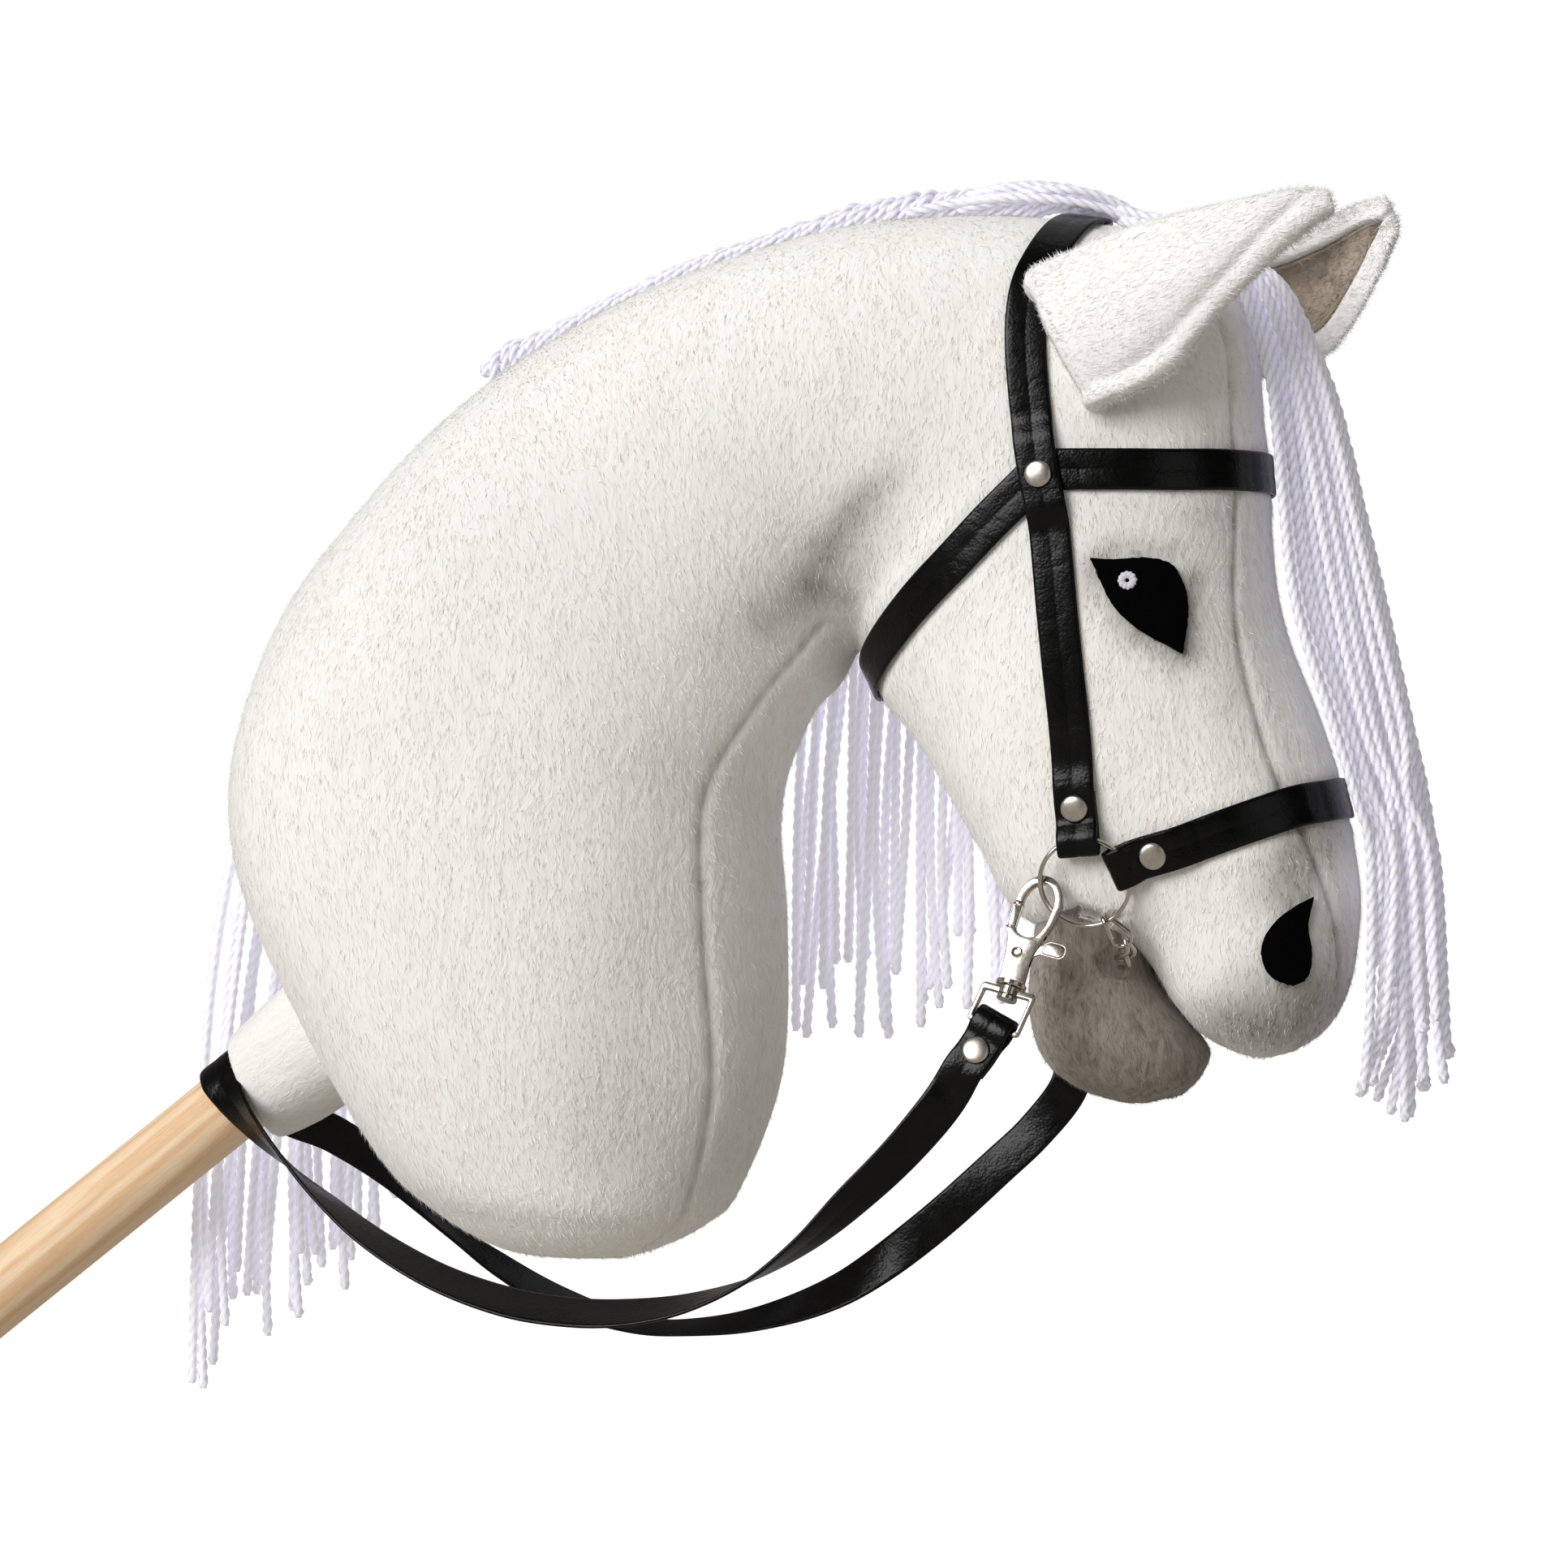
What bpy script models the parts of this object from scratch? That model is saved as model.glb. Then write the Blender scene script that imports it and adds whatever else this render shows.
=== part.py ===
# Hobby horse: a stuffed plush horse head on a wooden stick, with a bridle, a rein and a yarn mane.
# Units are metres. +X is the way the horse faces, +Y is its left side and +Z is up.
# The origin is the centre of the stick's lower end face.

from math import asin, cos, pi, radians, sin, sqrt

import bmesh
import bpy
from mathutils import Matrix, Vector
from mathutils.bvhtree import BVHTree

mm = 0.001

# Stick
stick_diameter = 0.025
stick_slope = 38.0
stick_free_length = 0.380
stick_held_length = 0.155
stick_chamfer = 0.0015
stick_running_gap = 0.0004

# Plush and stuffing
plush_thickness = 0.002
seam_gap = 0.0004
layer_gap = 0.0007
touch_gap = 0.0003

# How many times the thickness of what it goes through a hole's cutter is long
cutter_reach = 3

# Head outline: one line per cross-section, from the bottom of the neck over the poll to the nose.
# Each has the crest or face point x, z and the chest or throat point x, z, in millimetres from
# the mouth of the sleeve, the half width in millimetres, the squareness of the section, where it
# is widest (1 is half way, more is nearer the crest), and where its upper and its lower seam are,
# as shares of the half width.
head_sections = (
    (94, -56, 124, -56, 0, 2.0, 1.0, 0.40, 0.45),
    (79, -51, 137, -52, 26, 2.0, 1.0, 0.40, 0.45),
    (62, -40.5, 151, -45, 40, 2.1, 1.0, 0.40, 0.50),
    (44, -23, 161.5, -34, 50, 2.2, 1.0, 0.40, 0.55),
    (16, 22, 176, 5, 61, 2.2, 1.0, 0.40, 0.60),
    (-6, 76, 177, 53, 65, 2.2, 1.0, 0.40, 0.62),
    (-2, 125, 176, 92, 65, 2.2, 1.0, 0.40, 0.60),
    (29, 178, 185, 119, 62, 2.2, 1.05, 0.40, 0.52),
    (95, 239, 196, 131, 57, 2.1, 1.1, 0.40, 0.40),
    (190, 275.5, 201, 139.5, 49, 2.0, 1.2, 0.36, 0.25),
    (279, 277, 204, 140.5, 45, 2.0, 1.15, 0.32, 0.25),
    (327, 254, 210.5, 127, 46, 2.2, 1.0, 0.46, 0.30),
    (338, 205, 226, 107, 48, 2.3, 0.95, 0.52, 0.35),
    (343, 154, 242, 80, 47, 2.4, 0.95, 0.66, 0.35),
    (359, 110.5, 258, 55, 43, 2.5, 0.95, 0.77, 0.35),
    (368, 71, 291, 48, 39, 2.5, 1.0, 0.72, 0.35),
    (367, 41, 306, 27, 36, 2.4, 1.0, 0.55, 0.35),
    (362, 27.5, 315, 18, 32, 2.3, 1.0, 0.45, 0.35),
    (355, 16.5, 328, 11.5, 22, 2.2, 1.0, 0.40, 0.35),
    (346, 11, 337, 10, 0, 2.0, 1.0, 0.40, 0.35),
)
head_split = 10
chest_gusset_rows = (1, 9)
face_gusset_rows = (10, 17)
whole_step_rows = (3, 15)
ring_half = 10
seam_column = 2

# Sleeve that the stick goes through
sleeve_mouth_diameter = 0.0355
sleeve_root_diameter = 0.041
sleeve_reach = 0.045
bore_lead = 0.010
stick_end_gap = 0.0006
stick_sides = 32
sleeve_steps = 24

# Lower jaw sections, from its open top to its chin, written like those of the head with its
# front first
jaw_sections = (
    (296, 55, 262, 60, 30, 2.2, 1.0, 0.40, 0.40),
    (295, 37, 260, 42, 31, 2.2, 1.0, 0.40, 0.40),
    (302, 26, 259, 26, 32, 2.2, 1.0, 0.40, 0.40),
    (310, 17, 263, 12, 31, 2.2, 1.0, 0.40, 0.40),
    (317, 11.5, 273, 2.5, 27, 2.2, 1.0, 0.40, 0.40),
    (315, 5.5, 287, -2.5, 19, 2.1, 1.0, 0.40, 0.40),
    (307.5, -0.5, 296, -3.2, 0, 2.0, 1.0, 0.40, 0.40),
)
mouth_groove = (289.5, 0, 42.7)
mouth_groove_radius = 0.0056
groove_sides = 16


# Straps: each route is half of the strap, on the right side, in millimetres from the mouth of
# the sleeve, and ends on the middle plane
strap_width = 0.013
strap_thickness = 0.0014
strap_lift = 0.0006
strap_step = 0.005
fold_tail = 0.015
fold_settle = 0.010
fold_ease = 0.0007
fold_gap = 0.0005
fold_steps = 6
tail_step = 0.003
tail_steps = 5
bump_ramp = 0.008
crown_ring_angle = 97
nose_ring_angle = 23
cheek_rivet_distance = 0.010
nose_rivet_distance = 0.009
junction_distance = 0.1135
junction_span = (0.104, 0.124)
crown_route = (
    (281.1, -42, 81.5), (279.9, -45, 98), (278.6, -47, 115), (275.5, -48, 145), (272, -46, 180),
    (269, -45, 195), (266, -44, 215), (264, -42, 235), (264.5, -37, 251), (268, -31, 261.5),
    (273, -20, 271), (277, -9, 276), (278.5, 0, 278),
)
noseband_route = (
    (295.4, -42, 73.4), (301, -42, 75.8), (313.7, -42, 79.9), (326, -41, 84.4), (338, -38, 88.7),
    (347.7, -33, 91.9), (356.8, -23.4, 93.8), (362.5, -11, 95), (364.5, 0, 95.2),
)
browband_route = (
    (271.5, -45, 195.4), (283, -46, 195.4), (294, -45, 195.3), (311, -40, 195.3), (327, -29, 195.9),
    (334, -20, 196.1), (338, -9, 196.3), (338.8, 0, 196.4),
)
throat_latch_route = (
    (266.4, -45.3, 192), (253.2, -44, 179.3), (242.6, -42, 168.7), (231.4, -37, 157.9),
    (220, -29.4, 146.5), (212, -17, 137), (208, -6, 131.8), (207, 0, 131),
)

# Rivets
rivet_diameter = 0.0084
rivet_dome = 0.0022
rivet_rim = 0.0007
rivet_post = 0.0024
rivet_seat_gap = 0.0004
rivet_steps = 12
dome_steps = 3
hole_sides = 10

# Bit rings and chain
ring_outer = 0.030
ring_wire = 0.002
ring_centre = (282.8, 44.2, 68.1)
ring_tilt = 16.0
ring_segments = 24
wire_sides = 6
chain_links = 11
chain_route_step = 0.0005
chain_wire = 0.0016
chain_link_width = 0.0078
chain_gap = 0.0005
link_bend_steps = 4
chain_ring_angle = -63
chain_route = ((289, -41.5, 56), (294.5, -37, 49), (293, -29, 44), (290, -20, 42.5), (288, 0, 42))

# Snap hooks of the rein. Outlines are in millimetres to the right of and above the collar's top.
# Each hook is turned about its bit ring by its swing, in degrees.
hook_collar = (261.3, 52.5, 37.0)
hook_lean = 15.0
hook_flare = 20.0
hook_swing = {-1: 0.0, 1: 15.0}
hook_thickness = 0.0032
hook_left_edge = ((-3.9, -0.5), (-4.6, 8), (-5.5, 13), (-6.9, 16.9))
hook_eye_floor = ((-4.3, 17.2), (-3.0, 15.9), (0.1, 15.1), (3.0, 16.6), (4.7, 20.5))
hook_right_edge = ((6.8, 21), (5.2, 15.5), (3.6, 9), (3.9, -0.5))
hook_eye_centre = (0.3, 26.4)
hook_eye_half = (4.8, 7.0)
hook_rim_half = (7.3, 9.5)
hook_eye_angle = -12
hook_tip_angle = 186
hook_arc_steps = 8
hook_slot = (0.0018, 0.030, 0.0107)
hook_slot_centre = 11.85
collar_radius = 0.0048
collar_top = 0.0003
collar_height = 0.0016
stem_radius = 0.0014
button_radius = 0.0032
button_height = 0.0015
turned_steps = 12

# Gates
gate_thickness = 0.0012
gate_finger_thickness = 0.0026
gate_pivot = (-1.3, 9.7)
gate_boss_radius = 2.6
gate_boss_turn = (300, 165)
gate_boss_steps = 5
gate_finger = ((-7.2, 17.6), (-7.2, 24.3), (-4.6, 25.0), (-4.6, 17.6))
gate_arm_inner = ((-4.6, 17.2), (-4.0, 15.6), (-2.0, 13.6), (1.5, 13.0))
gate_tab = ((6.7, 15.7), (12.9, 15.7), (12.9, 11.4), (5.4, 11.4))
gate_tab_round = 2.1
gate_arm_outer = ((-4.6, 11.5), (-6.4, 15.6), (-7.2, 17.2))
pin_radius = 0.0011
pin_head_radius = 0.0018
pin_head_height = 0.0005

# Strap loops under the hooks
loop_half_width = (8.7, 7.2)
loop_top_bar = 2.3
loop_height = 13.9
loop_bottom_bar = 1.8
loop_tilt = 6.0
loop_depth = 0.0022
loop_round = 1.6
loop_inner_round = 0.5

# Rein: a point and the way its outer face looks, from the right hook back to the stick
rein_rivet_distance = 0.0095
rein_step = 0.007
rein_bend = -0.008
rein_stick_gap = 0.0011
rein_fold_slack = 0.0010
rein_fold_ease = 0.0004
rein_leave_angle = 30
rein_wrap_steps = 5
rein_near_route = (
    (251.4, -59.4, 15.6, 0, -1, 0.3), (247.6, -60.6, 10.6, 0, -1, 0.2), (240.4, -61.5, -0.6, 0.1, -1, -0.1),
    (227.9, -61, -15.3, 0.3, -0.9, -0.3), (212.6, -60, -30.1, 0.4, -0.75, -0.5),
    (197.2, -59, -44, 0.5, -0.4, -0.75), (179.1, -59, -56, 0.5, 0, -0.85),
    (159.4, -58, -63.5, 0.3, 0.35, -0.9), (140.8, -57, -66.9, 0.1, 0.55, -0.83),
    (121.8, -55, -67.6, 0, 0.6, -0.8), (100, -53, -65.1, -0.1, 0.6, -0.8),
    (76, -49, -58.2, -0.25, 0.5, -0.8), (52.5, -43, -47.2, -0.4, 0.35, -0.8),
    (33.7, -36, -35.2, -0.6, 0.1, -0.75), (17.5, -29, -23.5, -0.7, -0.3, -0.6),
    (4, -22.5, -13, -0.6, -0.75, -0.4),
)
rein_far_route = (
    (264.6, 59.4, 9.3, -0.13, 0.95, 0.28), (261, 61.5, -3.5, -0.05, 1, 0.08),
    (250.5, 61.5, -17, 0.1, 1, -0.1), (238.2, 60.5, -28.9, 0.1, 1, -0.1),
    (213.4, 59, -51.2, 0, 1, -0.05), (185.6, 59, -71, 0.1, 0.85, -0.5),
    (157.5, 59, -81.8, 0, 0.55, -0.85), (132.3, 58, -85.7, 0, 0.3, -0.95),
    (112.6, 57, -85, -0.1, 0.3, -0.95), (87.7, 54, -77, -0.25, 0.5, -0.8),
    (68.8, 50, -65.9, -0.4, 0.4, -0.8), (52.7, 46, -53.5, -0.6, 0.2, -0.75),
    (33.5, 38, -33.8, -0.5, 0.6, -0.5), (15.8, 28.5, -20, -0.4, 0.9, -0.3),
    (1, 21, -12.8, -0.3, 0.95, -0.2),
)

# Ears: each section's lower edge, middle of the back and upper edge, from the head to the tip
ear_thickness = 0.004
ear_lining_thickness = 0.0015
ear_root = 0.5
ear_root_depth = 8
ear_row_steps = 11
ear_columns = (0, 0.07, 0.22, 0.4, 0.6, 0.78, 0.93, 1)
ear_probe = 0.02
ear_sections = {
    -1: (
        (290, -45, 214.5, 278, -45, 231, 275, -38, 252), (310, -52, 224, 294, -58, 242.5, 286, -43, 263),
        (325, -54, 236, 314, -62, 251.5, 304, -46, 268), (340, -53, 248, 332, -60, 260, 328, -48, 273),
        (352, -50, 260, 348, -55, 268, 347, -48, 277.5), (359, -47, 270, 359.5, -48.5, 273.5, 357, -46, 277),
    ),
    1: (
        (297.5, 44, 230.5, 287, 45, 249, 286, 37, 264), (320.5, 52, 231, 303.5, 60, 251, 300, 44, 273),
        (339, 54, 236, 327.5, 62, 257, 324, 46, 271), (351, 54, 242.5, 345, 62, 263.5, 343.5, 48, 279),
        (363, 50, 261.5, 360, 56, 275.5, 358.5, 48, 286),
        (369.5, 47, 278, 370.5, 48.5, 283.5, 367.5, 46, 288),
    ),
}

# Felt eyes and nostrils: outlines in x and z
eye_outline = (
    (285, 168), (292, 167.5), (301.5, 168), (309, 166), (313, 158.7), (314, 150), (312.6, 138.4),
    (299.3, 146), (291.7, 153.7), (288, 161),
)
eye_highlight_centre = (296.2, 160.9)
eye_highlight_radius = 3.2
nostril_outline = (
    (351.4, 63.7), (345, 60), (339.5, 54.9), (336.4, 47.4), (338.8, 39.9), (345.5, 36.9),
    (349.8, 39.9), (350.8, 47.4), (349.9, 54.9),
)
felt_thickness = 0.0012
felt_lift = 0.0008
highlight_thickness = 0.0008
highlight_sides = 12
felt_rings = (1, 0.6, 0.25)

# Yarn: knots along the crest, mane on the left side and forelock
yarn_gap = 0.0004
knot_diameter = 0.008
knot_span = (80.5, 290)
knot_step = 0.008
knot_rise_span = (258, 268)
mane_thickness = 0.007
mane_gap = 0.0032
mane_top = (80, 252)
mane_columns = 13
mane_rows = 10
mane_shoulder = (6.5, 15, 25)
mane_bend_x = -3
mane_turn = 3
mane_bend_z = (150, 205)
mane_ends = ((0, -35, -103), (0.12, -8, -78), (0.25, 20, -48), (0.5, 90, -20), (0.75, 165, 12), (1, 242, 30))
forelock_round = 2.4
forelock_sides = 12
forelock_seated = 180
forelock_sections = (
    (263, 322, 332, 9), (254, 328, 342, 14), (226, 339, 354, 20), (204, 342, 360, 23), (188, 343, 363.5, 24),
    (154, 346.5, 371, 26), (115, 362, 379, 28), (95, 368.5, 382, 28), (76, 371, 386, 28),
    (30, 372, 389.5, 26), (0, 360, 386, 22), (-14, 355, 372, 15),
)


weld_distance = 0.00001
sharp_angle = 40.0
chamfer_angle = 60.0
far_away = 500
spline_steps = 12
round_steps = 3

# Colours
plush_white = (0.86, 0.84, 0.80)
plush_grey = (0.42, 0.38, 0.36)
lining_taupe = (0.55, 0.50, 0.46)
wood_pale = (0.78, 0.56, 0.36)
faux_black = (0.02, 0.02, 0.022)
nickel = (0.75, 0.73, 0.70)
felt_black = (0.012, 0.012, 0.012)
yarn_white = (0.86, 0.85, 0.92)
stuffing_white = (0.90, 0.90, 0.88)

slope = radians(stick_slope)
stick_way = Vector((cos(slope), 0, sin(slope)))
sleeve_mouth = stick_way * stick_free_length


def start_scene():
    for item in list(bpy.data.objects):
        bpy.data.objects.remove(item)
    parts = bpy.data.collections.new("hobby_horse")
    cutters = bpy.data.collections.new("cutters")
    bpy.context.scene.collection.children.link(parts)
    bpy.context.scene.collection.children.link(cutters)
    return parts, cutters


parts, cutters = start_scene()


def material(name, colour, roughness, metallic=0.0):
    made = bpy.data.materials.new(name)
    made.use_nodes = True
    shader = made.node_tree.nodes["Principled BSDF"]
    shader.inputs["Base Color"].default_value = (*colour, 1)
    shader.inputs["Roughness"].default_value = roughness
    shader.inputs["Metallic"].default_value = metallic
    return made


white_plush = material("white_plush", plush_white, 0.95)
grey_plush = material("grey_plush", plush_grey, 0.95)
taupe_plush = material("taupe_plush", lining_taupe, 0.95)
pine_wood = material("pine_wood", wood_pale, 0.55)
black_strap = material("black_strap", faux_black, 0.35)
nickel_plate = material("nickel_plate", nickel, 0.25, 1.0)
black_felt = material("black_felt", felt_black, 0.95)
white_yarn = material("white_yarn", yarn_white, 0.9)
fibre_fill = material("fibre_fill", stuffing_white, 1.0)


def place(x, y, z):
    """A point given in millimetres from the mouth of the sleeve."""
    return sleeve_mouth + Vector((x, y, z)) * mm


def weld(mesh):
    """Joins points that coincide and turns the faces outward."""
    bm = bmesh.new()
    bm.from_mesh(mesh)
    bmesh.ops.remove_doubles(bm, verts=bm.verts, dist=weld_distance)
    bmesh.ops.recalc_face_normals(bm, faces=bm.faces)
    bm.to_mesh(mesh)
    bm.free()


def add_object(name, verts, faces, paint, collection=parts):
    """A closed solid from its points and faces, all turned outward."""
    mesh = bpy.data.meshes.new(name)
    mesh.from_pydata([tuple(v) for v in verts], [], faces)
    weld(mesh)
    mesh.shade_smooth()
    made = bpy.data.objects.new(name, mesh)
    collection.objects.link(made)
    if paint:
        mesh.materials.append(paint)
    return made


def as_cutter(thing):
    for home in list(thing.users_collection):
        home.objects.unlink(thing)
    cutters.objects.link(thing)
    thing.hide_render = True
    thing.display_type = "WIRE"
    return thing


def cut(thing, cutter, operation="DIFFERENCE"):
    modifier = thing.modifiers.new(cutter.name, "BOOLEAN")
    modifier.operation = operation
    modifier.solver = "EXACT"
    modifier.object = cutter


def join(thing, other):
    cut(thing, other, "UNION")


def spline(rows, place_on):
    """Catmull-Rom value of a table at a fractional row."""
    low = min(int(place_on), len(rows) - 2)
    t = place_on - low
    after = rows[low + 1]
    here = rows[low]
    before = rows[low - 1] if low else [2 * a - b for a, b in zip(here, after)]
    beyond = rows[low + 2] if low + 2 < len(rows) else [2 * b - a for a, b in zip(here, after)]
    out = []
    for a, b, c, d in zip(before, here, after, beyond):
        out.append(b + 0.5 * t * (c - a + t * (2 * a - 5 * b + 4 * c - d + t * (3 * (b - c) + d - a))))
    return out


def power(value, exponent):
    return abs(value) ** exponent * (1 if value >= 0 else -1)


def section_ring(section):
    """Points of one cross-section, from the crest round the left side to the throat and back."""
    crest_x, crest_z, throat_x, throat_z, half_squared, square, skew, crest_seam, throat_seam = section
    half_width = sqrt(max(half_squared, 0))
    first = asin(crest_seam ** (square / 2))
    last = pi - asin(throat_seam ** (square / 2))
    middle = ring_half - 2 * seam_column
    angles = [first * k / seam_column for k in range(seam_column)]
    angles += [first + (last - first) * k / middle for k in range(middle + 1)]
    angles += [last + (pi - last) * k / seam_column for k in range(1, seam_column + 1)]
    ring = []
    for angle in angles:
        along = ((1 - power(cos(angle), 2 / square)) / 2) ** skew
        out = half_width * power(sin(angle), 2 / square) if 0 < angle < pi - 1e-6 else 0
        x = crest_x + (throat_x - crest_x) * along
        z = crest_z + (throat_z - crest_z) * along
        ring.append((x, out, z))
    ring += [(x, -y, z) for x, y, z in reversed(ring[1:-1])]
    return ring


def station_list(count, whole_until, whole_from):
    """Fractional rows: each row, and a half row between those in the long middle stretch."""
    stations = []
    for row in range(count - 1):
        stations.append(row)
        if whole_until <= row < whole_from:
            stations.append(row + 0.5)
    return stations + [count - 1]


class SkinGrid:
    """The plush surface as rings of points, with outward normals and quads."""

    def __init__(self, sections, stations, closed_start=True):
        squared = [(*row[:4], row[4] ** 2, *row[5:]) for row in sections]
        self.stations = stations
        self.points = []
        self.index = {}
        self.around = 2 * ring_half
        last = len(stations) - 1
        for i, station in enumerate(stations):
            ring = section_ring(spline(squared, station))
            folded = (i == 0 and closed_start) or i == last
            for j, point in enumerate(ring):
                if folded and j > ring_half:
                    self.index[i, j] = self.index[i, self.around - j]
                    continue
                self.index[i, j] = len(self.points)
                self.points.append(place(*point))
        self.quads = {}
        for i in range(last):
            for j in range(self.around):
                k = (j + 1) % self.around
                corners = (self.index[i, j], self.index[i + 1, j], self.index[i + 1, k], self.index[i, k])
                self.quads[i, j] = corners
        self.normals = self.find_normals()
        self.halves = {key: self.split(quad) for key, quad in self.quads.items()}
        self.triangles = [half for pair in self.halves.values() for half in pair]

    def find_normals(self):
        total = [Vector((0, 0, 0)) for _ in self.points]
        for a, b, c, d in self.quads.values():
            pa, pb, pc, pd = (self.points[k] for k in (a, b, c, d))
            way = (pc - pa).cross(pd - pb)
            for corner in (a, b, c, d):
                total[corner] += way
        for k, point in enumerate(self.points):
            if abs(point.y) < 1e-7:
                total[k].y = 0
        return [way.normalized() for way in total]

    def split(self, quad):
        """The quad's two triangles, parted along the diagonal that lies further out."""
        a, b, c, d = quad
        way = self.normals[a] + self.normals[b] + self.normals[c] + self.normals[d]
        rise = self.points[a] + self.points[c] - self.points[b] - self.points[d]
        if rise.dot(way) > 0:
            return (a, b, c), (a, c, d)
        return (a, b, d), (b, c, d)

    def offset(self, distance):
        return [p + n * distance for p, n in zip(self.points, self.normals)]

    def tree(self):
        return BVHTree.FromPolygons(self.points, self.triangles)


head_grid = SkinGrid(head_sections, station_list(len(head_sections), *whole_step_rows))


def panel(name, grid, keys, paint):
    """A sewn piece of plush: its quads, drawn back from their seams and given a thickness."""
    edges = {}
    pull = {}
    for key in keys:
        quad = grid.quads[key]
        centre = sum((grid.points[k] for k in quad), Vector()) / 4
        for a, b in zip(quad, quad[1:] + quad[:1]):
            edges[a, b] = True
            pull.setdefault(a, Vector())
            pull[a] += centre - grid.points[a]
    rim = [(a, b) for a, b in edges if (b, a) not in edges]
    on_rim = {k for edge in rim for k in edge}
    used = sorted(pull)
    number = {k: n for n, k in enumerate(used)}
    outer = []
    inner = []
    for k in used:
        point = grid.points[k].copy()
        normal = grid.normals[k]
        if k in on_rim:
            way = pull[k] - normal * pull[k].dot(normal)
            point += way.normalized() * seam_gap / 2
        outer.append(point)
        inner.append(point - normal * plush_thickness)
    count = len(used)
    halves = [half for key in keys for half in grid.halves[key]]
    faces = [tuple(number[k] for k in half) for half in halves]
    faces += [tuple(count + number[k] for k in reversed(half)) for half in halves]
    faces += [(number[b], number[a], count + number[a], count + number[b]) for a, b in rim]
    return add_object(name, outer + inner, faces, paint)


def sort_quads(grid):
    pieces = {"face_gusset": [], "chest_gusset": [], "side_panel_left": [], "side_panel_right": []}
    for i, j in grid.quads:
        middle = (grid.stations[i] + grid.stations[i + 1]) / 2
        column = min(j, grid.around - 1 - j)
        on_face = face_gusset_rows[0] < middle < face_gusset_rows[1]
        on_chest = chest_gusset_rows[0] < middle < chest_gusset_rows[1]
        if on_face and column < seam_column:
            pieces["face_gusset"].append((i, j))
        elif on_chest and column >= ring_half - seam_column:
            pieces["chest_gusset"].append((i, j))
        elif j < ring_half:
            pieces["side_panel_left"].append((i, j))
        else:
            pieces["side_panel_right"].append((i, j))
    return pieces


panels = {}
for panel_name, panel_quads in sort_quads(head_grid).items():
    panels[panel_name] = panel(panel_name, head_grid, panel_quads, white_plush)


def parted(grid, points, i, j, distance):
    """Where a lengthwise line of the filling is at a distance ahead of the plane of a section."""
    crest = grid.points[grid.index[i, 0]]
    throat = grid.points[grid.index[i, ring_half]]
    forward = (throat - crest).cross(Vector((0, 1, 0))).normalized()
    line = [points[grid.index[i + step, j]] for step in (-1, 0, 1)]
    heights = [forward.dot(point - crest) for point in line]
    if heights[0] > heights[2]:
        forward.negate()
        heights = [-height for height in heights]
    other = 0 if heights[1] > distance else 2
    share = (distance - heights[1]) / (heights[other] - heights[1])
    return line[1].lerp(line[other], share)


def stuffing(name, grid, first, last, points, paint):
    """A closed filling between two stations, flat where it is cut across."""
    used = {}
    for i in range(first, last + 1):
        for j in range(grid.around):
            used.setdefault(grid.index[i, j], (i, j))
    number = {k: n for n, k in enumerate(used)}
    verts = []
    for k, (i, j) in used.items():
        if i in (first, last) and 0 < i < len(grid.stations) - 1:
            verts.append(parted(grid, points, i, j, seam_gap / 2 if i == first else -seam_gap / 2))
        else:
            verts.append(points[k])
    faces = []
    for i in range(first, last):
        for j in range(grid.around):
            faces += [tuple(number[k] for k in half) for half in grid.halves[i, j]]
    if first > 0:
        faces.append(tuple(number[grid.index[first, j]] for j in range(grid.around)))
    if last < len(grid.stations) - 1:
        faces.append(tuple(number[grid.index[last, j]] for j in reversed(range(grid.around))))
    return add_object(name, verts, faces, paint)


fill_points = head_grid.offset(-(plush_thickness + layer_gap))
split_station = head_grid.stations.index(head_split)
neck_stuffing = stuffing("neck_stuffing", head_grid, 0, split_station, fill_points, fibre_fill)
head_stuffing = stuffing(
    "head_stuffing", head_grid, split_station, len(head_grid.stations) - 1, fill_points, fibre_fill
)

# Sleeve and stick
stick_turn = Matrix.Rotation(pi / 2 - slope, 4, "Y")


def along_stick(distance):
    """A frame on the stick's axis, its z up the stick, at a distance from the sleeve's mouth."""
    return Matrix.Translation(sleeve_mouth + stick_way * distance) @ stick_turn


def cylinder(name, radius, length, sides, frame, paint=None):
    """A cylinder about the z axis of its frame, centred on it."""
    bpy.ops.mesh.primitive_cylinder_add(vertices=sides, radius=radius, depth=length)
    made = bpy.context.object
    adopt(made, name, frame, paint)
    made.data.set_sharp_from_angle(angle=radians(sharp_angle))
    return made


def adopt(made, name, frame, paint):
    """Names and places a primitive and moves it to the parts."""
    made.name = name
    made.matrix_world = frame
    for home in list(made.users_collection):
        home.objects.unlink(made)
    parts.objects.link(made)
    made.data.shade_smooth()
    if paint:
        made.data.materials.append(paint)
    return made


stick_length = stick_free_length + stick_held_length
stick_middle = along_stick(stick_length / 2 - stick_free_length)
stick = cylinder("stick", stick_diameter / 2, stick_length, stick_sides, stick_middle, pine_wood)
chamfer = stick.modifiers.new("chamfer", "BEVEL")
chamfer.width = stick_chamfer
chamfer.segments = 1
chamfer.limit_method = "ANGLE"
chamfer.angle_limit = radians(chamfer_angle)

bore_radius = stick_diameter / 2 + stick_running_gap
bore_length = bore_lead + stick_held_length + stick_end_gap
bore_middle = along_stick(bore_length / 2 - bore_lead)
bore_cutter = as_cutter(cylinder("bore_cutter", bore_radius, bore_length, stick_sides, bore_middle))


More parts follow.
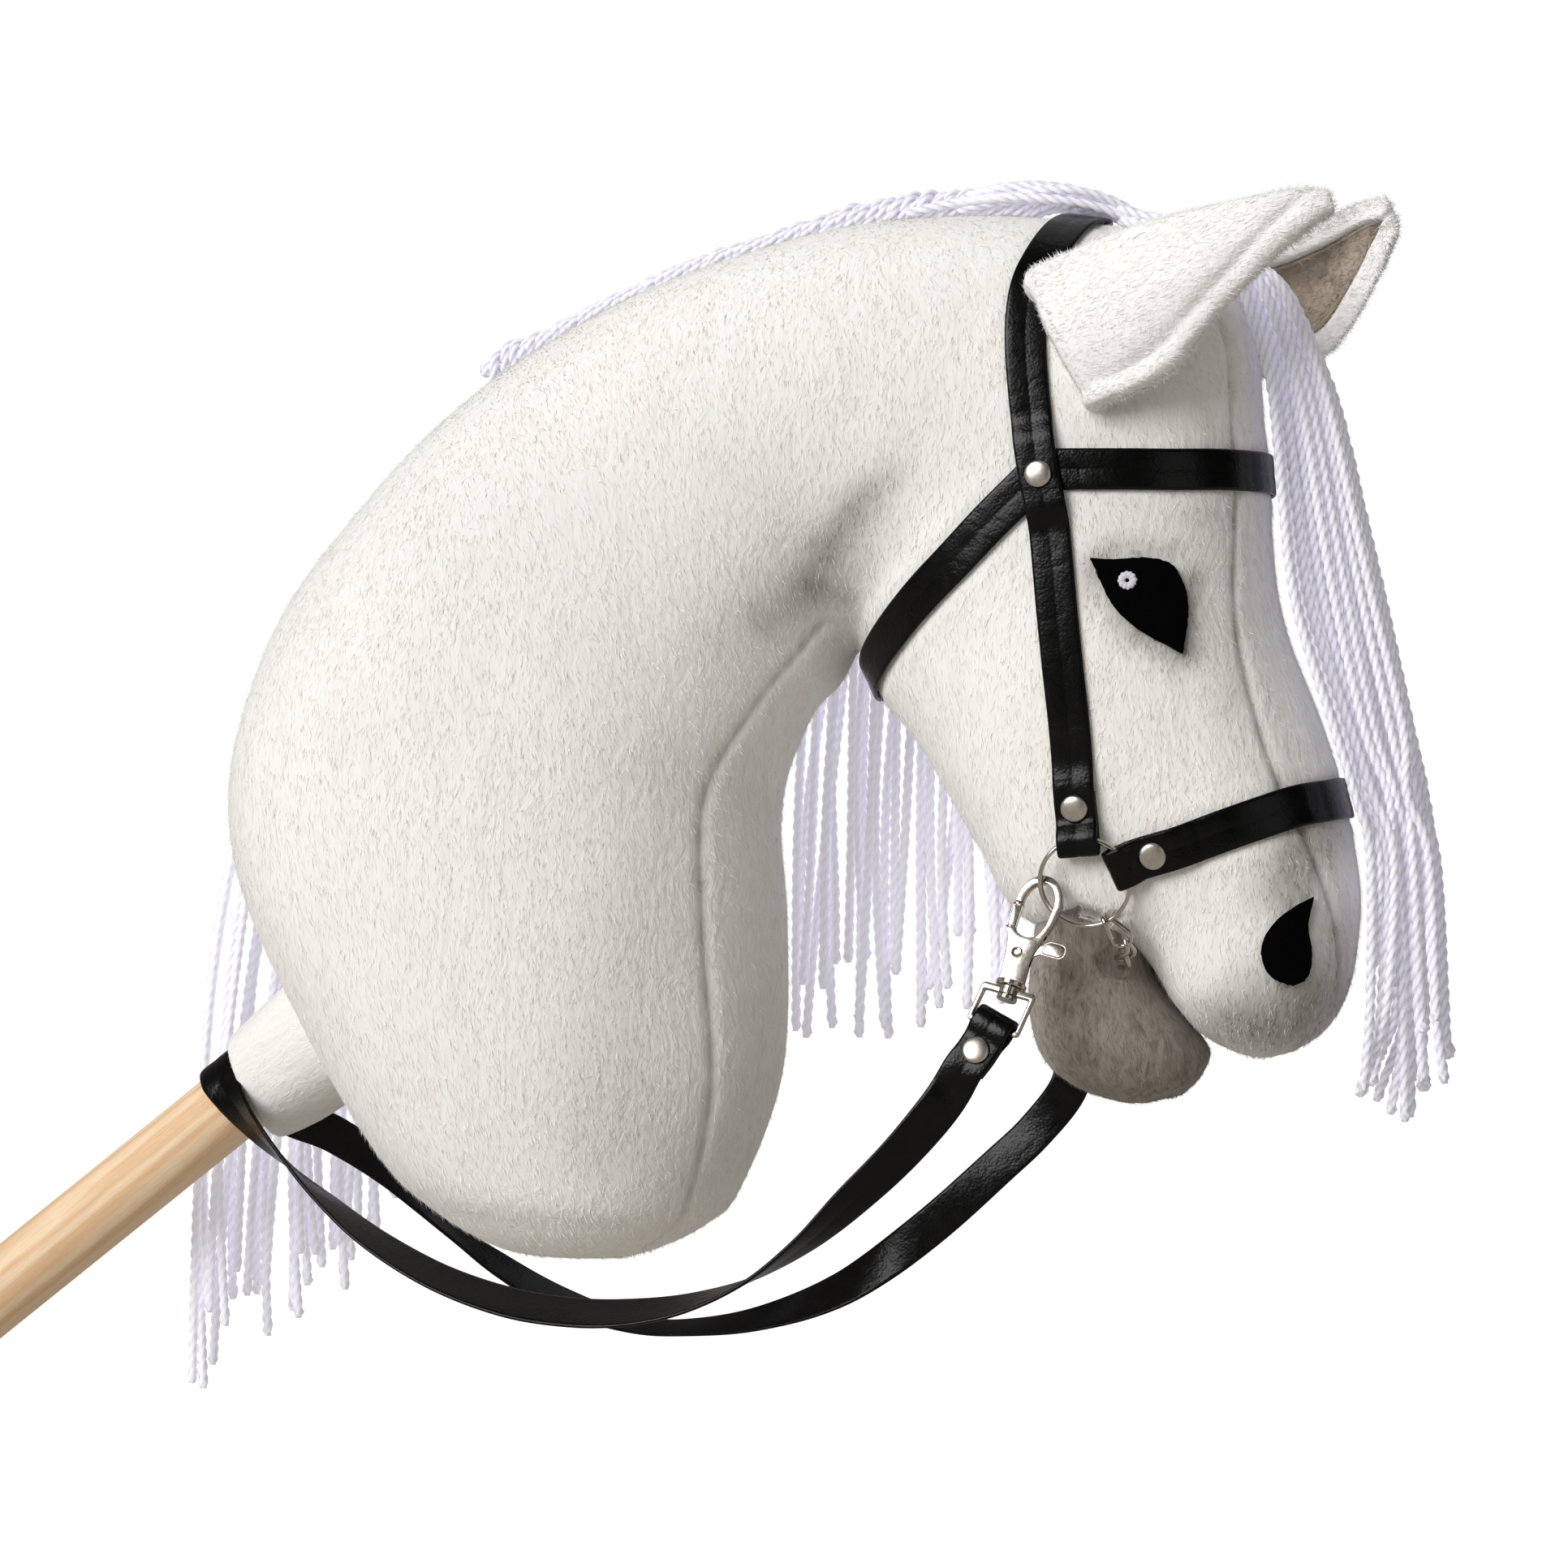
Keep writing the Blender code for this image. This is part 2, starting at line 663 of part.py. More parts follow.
def turned(name, profile, steps, frame, paint=None):
    """A solid turned about its z axis from a profile of radius and height, top to bottom."""
    ring = profile[0] == profile[-1]
    points = [(r, 0, z) for r, z in (profile[:-1] if ring else profile)]
    edges = [(k, (k + 1) % len(points)) for k in range(len(profile) - 1)]
    mesh = bpy.data.meshes.new(name)
    mesh.from_pydata(points, edges, [])
    if paint:
        mesh.materials.append(paint)
    made = bpy.data.objects.new(name, mesh)
    parts.objects.link(made)
    screw = made.modifiers.new("turn", "SCREW")
    screw.steps = steps
    screw.render_steps = steps
    screw.use_merge_vertices = True
    screw.merge_threshold = weld_distance
    screw.use_smooth_shade = True
    made.matrix_world = frame
    return made


body_cutter = as_cutter(
    add_object("body_cutter", head_grid.offset(touch_gap), head_grid.triangles, None)
)
sleeve_profile = (
    (sleeve_mouth_diameter / 2, 0),
    (bore_radius, 0),
    (bore_radius, sleeve_reach),
    (sleeve_root_diameter / 2, sleeve_reach),
    (sleeve_mouth_diameter / 2, 0),
)
stick_sleeve = turned("stick_sleeve", sleeve_profile, sleeve_steps, along_stick(0), white_plush)
cut(stick_sleeve, body_cutter)
for holder in (panels["side_panel_left"], panels["side_panel_right"], neck_stuffing):
    cut(holder, bore_cutter)

# Lower jaw: a small stuffed bag sewn under the cheeks
jaw_grid = SkinGrid(jaw_sections, list(range(len(jaw_sections))), closed_start=False)


def jaw_solids():
    outer = jaw_grid.points
    inner = jaw_grid.offset(-plush_thickness)
    fill = jaw_grid.offset(-(plush_thickness + layer_gap))
    skin = jaw_grid.triangles
    count = len(outer)
    rim = [jaw_grid.index[0, j] for j in range(jaw_grid.around)]
    faces = skin + [tuple(count + k for k in reversed(half)) for half in skin]
    faces += [(a, b, count + b, count + a) for a, b in zip(rim, rim[1:] + rim[:1])]
    cover = add_object("lower_jaw_cover", outer + inner, faces, grey_plush)
    filling = add_object("lower_jaw_stuffing", fill, skin + [tuple(rim)], fibre_fill)
    across = Matrix.Translation(place(*mouth_groove)) @ Matrix.Rotation(pi / 2, 4, "X")
    groove_length = cutter_reach * max(row[4] for row in jaw_sections) * mm
    groove = cylinder("groove_cutter", mouth_groove_radius, groove_length, groove_sides, across)
    as_cutter(groove)
    for soft in (cover, filling):
        cut(soft, body_cutter)
        cut(soft, groove)


jaw_solids()


# Seating on the plush surface
skin_tree = head_grid.tree()


def skin_normal(point, face):
    total = Vector()
    for k in head_grid.triangles[face]:
        total += head_grid.normals[k] / ((head_grid.points[k] - point).length + mm)
    return total.normalized()


def nearest_skin(point):
    hit, _, face, _ = skin_tree.find_nearest(point)
    return hit, skin_normal(hit, face)


def skin_from_side(x, z, side):
    """Where a line along Y meets the surface on one side: -1 is the right side, 1 the left."""
    hit, _, face, _ = skin_tree.ray_cast(place(x, side * far_away, z), Vector((0, -side, 0)))
    return (hit, skin_normal(hit, face)) if hit else (None, None)


def mirrored(vector):
    return Vector((vector.x, -vector.y, vector.z))


def smooth_rows(rows, step):
    """Catmull-Rom curve through rows that start with a point, read off at even steps."""
    dense = []
    for k in range(len(rows) - 1):
        dense += [spline(rows, k + t / spline_steps) for t in range(spline_steps)]
    dense.append(list(rows[-1]))
    lengths = [0]
    for a, b in zip(dense, dense[1:]):
        lengths.append(lengths[-1] + (Vector(b[:3]) - Vector(a[:3])).length)
    count = max(2, round(lengths[-1] / step))
    out = []
    k = 0
    for n in range(count + 1):
        want = lengths[-1] * n / count
        while k < len(dense) - 2 and lengths[k + 1] < want:
            k += 1
        share = (want - lengths[k]) / (lengths[k + 1] - lengths[k])
        out.append([a + (b - a) * share for a, b in zip(dense[k], dense[k + 1])])
    return out


def smooth_path(points, step):
    return [Vector(row) for row in smooth_rows([tuple(p) for p in points], step)]


def tangents(points):
    out = []
    for k in range(len(points)):
        ahead = points[min(k + 1, len(points) - 1)]
        behind = points[max(k - 1, 0)]
        out.append((ahead - behind).normalized())
    return out


def band(name, centres, normals, width, thickness, paint):
    """A flat strap swept along its centre line, its broad faces square to the normals."""
    verts = []
    faces = []
    for centre, normal, way in zip(centres, normals, tangents(centres)):
        flat = (normal - way * normal.dot(way)).normalized()
        across = way.cross(flat)
        for a, b in ((1, 1), (-1, 1), (-1, -1), (1, -1)):
            verts.append(centre + across * (a * width / 2) + flat * (b * thickness / 2))
    for k in range(0, len(verts) - 4, 4):
        for c in range(4):
            d = (c + 1) % 4
            faces.append((k + c, k + 4 + c, k + 4 + d))
            faces.append((k + c, k + 4 + d, k + d))
    last = len(verts) - 4
    faces += [(0, 1, 2, 3), (last + 3, last + 2, last + 1, last)]
    made = add_object(name, verts, faces, paint)
    made.data.set_sharp_from_angle(angle=radians(sharp_angle))
    return made


def seat_route(points, step, width):
    """A route laid on the plush: surface points and normals that clear it over the full width."""
    laid = [nearest_skin(p)[0] for p in smooth_path([place(*p) for p in points], step)]
    out = []
    for here, way in zip(laid, tangents(laid)):
        normal = nearest_skin(here)[1]
        across = way.cross(normal).normalized()
        left = nearest_skin(here + across * width / 2)[0]
        right = nearest_skin(here - across * width / 2)[0]
        flat = way.cross(left - right).normalized()
        if flat.dot(normal) < 0:
            flat.negate()
        across = flat.cross(way)
        high = 0
        for share in (-0.5, -0.25, 0.25, 0.5):
            for reach in (-0.5, 0, 0.5):
                probe = here + across * (share * width) + way * (reach * step)
                high = max(high, (nearest_skin(probe)[0] - here).dot(flat))
        out.append((here + flat * high, flat))
    return out


def blend(low, high, value):
    share = min(1, max(0, (value - low) / (high - low)))
    return share * share * (3 - 2 * share)


# Bit rings
wire_radius = ring_wire / 2
ring_radius = (ring_outer - ring_wire) / 2
ring_lean = radians(ring_tilt)
strap_level = strap_lift + strap_thickness / 2
ring_slack = strap_width ** 2 / (8 * ring_radius) + fold_gap + fold_ease
pressed_half = (strap_thickness + touch_gap) / 2


def ring_frame(side):
    """The ring's frame: x forward and y up in the ring's plane; side -1 is right, 1 is left."""
    forward = Vector((1, 0, 0))
    up = Vector((0, side * sin(ring_lean), cos(ring_lean)))
    frame = Matrix((forward, up, forward.cross(up))).transposed().to_4x4()
    frame.translation = place(ring_centre[0], side * ring_centre[1], ring_centre[2])
    return frame


def on_ring(side, degrees):
    turn = radians(degrees)
    return ring_frame(side) @ Vector((ring_radius * cos(turn), ring_radius * sin(turn), 0))


sides = (("right", -1), ("left", 1))
for side_name, side in sides:
    bpy.ops.mesh.primitive_torus_add(
        major_radius=ring_radius,
        minor_radius=wire_radius,
        major_segments=ring_segments,
        minor_segments=wire_sides,
    )
    adopt(bpy.context.object, "bit_ring_" + side_name, ring_frame(side), nickel_plate)


# Bridle straps
rivet_radius = rivet_diameter / 2
rivet_spots = []


def folded_half(half, held, facing, level, rivet_at, hold_radius, slack, step=strap_step, bumps=()):
    """A strap's end that folds round a wire or bar, then runs on along its route.

    Gives its centre points and normals, the free end first, a function for the place and way of
    a rivet at a distance from the fold, and the length of the route.
    """
    walked = [0]
    for (a, _), (b, _) in zip(half, half[1:]):
        walked.append(walked[-1] + (b - a).length)
    start = half[0][0]
    held_height = (held - start).dot(facing)
    sideways = held - start - facing * held_height
    fold_half = hold_radius + fold_gap + strap_thickness / 2

    def heights(distance):
        flat_from = rivet_at - rivet_radius
        middle = held_height + (level + pressed_half - held_height) * blend(0, flat_from, distance)
        closing = blend(hold_radius + touch_gap, flat_from, distance)
        spread = fold_half + (pressed_half - fold_half) * closing
        single = blend(fold_tail, fold_tail + fold_settle, distance)
        outer = middle + spread + (level - middle - spread) * single
        for low, high, rise in bumps:
            falling = blend(high, high + bump_ramp, distance)
            outer += rise * blend(low - bump_ramp, low, distance) * (1 - falling)
        return outer, middle - spread

    def outer_point(distance):
        base, normal = at(distance)
        return base + normal * heights(distance)[0]

    def strap_line(distance):
        """The outer layer as it is built, straight from one cross-section to the next."""
        behind = tail_step * int(distance / tail_step)
        share = (distance - behind) / tail_step
        return outer_point(behind).lerp(outer_point(behind + tail_step), share)

    def at(distance):
        k = 0
        while k < len(walked) - 2 and walked[k + 1] < distance:
            k += 1
        share = min(1, (distance - walked[k]) / (walked[k + 1] - walked[k]))
        settled = blend(0, fold_tail, distance)
        base = half[k][0].lerp(half[k + 1][0], share) + sideways * (1 - settled)
        normal = half[k][1].lerp(half[k + 1][1], share)
        return base, facing.lerp(normal, settled).normalized()

    def seat(distance):
        """A rivet's place on the middle of the outer layer and the way it faces."""
        line = [strap_line(distance + rivet_radius * shift) for shift in (-1, -0.5, 0, 0.5, 1)]
        way = (line[-1] - line[0]).normalized()
        normal = at(distance)[1]
        normal = (normal - way * normal.dot(way)).normalized()
        return line[2] + normal * max((point - line[2]).dot(normal) for point in line), normal

    centres = []
    normals = []
    for n in range(tail_steps + 1):
        distance = fold_tail * (1 - n / tail_steps)
        base, normal = at(distance)
        centres.append(base + normal * heights(distance)[1])
        normals.append(-normal)
    base, normal = at(0)
    outward = (base - at(fold_half)[0]).normalized()
    centre = base + normal * held_height + outward * slack
    for n in range(1, fold_steps):
        turn = pi * n / fold_steps - pi / 2
        spoke = normal * sin(turn) + outward * cos(turn)
        centres.append(centre + spoke * fold_half)
        normals.append(spoke)
    distance = 0
    while distance < walked[-1] - step / 2:
        centres.append(outer_point(distance))
        normals.append(at(distance)[1])
        distance += tail_step if distance < fold_tail + fold_settle else step
    centres.append(outer_point(walked[-1]))
    normals.append(half[-1][1])
    return centres, normals, seat, walked[-1]


def seated_half(route):
    """Half of a bridle strap's route on the plush, its last point on the middle plane."""
    half = seat_route(route, strap_step, strap_width)
    base, normal = half[-1]
    half[-1] = (Vector((base.x, 0, base.z)), Vector((normal.x, 0, normal.z)).normalized())
    return half


def whole_strap(name, centres, normals):
    """A strap from its right half, which ends on the middle plane."""
    centres = centres + [mirrored(c) for c in reversed(centres[:-1])]
    normals = normals + [mirrored(n) for n in reversed(normals[:-1])]
    return band(name, centres, normals, strap_width, strap_thickness, black_strap)


def ringed_strap(name, route, ring_angle, rivet_at, bumps=()):
    """A strap that folds round both bit rings and crosses the head's middle plane."""
    wire = on_ring(-1, ring_angle)
    facing = ring_frame(-1).to_3x3() @ Vector((0, 0, 1))
    centres, normals, seat, length = folded_half(
        seated_half(route), wire, facing, strap_level, rivet_at, wire_radius, ring_slack, bumps=bumps
    )
    made = whole_strap(name, centres, normals)
    rivet_spots.append((name, *seat(rivet_at), 2))
    return made, seat, length


def plain_strap(name, route):
    """A strap from the cheek rivet on one side over the middle plane to the other side."""
    half = seated_half(route)
    centres = [base + normal * strap_level for base, normal in half]
    return whole_strap(name, centres, [normal for _, normal in half])


under_rise = strap_thickness + strap_lift
crown_strap, crown_seat, crown_length = ringed_strap(
    "crown_strap", crown_route, crown_ring_angle, cheek_rivet_distance, ((*junction_span, under_rise),)
)
noseband, _, _ = ringed_strap("noseband", noseband_route, nose_ring_angle, nose_rivet_distance)
browband = plain_strap("browband", browband_route)
throat_latch = plain_strap("throat_latch", throat_latch_route)
rivet_spots.append(("crown_strap", *crown_seat(junction_distance), 1))


# Rivets

def facing_frame(point, normal, along=Vector((0, 0, 1))):
    """A frame with z on the normal and y as near as can be to a given way."""
    across = along.cross(normal).normalized()
    frame = Matrix((across, normal.cross(across), normal)).transposed().to_4x4()
    frame.translation = point
    return frame


def rivet(name, point, normal, layers, strap):
    """A domed rivet whose post goes through a hole in the strap."""
    depth = strap_thickness * layers + touch_gap * (layers - 1)
    frame = facing_frame(point + normal * (strap_thickness / 2 + rivet_seat_gap), normal)
    profile = [(0, rivet_dome)]
    for n in range(1, dome_steps):
        turn = pi / 2 * n / dome_steps
        profile.append((rivet_radius * sin(turn), rivet_rim + (rivet_dome - rivet_rim) * cos(turn)))
    profile += [(rivet_radius, rivet_rim), (rivet_radius, 0), (rivet_post / 2, 0)]
    profile += [(rivet_post / 2, -depth), (0, -depth)]
    turned(name, profile, rivet_steps, frame, nickel_plate)
    middle = frame @ Matrix.Translation((0, 0, -depth / 2))
    hole = cylinder(name + "_hole", rivet_post / 2 + touch_gap, cutter_reach * depth, hole_sides, middle)
    cut(strap, as_cutter(hole))


rivet_names = {"crown_strap": "cheek_rivet", "noseband": "nose_rivet"}
strap_of = {"crown_strap": crown_strap, "noseband": noseband}
for strap_name, point, normal, layers in rivet_spots:
    label = rivet_names[strap_name] if layers == 2 else "junction_rivet"
    for side_name, side in sides:
        spot = point if side < 0 else mirrored(point)
        way = normal if side < 0 else mirrored(normal)
        rivet(label + "_" + side_name, spot, way, layers, strap_of[strap_name])


# Bit chain through the mouth, from ring to ring
def chain_joints():
    """The places where the links meet, the first and last on the wires of the rings."""
    near = [place(*p) for p in chain_route]
    near[0] = on_ring(-1, chain_ring_angle)
    path = smooth_path(near + [mirrored(p) for p in reversed(near[:-1])], chain_route_step)
    return [path[round((len(path) - 1) * n / chain_links)] for n in range(chain_links + 1)]


def chain_link(name, start, end, start_reach, end_reach, flat):
    """A link round its two joints: its end wires lie beyond them by the reaches."""
    way = (end - start).normalized()
    flat = (flat - way * flat.dot(way)).normalized()
    bend = (chain_link_width - chain_wire) / 2
    turns = [pi / 2 - pi * m / link_bend_steps for m in range(link_bend_steps + 1)]
    far = (end - start).length + end_reach - bend
    near = bend - start_reach
    shape = [(far + bend * cos(t), bend * sin(t)) for t in turns]
    shape += [(near - bend * cos(t), -bend * sin(t)) for t in turns]
    curve = bpy.data.curves.new(name, "CURVE")
    curve.dimensions = "3D"
    line = curve.splines.new("POLY")
    line.points.add(len(shape) - 1)
    for point, (x, y) in zip(line.points, shape):
        point.co = (x, y, 0, 1)
    line.use_cyclic_u = True
    curve.bevel_depth = chain_wire / 2
    curve.bevel_resolution = 1
    curve.materials.append(nickel_plate)
    link = bpy.data.objects.new(name, curve)
    parts.objects.link(link)
    frame = Matrix((way, flat.cross(way), flat)).transposed().to_4x4()
    frame.translation = start
    link.matrix_world = frame


def bit_chain():
    joints = chain_joints()
    along_wire = on_ring(-1, chain_ring_angle + 1) - on_ring(-1, chain_ring_angle)
    first = along_wire.normalized()
    last = mirrored(first)
    plain = (chain_wire + chain_gap) / 2
    ringed = wire_radius + chain_wire / 2 + chain_gap
    for n in range(chain_links):
        way = (joints[n + 1] - joints[n]).normalized()
        hint = first.lerp(last, n / (chain_links - 1))
        if n % 2:
            hint = way.cross(hint)
        start_reach = plain if n else ringed
        end_reach = plain if n < chain_links - 1 else ringed
        chain_link("bit_chain_link_%d" % (n + 1), joints[n], joints[n + 1], start_reach, end_reach, hint)


bit_chain()


# Snap hooks
pinned = []


def arc(centre, half, first, last, steps):
    """Points of an ellipse about a centre, between two angles in degrees."""
    turns = [radians(first + (last - first) * n / steps) for n in range(steps + 1)]
    return [(centre[0] + half[0] * cos(turn), centre[1] + half[1] * sin(turn)) for turn in turns]


def rounded(points, radius):
    """An outline with its corners rounded off."""
    out = []
    for k, corner in enumerate(points):
        here = Vector(corner)
        before = (Vector(points[k - 1]) - here).normalized() * radius
        after = (Vector(points[(k + 1) % len(points)]) - here).normalized() * radius
        for n in range(round_steps + 1):
            share = n / round_steps
            out.append(here + before * (1 - share) ** 2 + after * share ** 2)
    return [(point.x, point.y) for point in out]


def flat_plate(name, outlines, thickness, frame, paint=None):
    """A plate from a flat outline, and the outlines of its holes, in millimetres."""
    curve = bpy.data.curves.new(name, "CURVE")
    curve.dimensions = "2D"
    curve.fill_mode = "BOTH"
    curve.extrude = thickness / 2
    for outline in outlines:
        line = curve.splines.new("POLY")
        line.points.add(len(outline) - 1)
        for point, (x, y) in zip(line.points, outline):
            point.co = (x * mm, y * mm, 0, 1)
        line.use_cyclic_u = True
    guide = bpy.data.objects.new(name + "_outline", curve)
    parts.objects.link(guide)
    guide.matrix_world = frame
    view = bpy.context.evaluated_depsgraph_get()
    mesh = bpy.data.meshes.new_from_object(guide.evaluated_get(view))
    weld(mesh)
    if paint:
        mesh.materials.append(paint)
    made = bpy.data.objects.new(name, mesh)
    parts.objects.link(made)
    made.matrix_world = frame
    bpy.data.objects.remove(guide)
    return made


def box(name, size, frame):
    bpy.ops.mesh.primitive_cube_add(size=1)
    made = bpy.context.object
    made.data.transform(Matrix.Diagonal((*size, 1)))
    return adopt(made, name, frame, None)


def hook_frame(side):
    """The hook's frame at its collar: x right and y up in the plane of the hook."""
    flare = radians(hook_flare)
    lean = radians(hook_lean)
    forward = Vector((1, 0, 0))
    rise = Vector((0, -side * sin(flare), cos(flare)))
    right = forward * cos(lean) - rise * sin(lean)
    up = forward * sin(lean) + rise * cos(lean)
    frame = Matrix((right, up, right.cross(up))).transposed().to_4x4()
    frame.translation = place(hook_collar[0], side * hook_collar[1], hook_collar[2])
    ring = ring_frame(side)
    return ring @ Matrix.Rotation(radians(hook_swing[side]), 4, "Z") @ ring.inverted() @ frame


stand_up = Matrix.Rotation(-pi / 2, 4, "X")
stem_bottom = collar_top - collar_height - 2 * touch_gap - loop_top_bar * mm
loop_top = (collar_top - collar_height - touch_gap) / mm
loop_middle = loop_top - loop_top_bar / 2


def tilt_down(x, y):
    """Turns the lower part of a strap loop about the middle of its top bar."""
    turn = radians(loop_tilt)
    drop = y - loop_middle
    return x * cos(turn) + drop * sin(turn), loop_middle - x * sin(turn) + drop * cos(turn)


def snap_hook(side_name, side):
    frame = hook_frame(side)
    swivel = []
    outline = list(hook_left_edge) + list(hook_eye_floor)
    outline += arc(hook_eye_centre, hook_eye_half, hook_eye_angle, hook_tip_angle, hook_arc_steps)
    outline += arc(hook_eye_centre, hook_rim_half, hook_tip_angle, 0, hook_arc_steps)
    outline += list(hook_right_edge)
    body = flat_plate("hook_body_" + side_name, [outline], hook_thickness, frame, nickel_plate)
    collar_bottom = collar_top - collar_height
    profile = (
        (0, collar_top), (collar_radius, collar_top), (collar_radius, collar_bottom),
        (stem_radius, collar_bottom), (stem_radius, stem_bottom), (button_radius, stem_bottom),
        (button_radius, stem_bottom - button_height), (0, stem_bottom - button_height),
    )
    collar = as_cutter(turned("collar_" + side_name, profile, turned_steps, frame @ stand_up))
    join(body, collar)
    slot_frame = frame @ Matrix.Translation((0, hook_slot_centre * mm, 0)) @ Matrix.Rotation(pi / 2, 4, "Y")
    slot_size = (hook_slot[0], hook_slot[2], hook_slot[1])
    cut(body, as_cutter(box("slot_" + side_name, slot_size, slot_frame)))
    pivot = frame @ Matrix.Translation((gate_pivot[0] * mm, gate_pivot[1] * mm, 0))
    hole = cylinder(
        "pin_hole_" + side_name, pin_radius + touch_gap, cutter_reach * hook_thickness, hole_sides, pivot
    )
    cut(body, as_cutter(hole))

    boss = arc(gate_pivot, (gate_boss_radius, gate_boss_radius), *gate_boss_turn, gate_boss_steps)
    tab = rounded(gate_tab, gate_tab_round)[:-(round_steps + 1)] + [gate_tab[3]]
    gate_outline = list(gate_finger) + list(gate_arm_inner) + tab + boss + list(gate_arm_outer)
    gate = flat_plate("hook_gate_" + side_name, [gate_outline], gate_thickness, frame, nickel_plate)
    finger = flat_plate("finger_" + side_name, [list(gate_finger)], gate_finger_thickness, frame)
    join(gate, as_cutter(finger))
    cut(gate, hole)

    reach = hook_thickness / 2 + touch_gap
    pin_profile = (
        (0, reach + pin_head_height), (pin_head_radius, reach + pin_head_height), (pin_head_radius, reach),
        (pin_radius, reach), (pin_radius, -reach), (pin_head_radius, -reach),
        (pin_head_radius, -reach - pin_head_height), (0, -reach - pin_head_height),
    )
    pin = turned("hook_pin_" + side_name, pin_profile, hole_sides, pivot, nickel_plate)

    wide, inner = loop_half_width
    low = loop_top - loop_height
    outer_edge = [(-wide, loop_top), (wide, loop_top), tilt_down(wide, low), tilt_down(-wide, low)]
    under_bar = loop_top - loop_top_bar
    over_bar = low + loop_bottom_bar
    inner_edge = [(-inner, under_bar), (inner, under_bar)]
    inner_edge += [tilt_down(inner, over_bar), tilt_down(-inner, over_bar)]
    outlines = [rounded(outer_edge, loop_round), rounded(inner_edge, loop_inner_round)]
    loop = flat_plate("hook_strap_loop_" + side_name, outlines, loop_depth, frame, nickel_plate)
    bar = frame @ Matrix.Translation((0, loop_middle * mm, 0)) @ stand_up
    eye = cylinder("loop_boss_" + side_name, button_radius, loop_top_bar * mm, turned_steps, bar)
    join(loop, as_cutter(eye))
    bore_length = cutter_reach * loop_top_bar * mm
    bore = cylinder("loop_bore_" + side_name, stem_radius + touch_gap, bore_length, turned_steps, bar)
    cut(loop, as_cutter(bore))
    pinned.append(("hook_swivel_" + side_name, frame, (body, pin)))
    pinned.append(("hook_gate_axis_" + side_name, pivot, (gate,)))


for side_name, side in sides:
    snap_hook(side_name, side)


# Rein
def rein_rows(side, route):
    """The rein's route from the bar of one strap loop to the top of the stick."""
    frame = hook_frame(side)
    bar_x, bar_y = tilt_down(0, loop_top - loop_height + loop_bottom_bar / 2)
    bar = frame @ Vector((bar_x * mm, bar_y * mm, 0))
    facing = frame.to_3x3() @ Vector((0, 0, -side))
    rows = [(*(bar - facing * pressed_half), *facing)]
    rows += [(*place(*row[:3]), *Vector(row[3:]).normalized()) for row in route]
    middle = along_stick(rein_bend)
    reach = stick_diameter / 2 + rein_stick_gap + strap_thickness / 2
    leave = radians(rein_leave_angle)
    for n in range(rein_wrap_steps + 1):
        turn = leave + (pi / 2 - leave) * n / rein_wrap_steps
        spoke = middle.to_3x3() @ Vector((-sin(turn), side * cos(turn), 0))
        rows.append((*(middle.translation + spoke * reach), *spoke))
    return bar, facing, rows


def rein_half(side, route):
    bar, facing, rows = rein_rows(side, route)
    half = [(Vector(row[:3]), Vector(row[3:]).normalized()) for row in smooth_rows(rows, strap_step)]
    bar_reach = sqrt((loop_bottom_bar * mm / 2) ** 2 + (loop_depth / 2) ** 2) + rein_fold_ease
    return folded_half(half, bar, facing, 0, rein_rivet_distance, bar_reach, rein_fold_slack, rein_step)


near_centres, near_normals, near_seat, _ = rein_half(-1, rein_near_route)
far_centres, far_normals, far_seat, _ = rein_half(1, rein_far_route)
rein_strap = band(
    "rein_strap",
    near_centres + list(reversed(far_centres[:-1])),
    near_normals + list(reversed(far_normals[:-1])),
    strap_width,
    strap_thickness,
    black_strap,
)
for side_name, seat in (("right", near_seat), ("left", far_seat)):
    rivet("rein_rivet_" + side_name, *seat(rein_rivet_distance), 2, rein_strap)


# Ears
def slab(name, outer, inner, paint):
    """A closed sheet between two grids of points of the same size."""
    rows = len(outer)
    across = len(outer[0])
    count = rows * across
    verts = [p for row in outer for p in row] + [p for row in inner for p in row]
    faces = []
    for i in range(rows - 1):
        for j in range(across - 1):
            a = i * across + j
            for half in ((a, a + across, a + across + 1), (a, a + across + 1, a + 1)):
                faces += [half, tuple(count + k for k in reversed(half))]
        for a in (i * across, (i + 1) * across - 1):
            faces.append((a, a + across, count + a + across, count + a))
    for j in range(across - 1):
        for a in (j, (rows - 1) * across + j):
            faces.append((a, a + 1, count + a + 1, count + a))
    return add_object(name, verts, faces, paint)


def ear_grid(side):
    """Points and outward normals of an ear's middle surface, from inside the head to the tip."""
    rows = ear_sections[side]
    last = len(rows) - 1

    def point(u, v):
        row = spline(rows, max(u, 0))
        if u < 0:
            ahead = spline(rows, -u)
            row = [2 * a - b for a, b in zip(row, ahead)]
            for k in range(1, len(row), 3):
                row[k] += side * u * ear_root_depth
        low, middle, high = (place(*row[k:k + 3]) for k in range(0, len(row), 3))
        return low * (1 - v) * (1 - 2 * v) + middle * 4 * v * (1 - v) + high * v * (2 * v - 1)

    points = []
    normals = []
    for i in range(ear_row_steps + 1):
        u = (last + ear_root) * i / ear_row_steps - ear_root
        line = []
        facing = []
        for v in ear_columns:
            along = point(min(u + ear_probe, last), v) - point(u - ear_probe, v)
            over = point(u, v + ear_probe) - point(u, v - ear_probe)
            normal = along.cross(over).normalized()
            if normal.y * side < 0:
                normal.negate()
            line.append(point(u, v))
            facing.append(normal)
        points.append(line)
        normals.append(facing)
    return points, normals


def layer(points, normals, distance, inset=0):
    """The ear's grid moved along its normals, without its outer columns and last rows if inset."""
    kept = slice(0, -2) if inset else slice(None)
    across = slice(inset, -inset) if inset else slice(None)
    rows = list(zip(points, normals))[kept]
    return [[p + n * distance for p, n in zip(*row)][across] for row in rows]


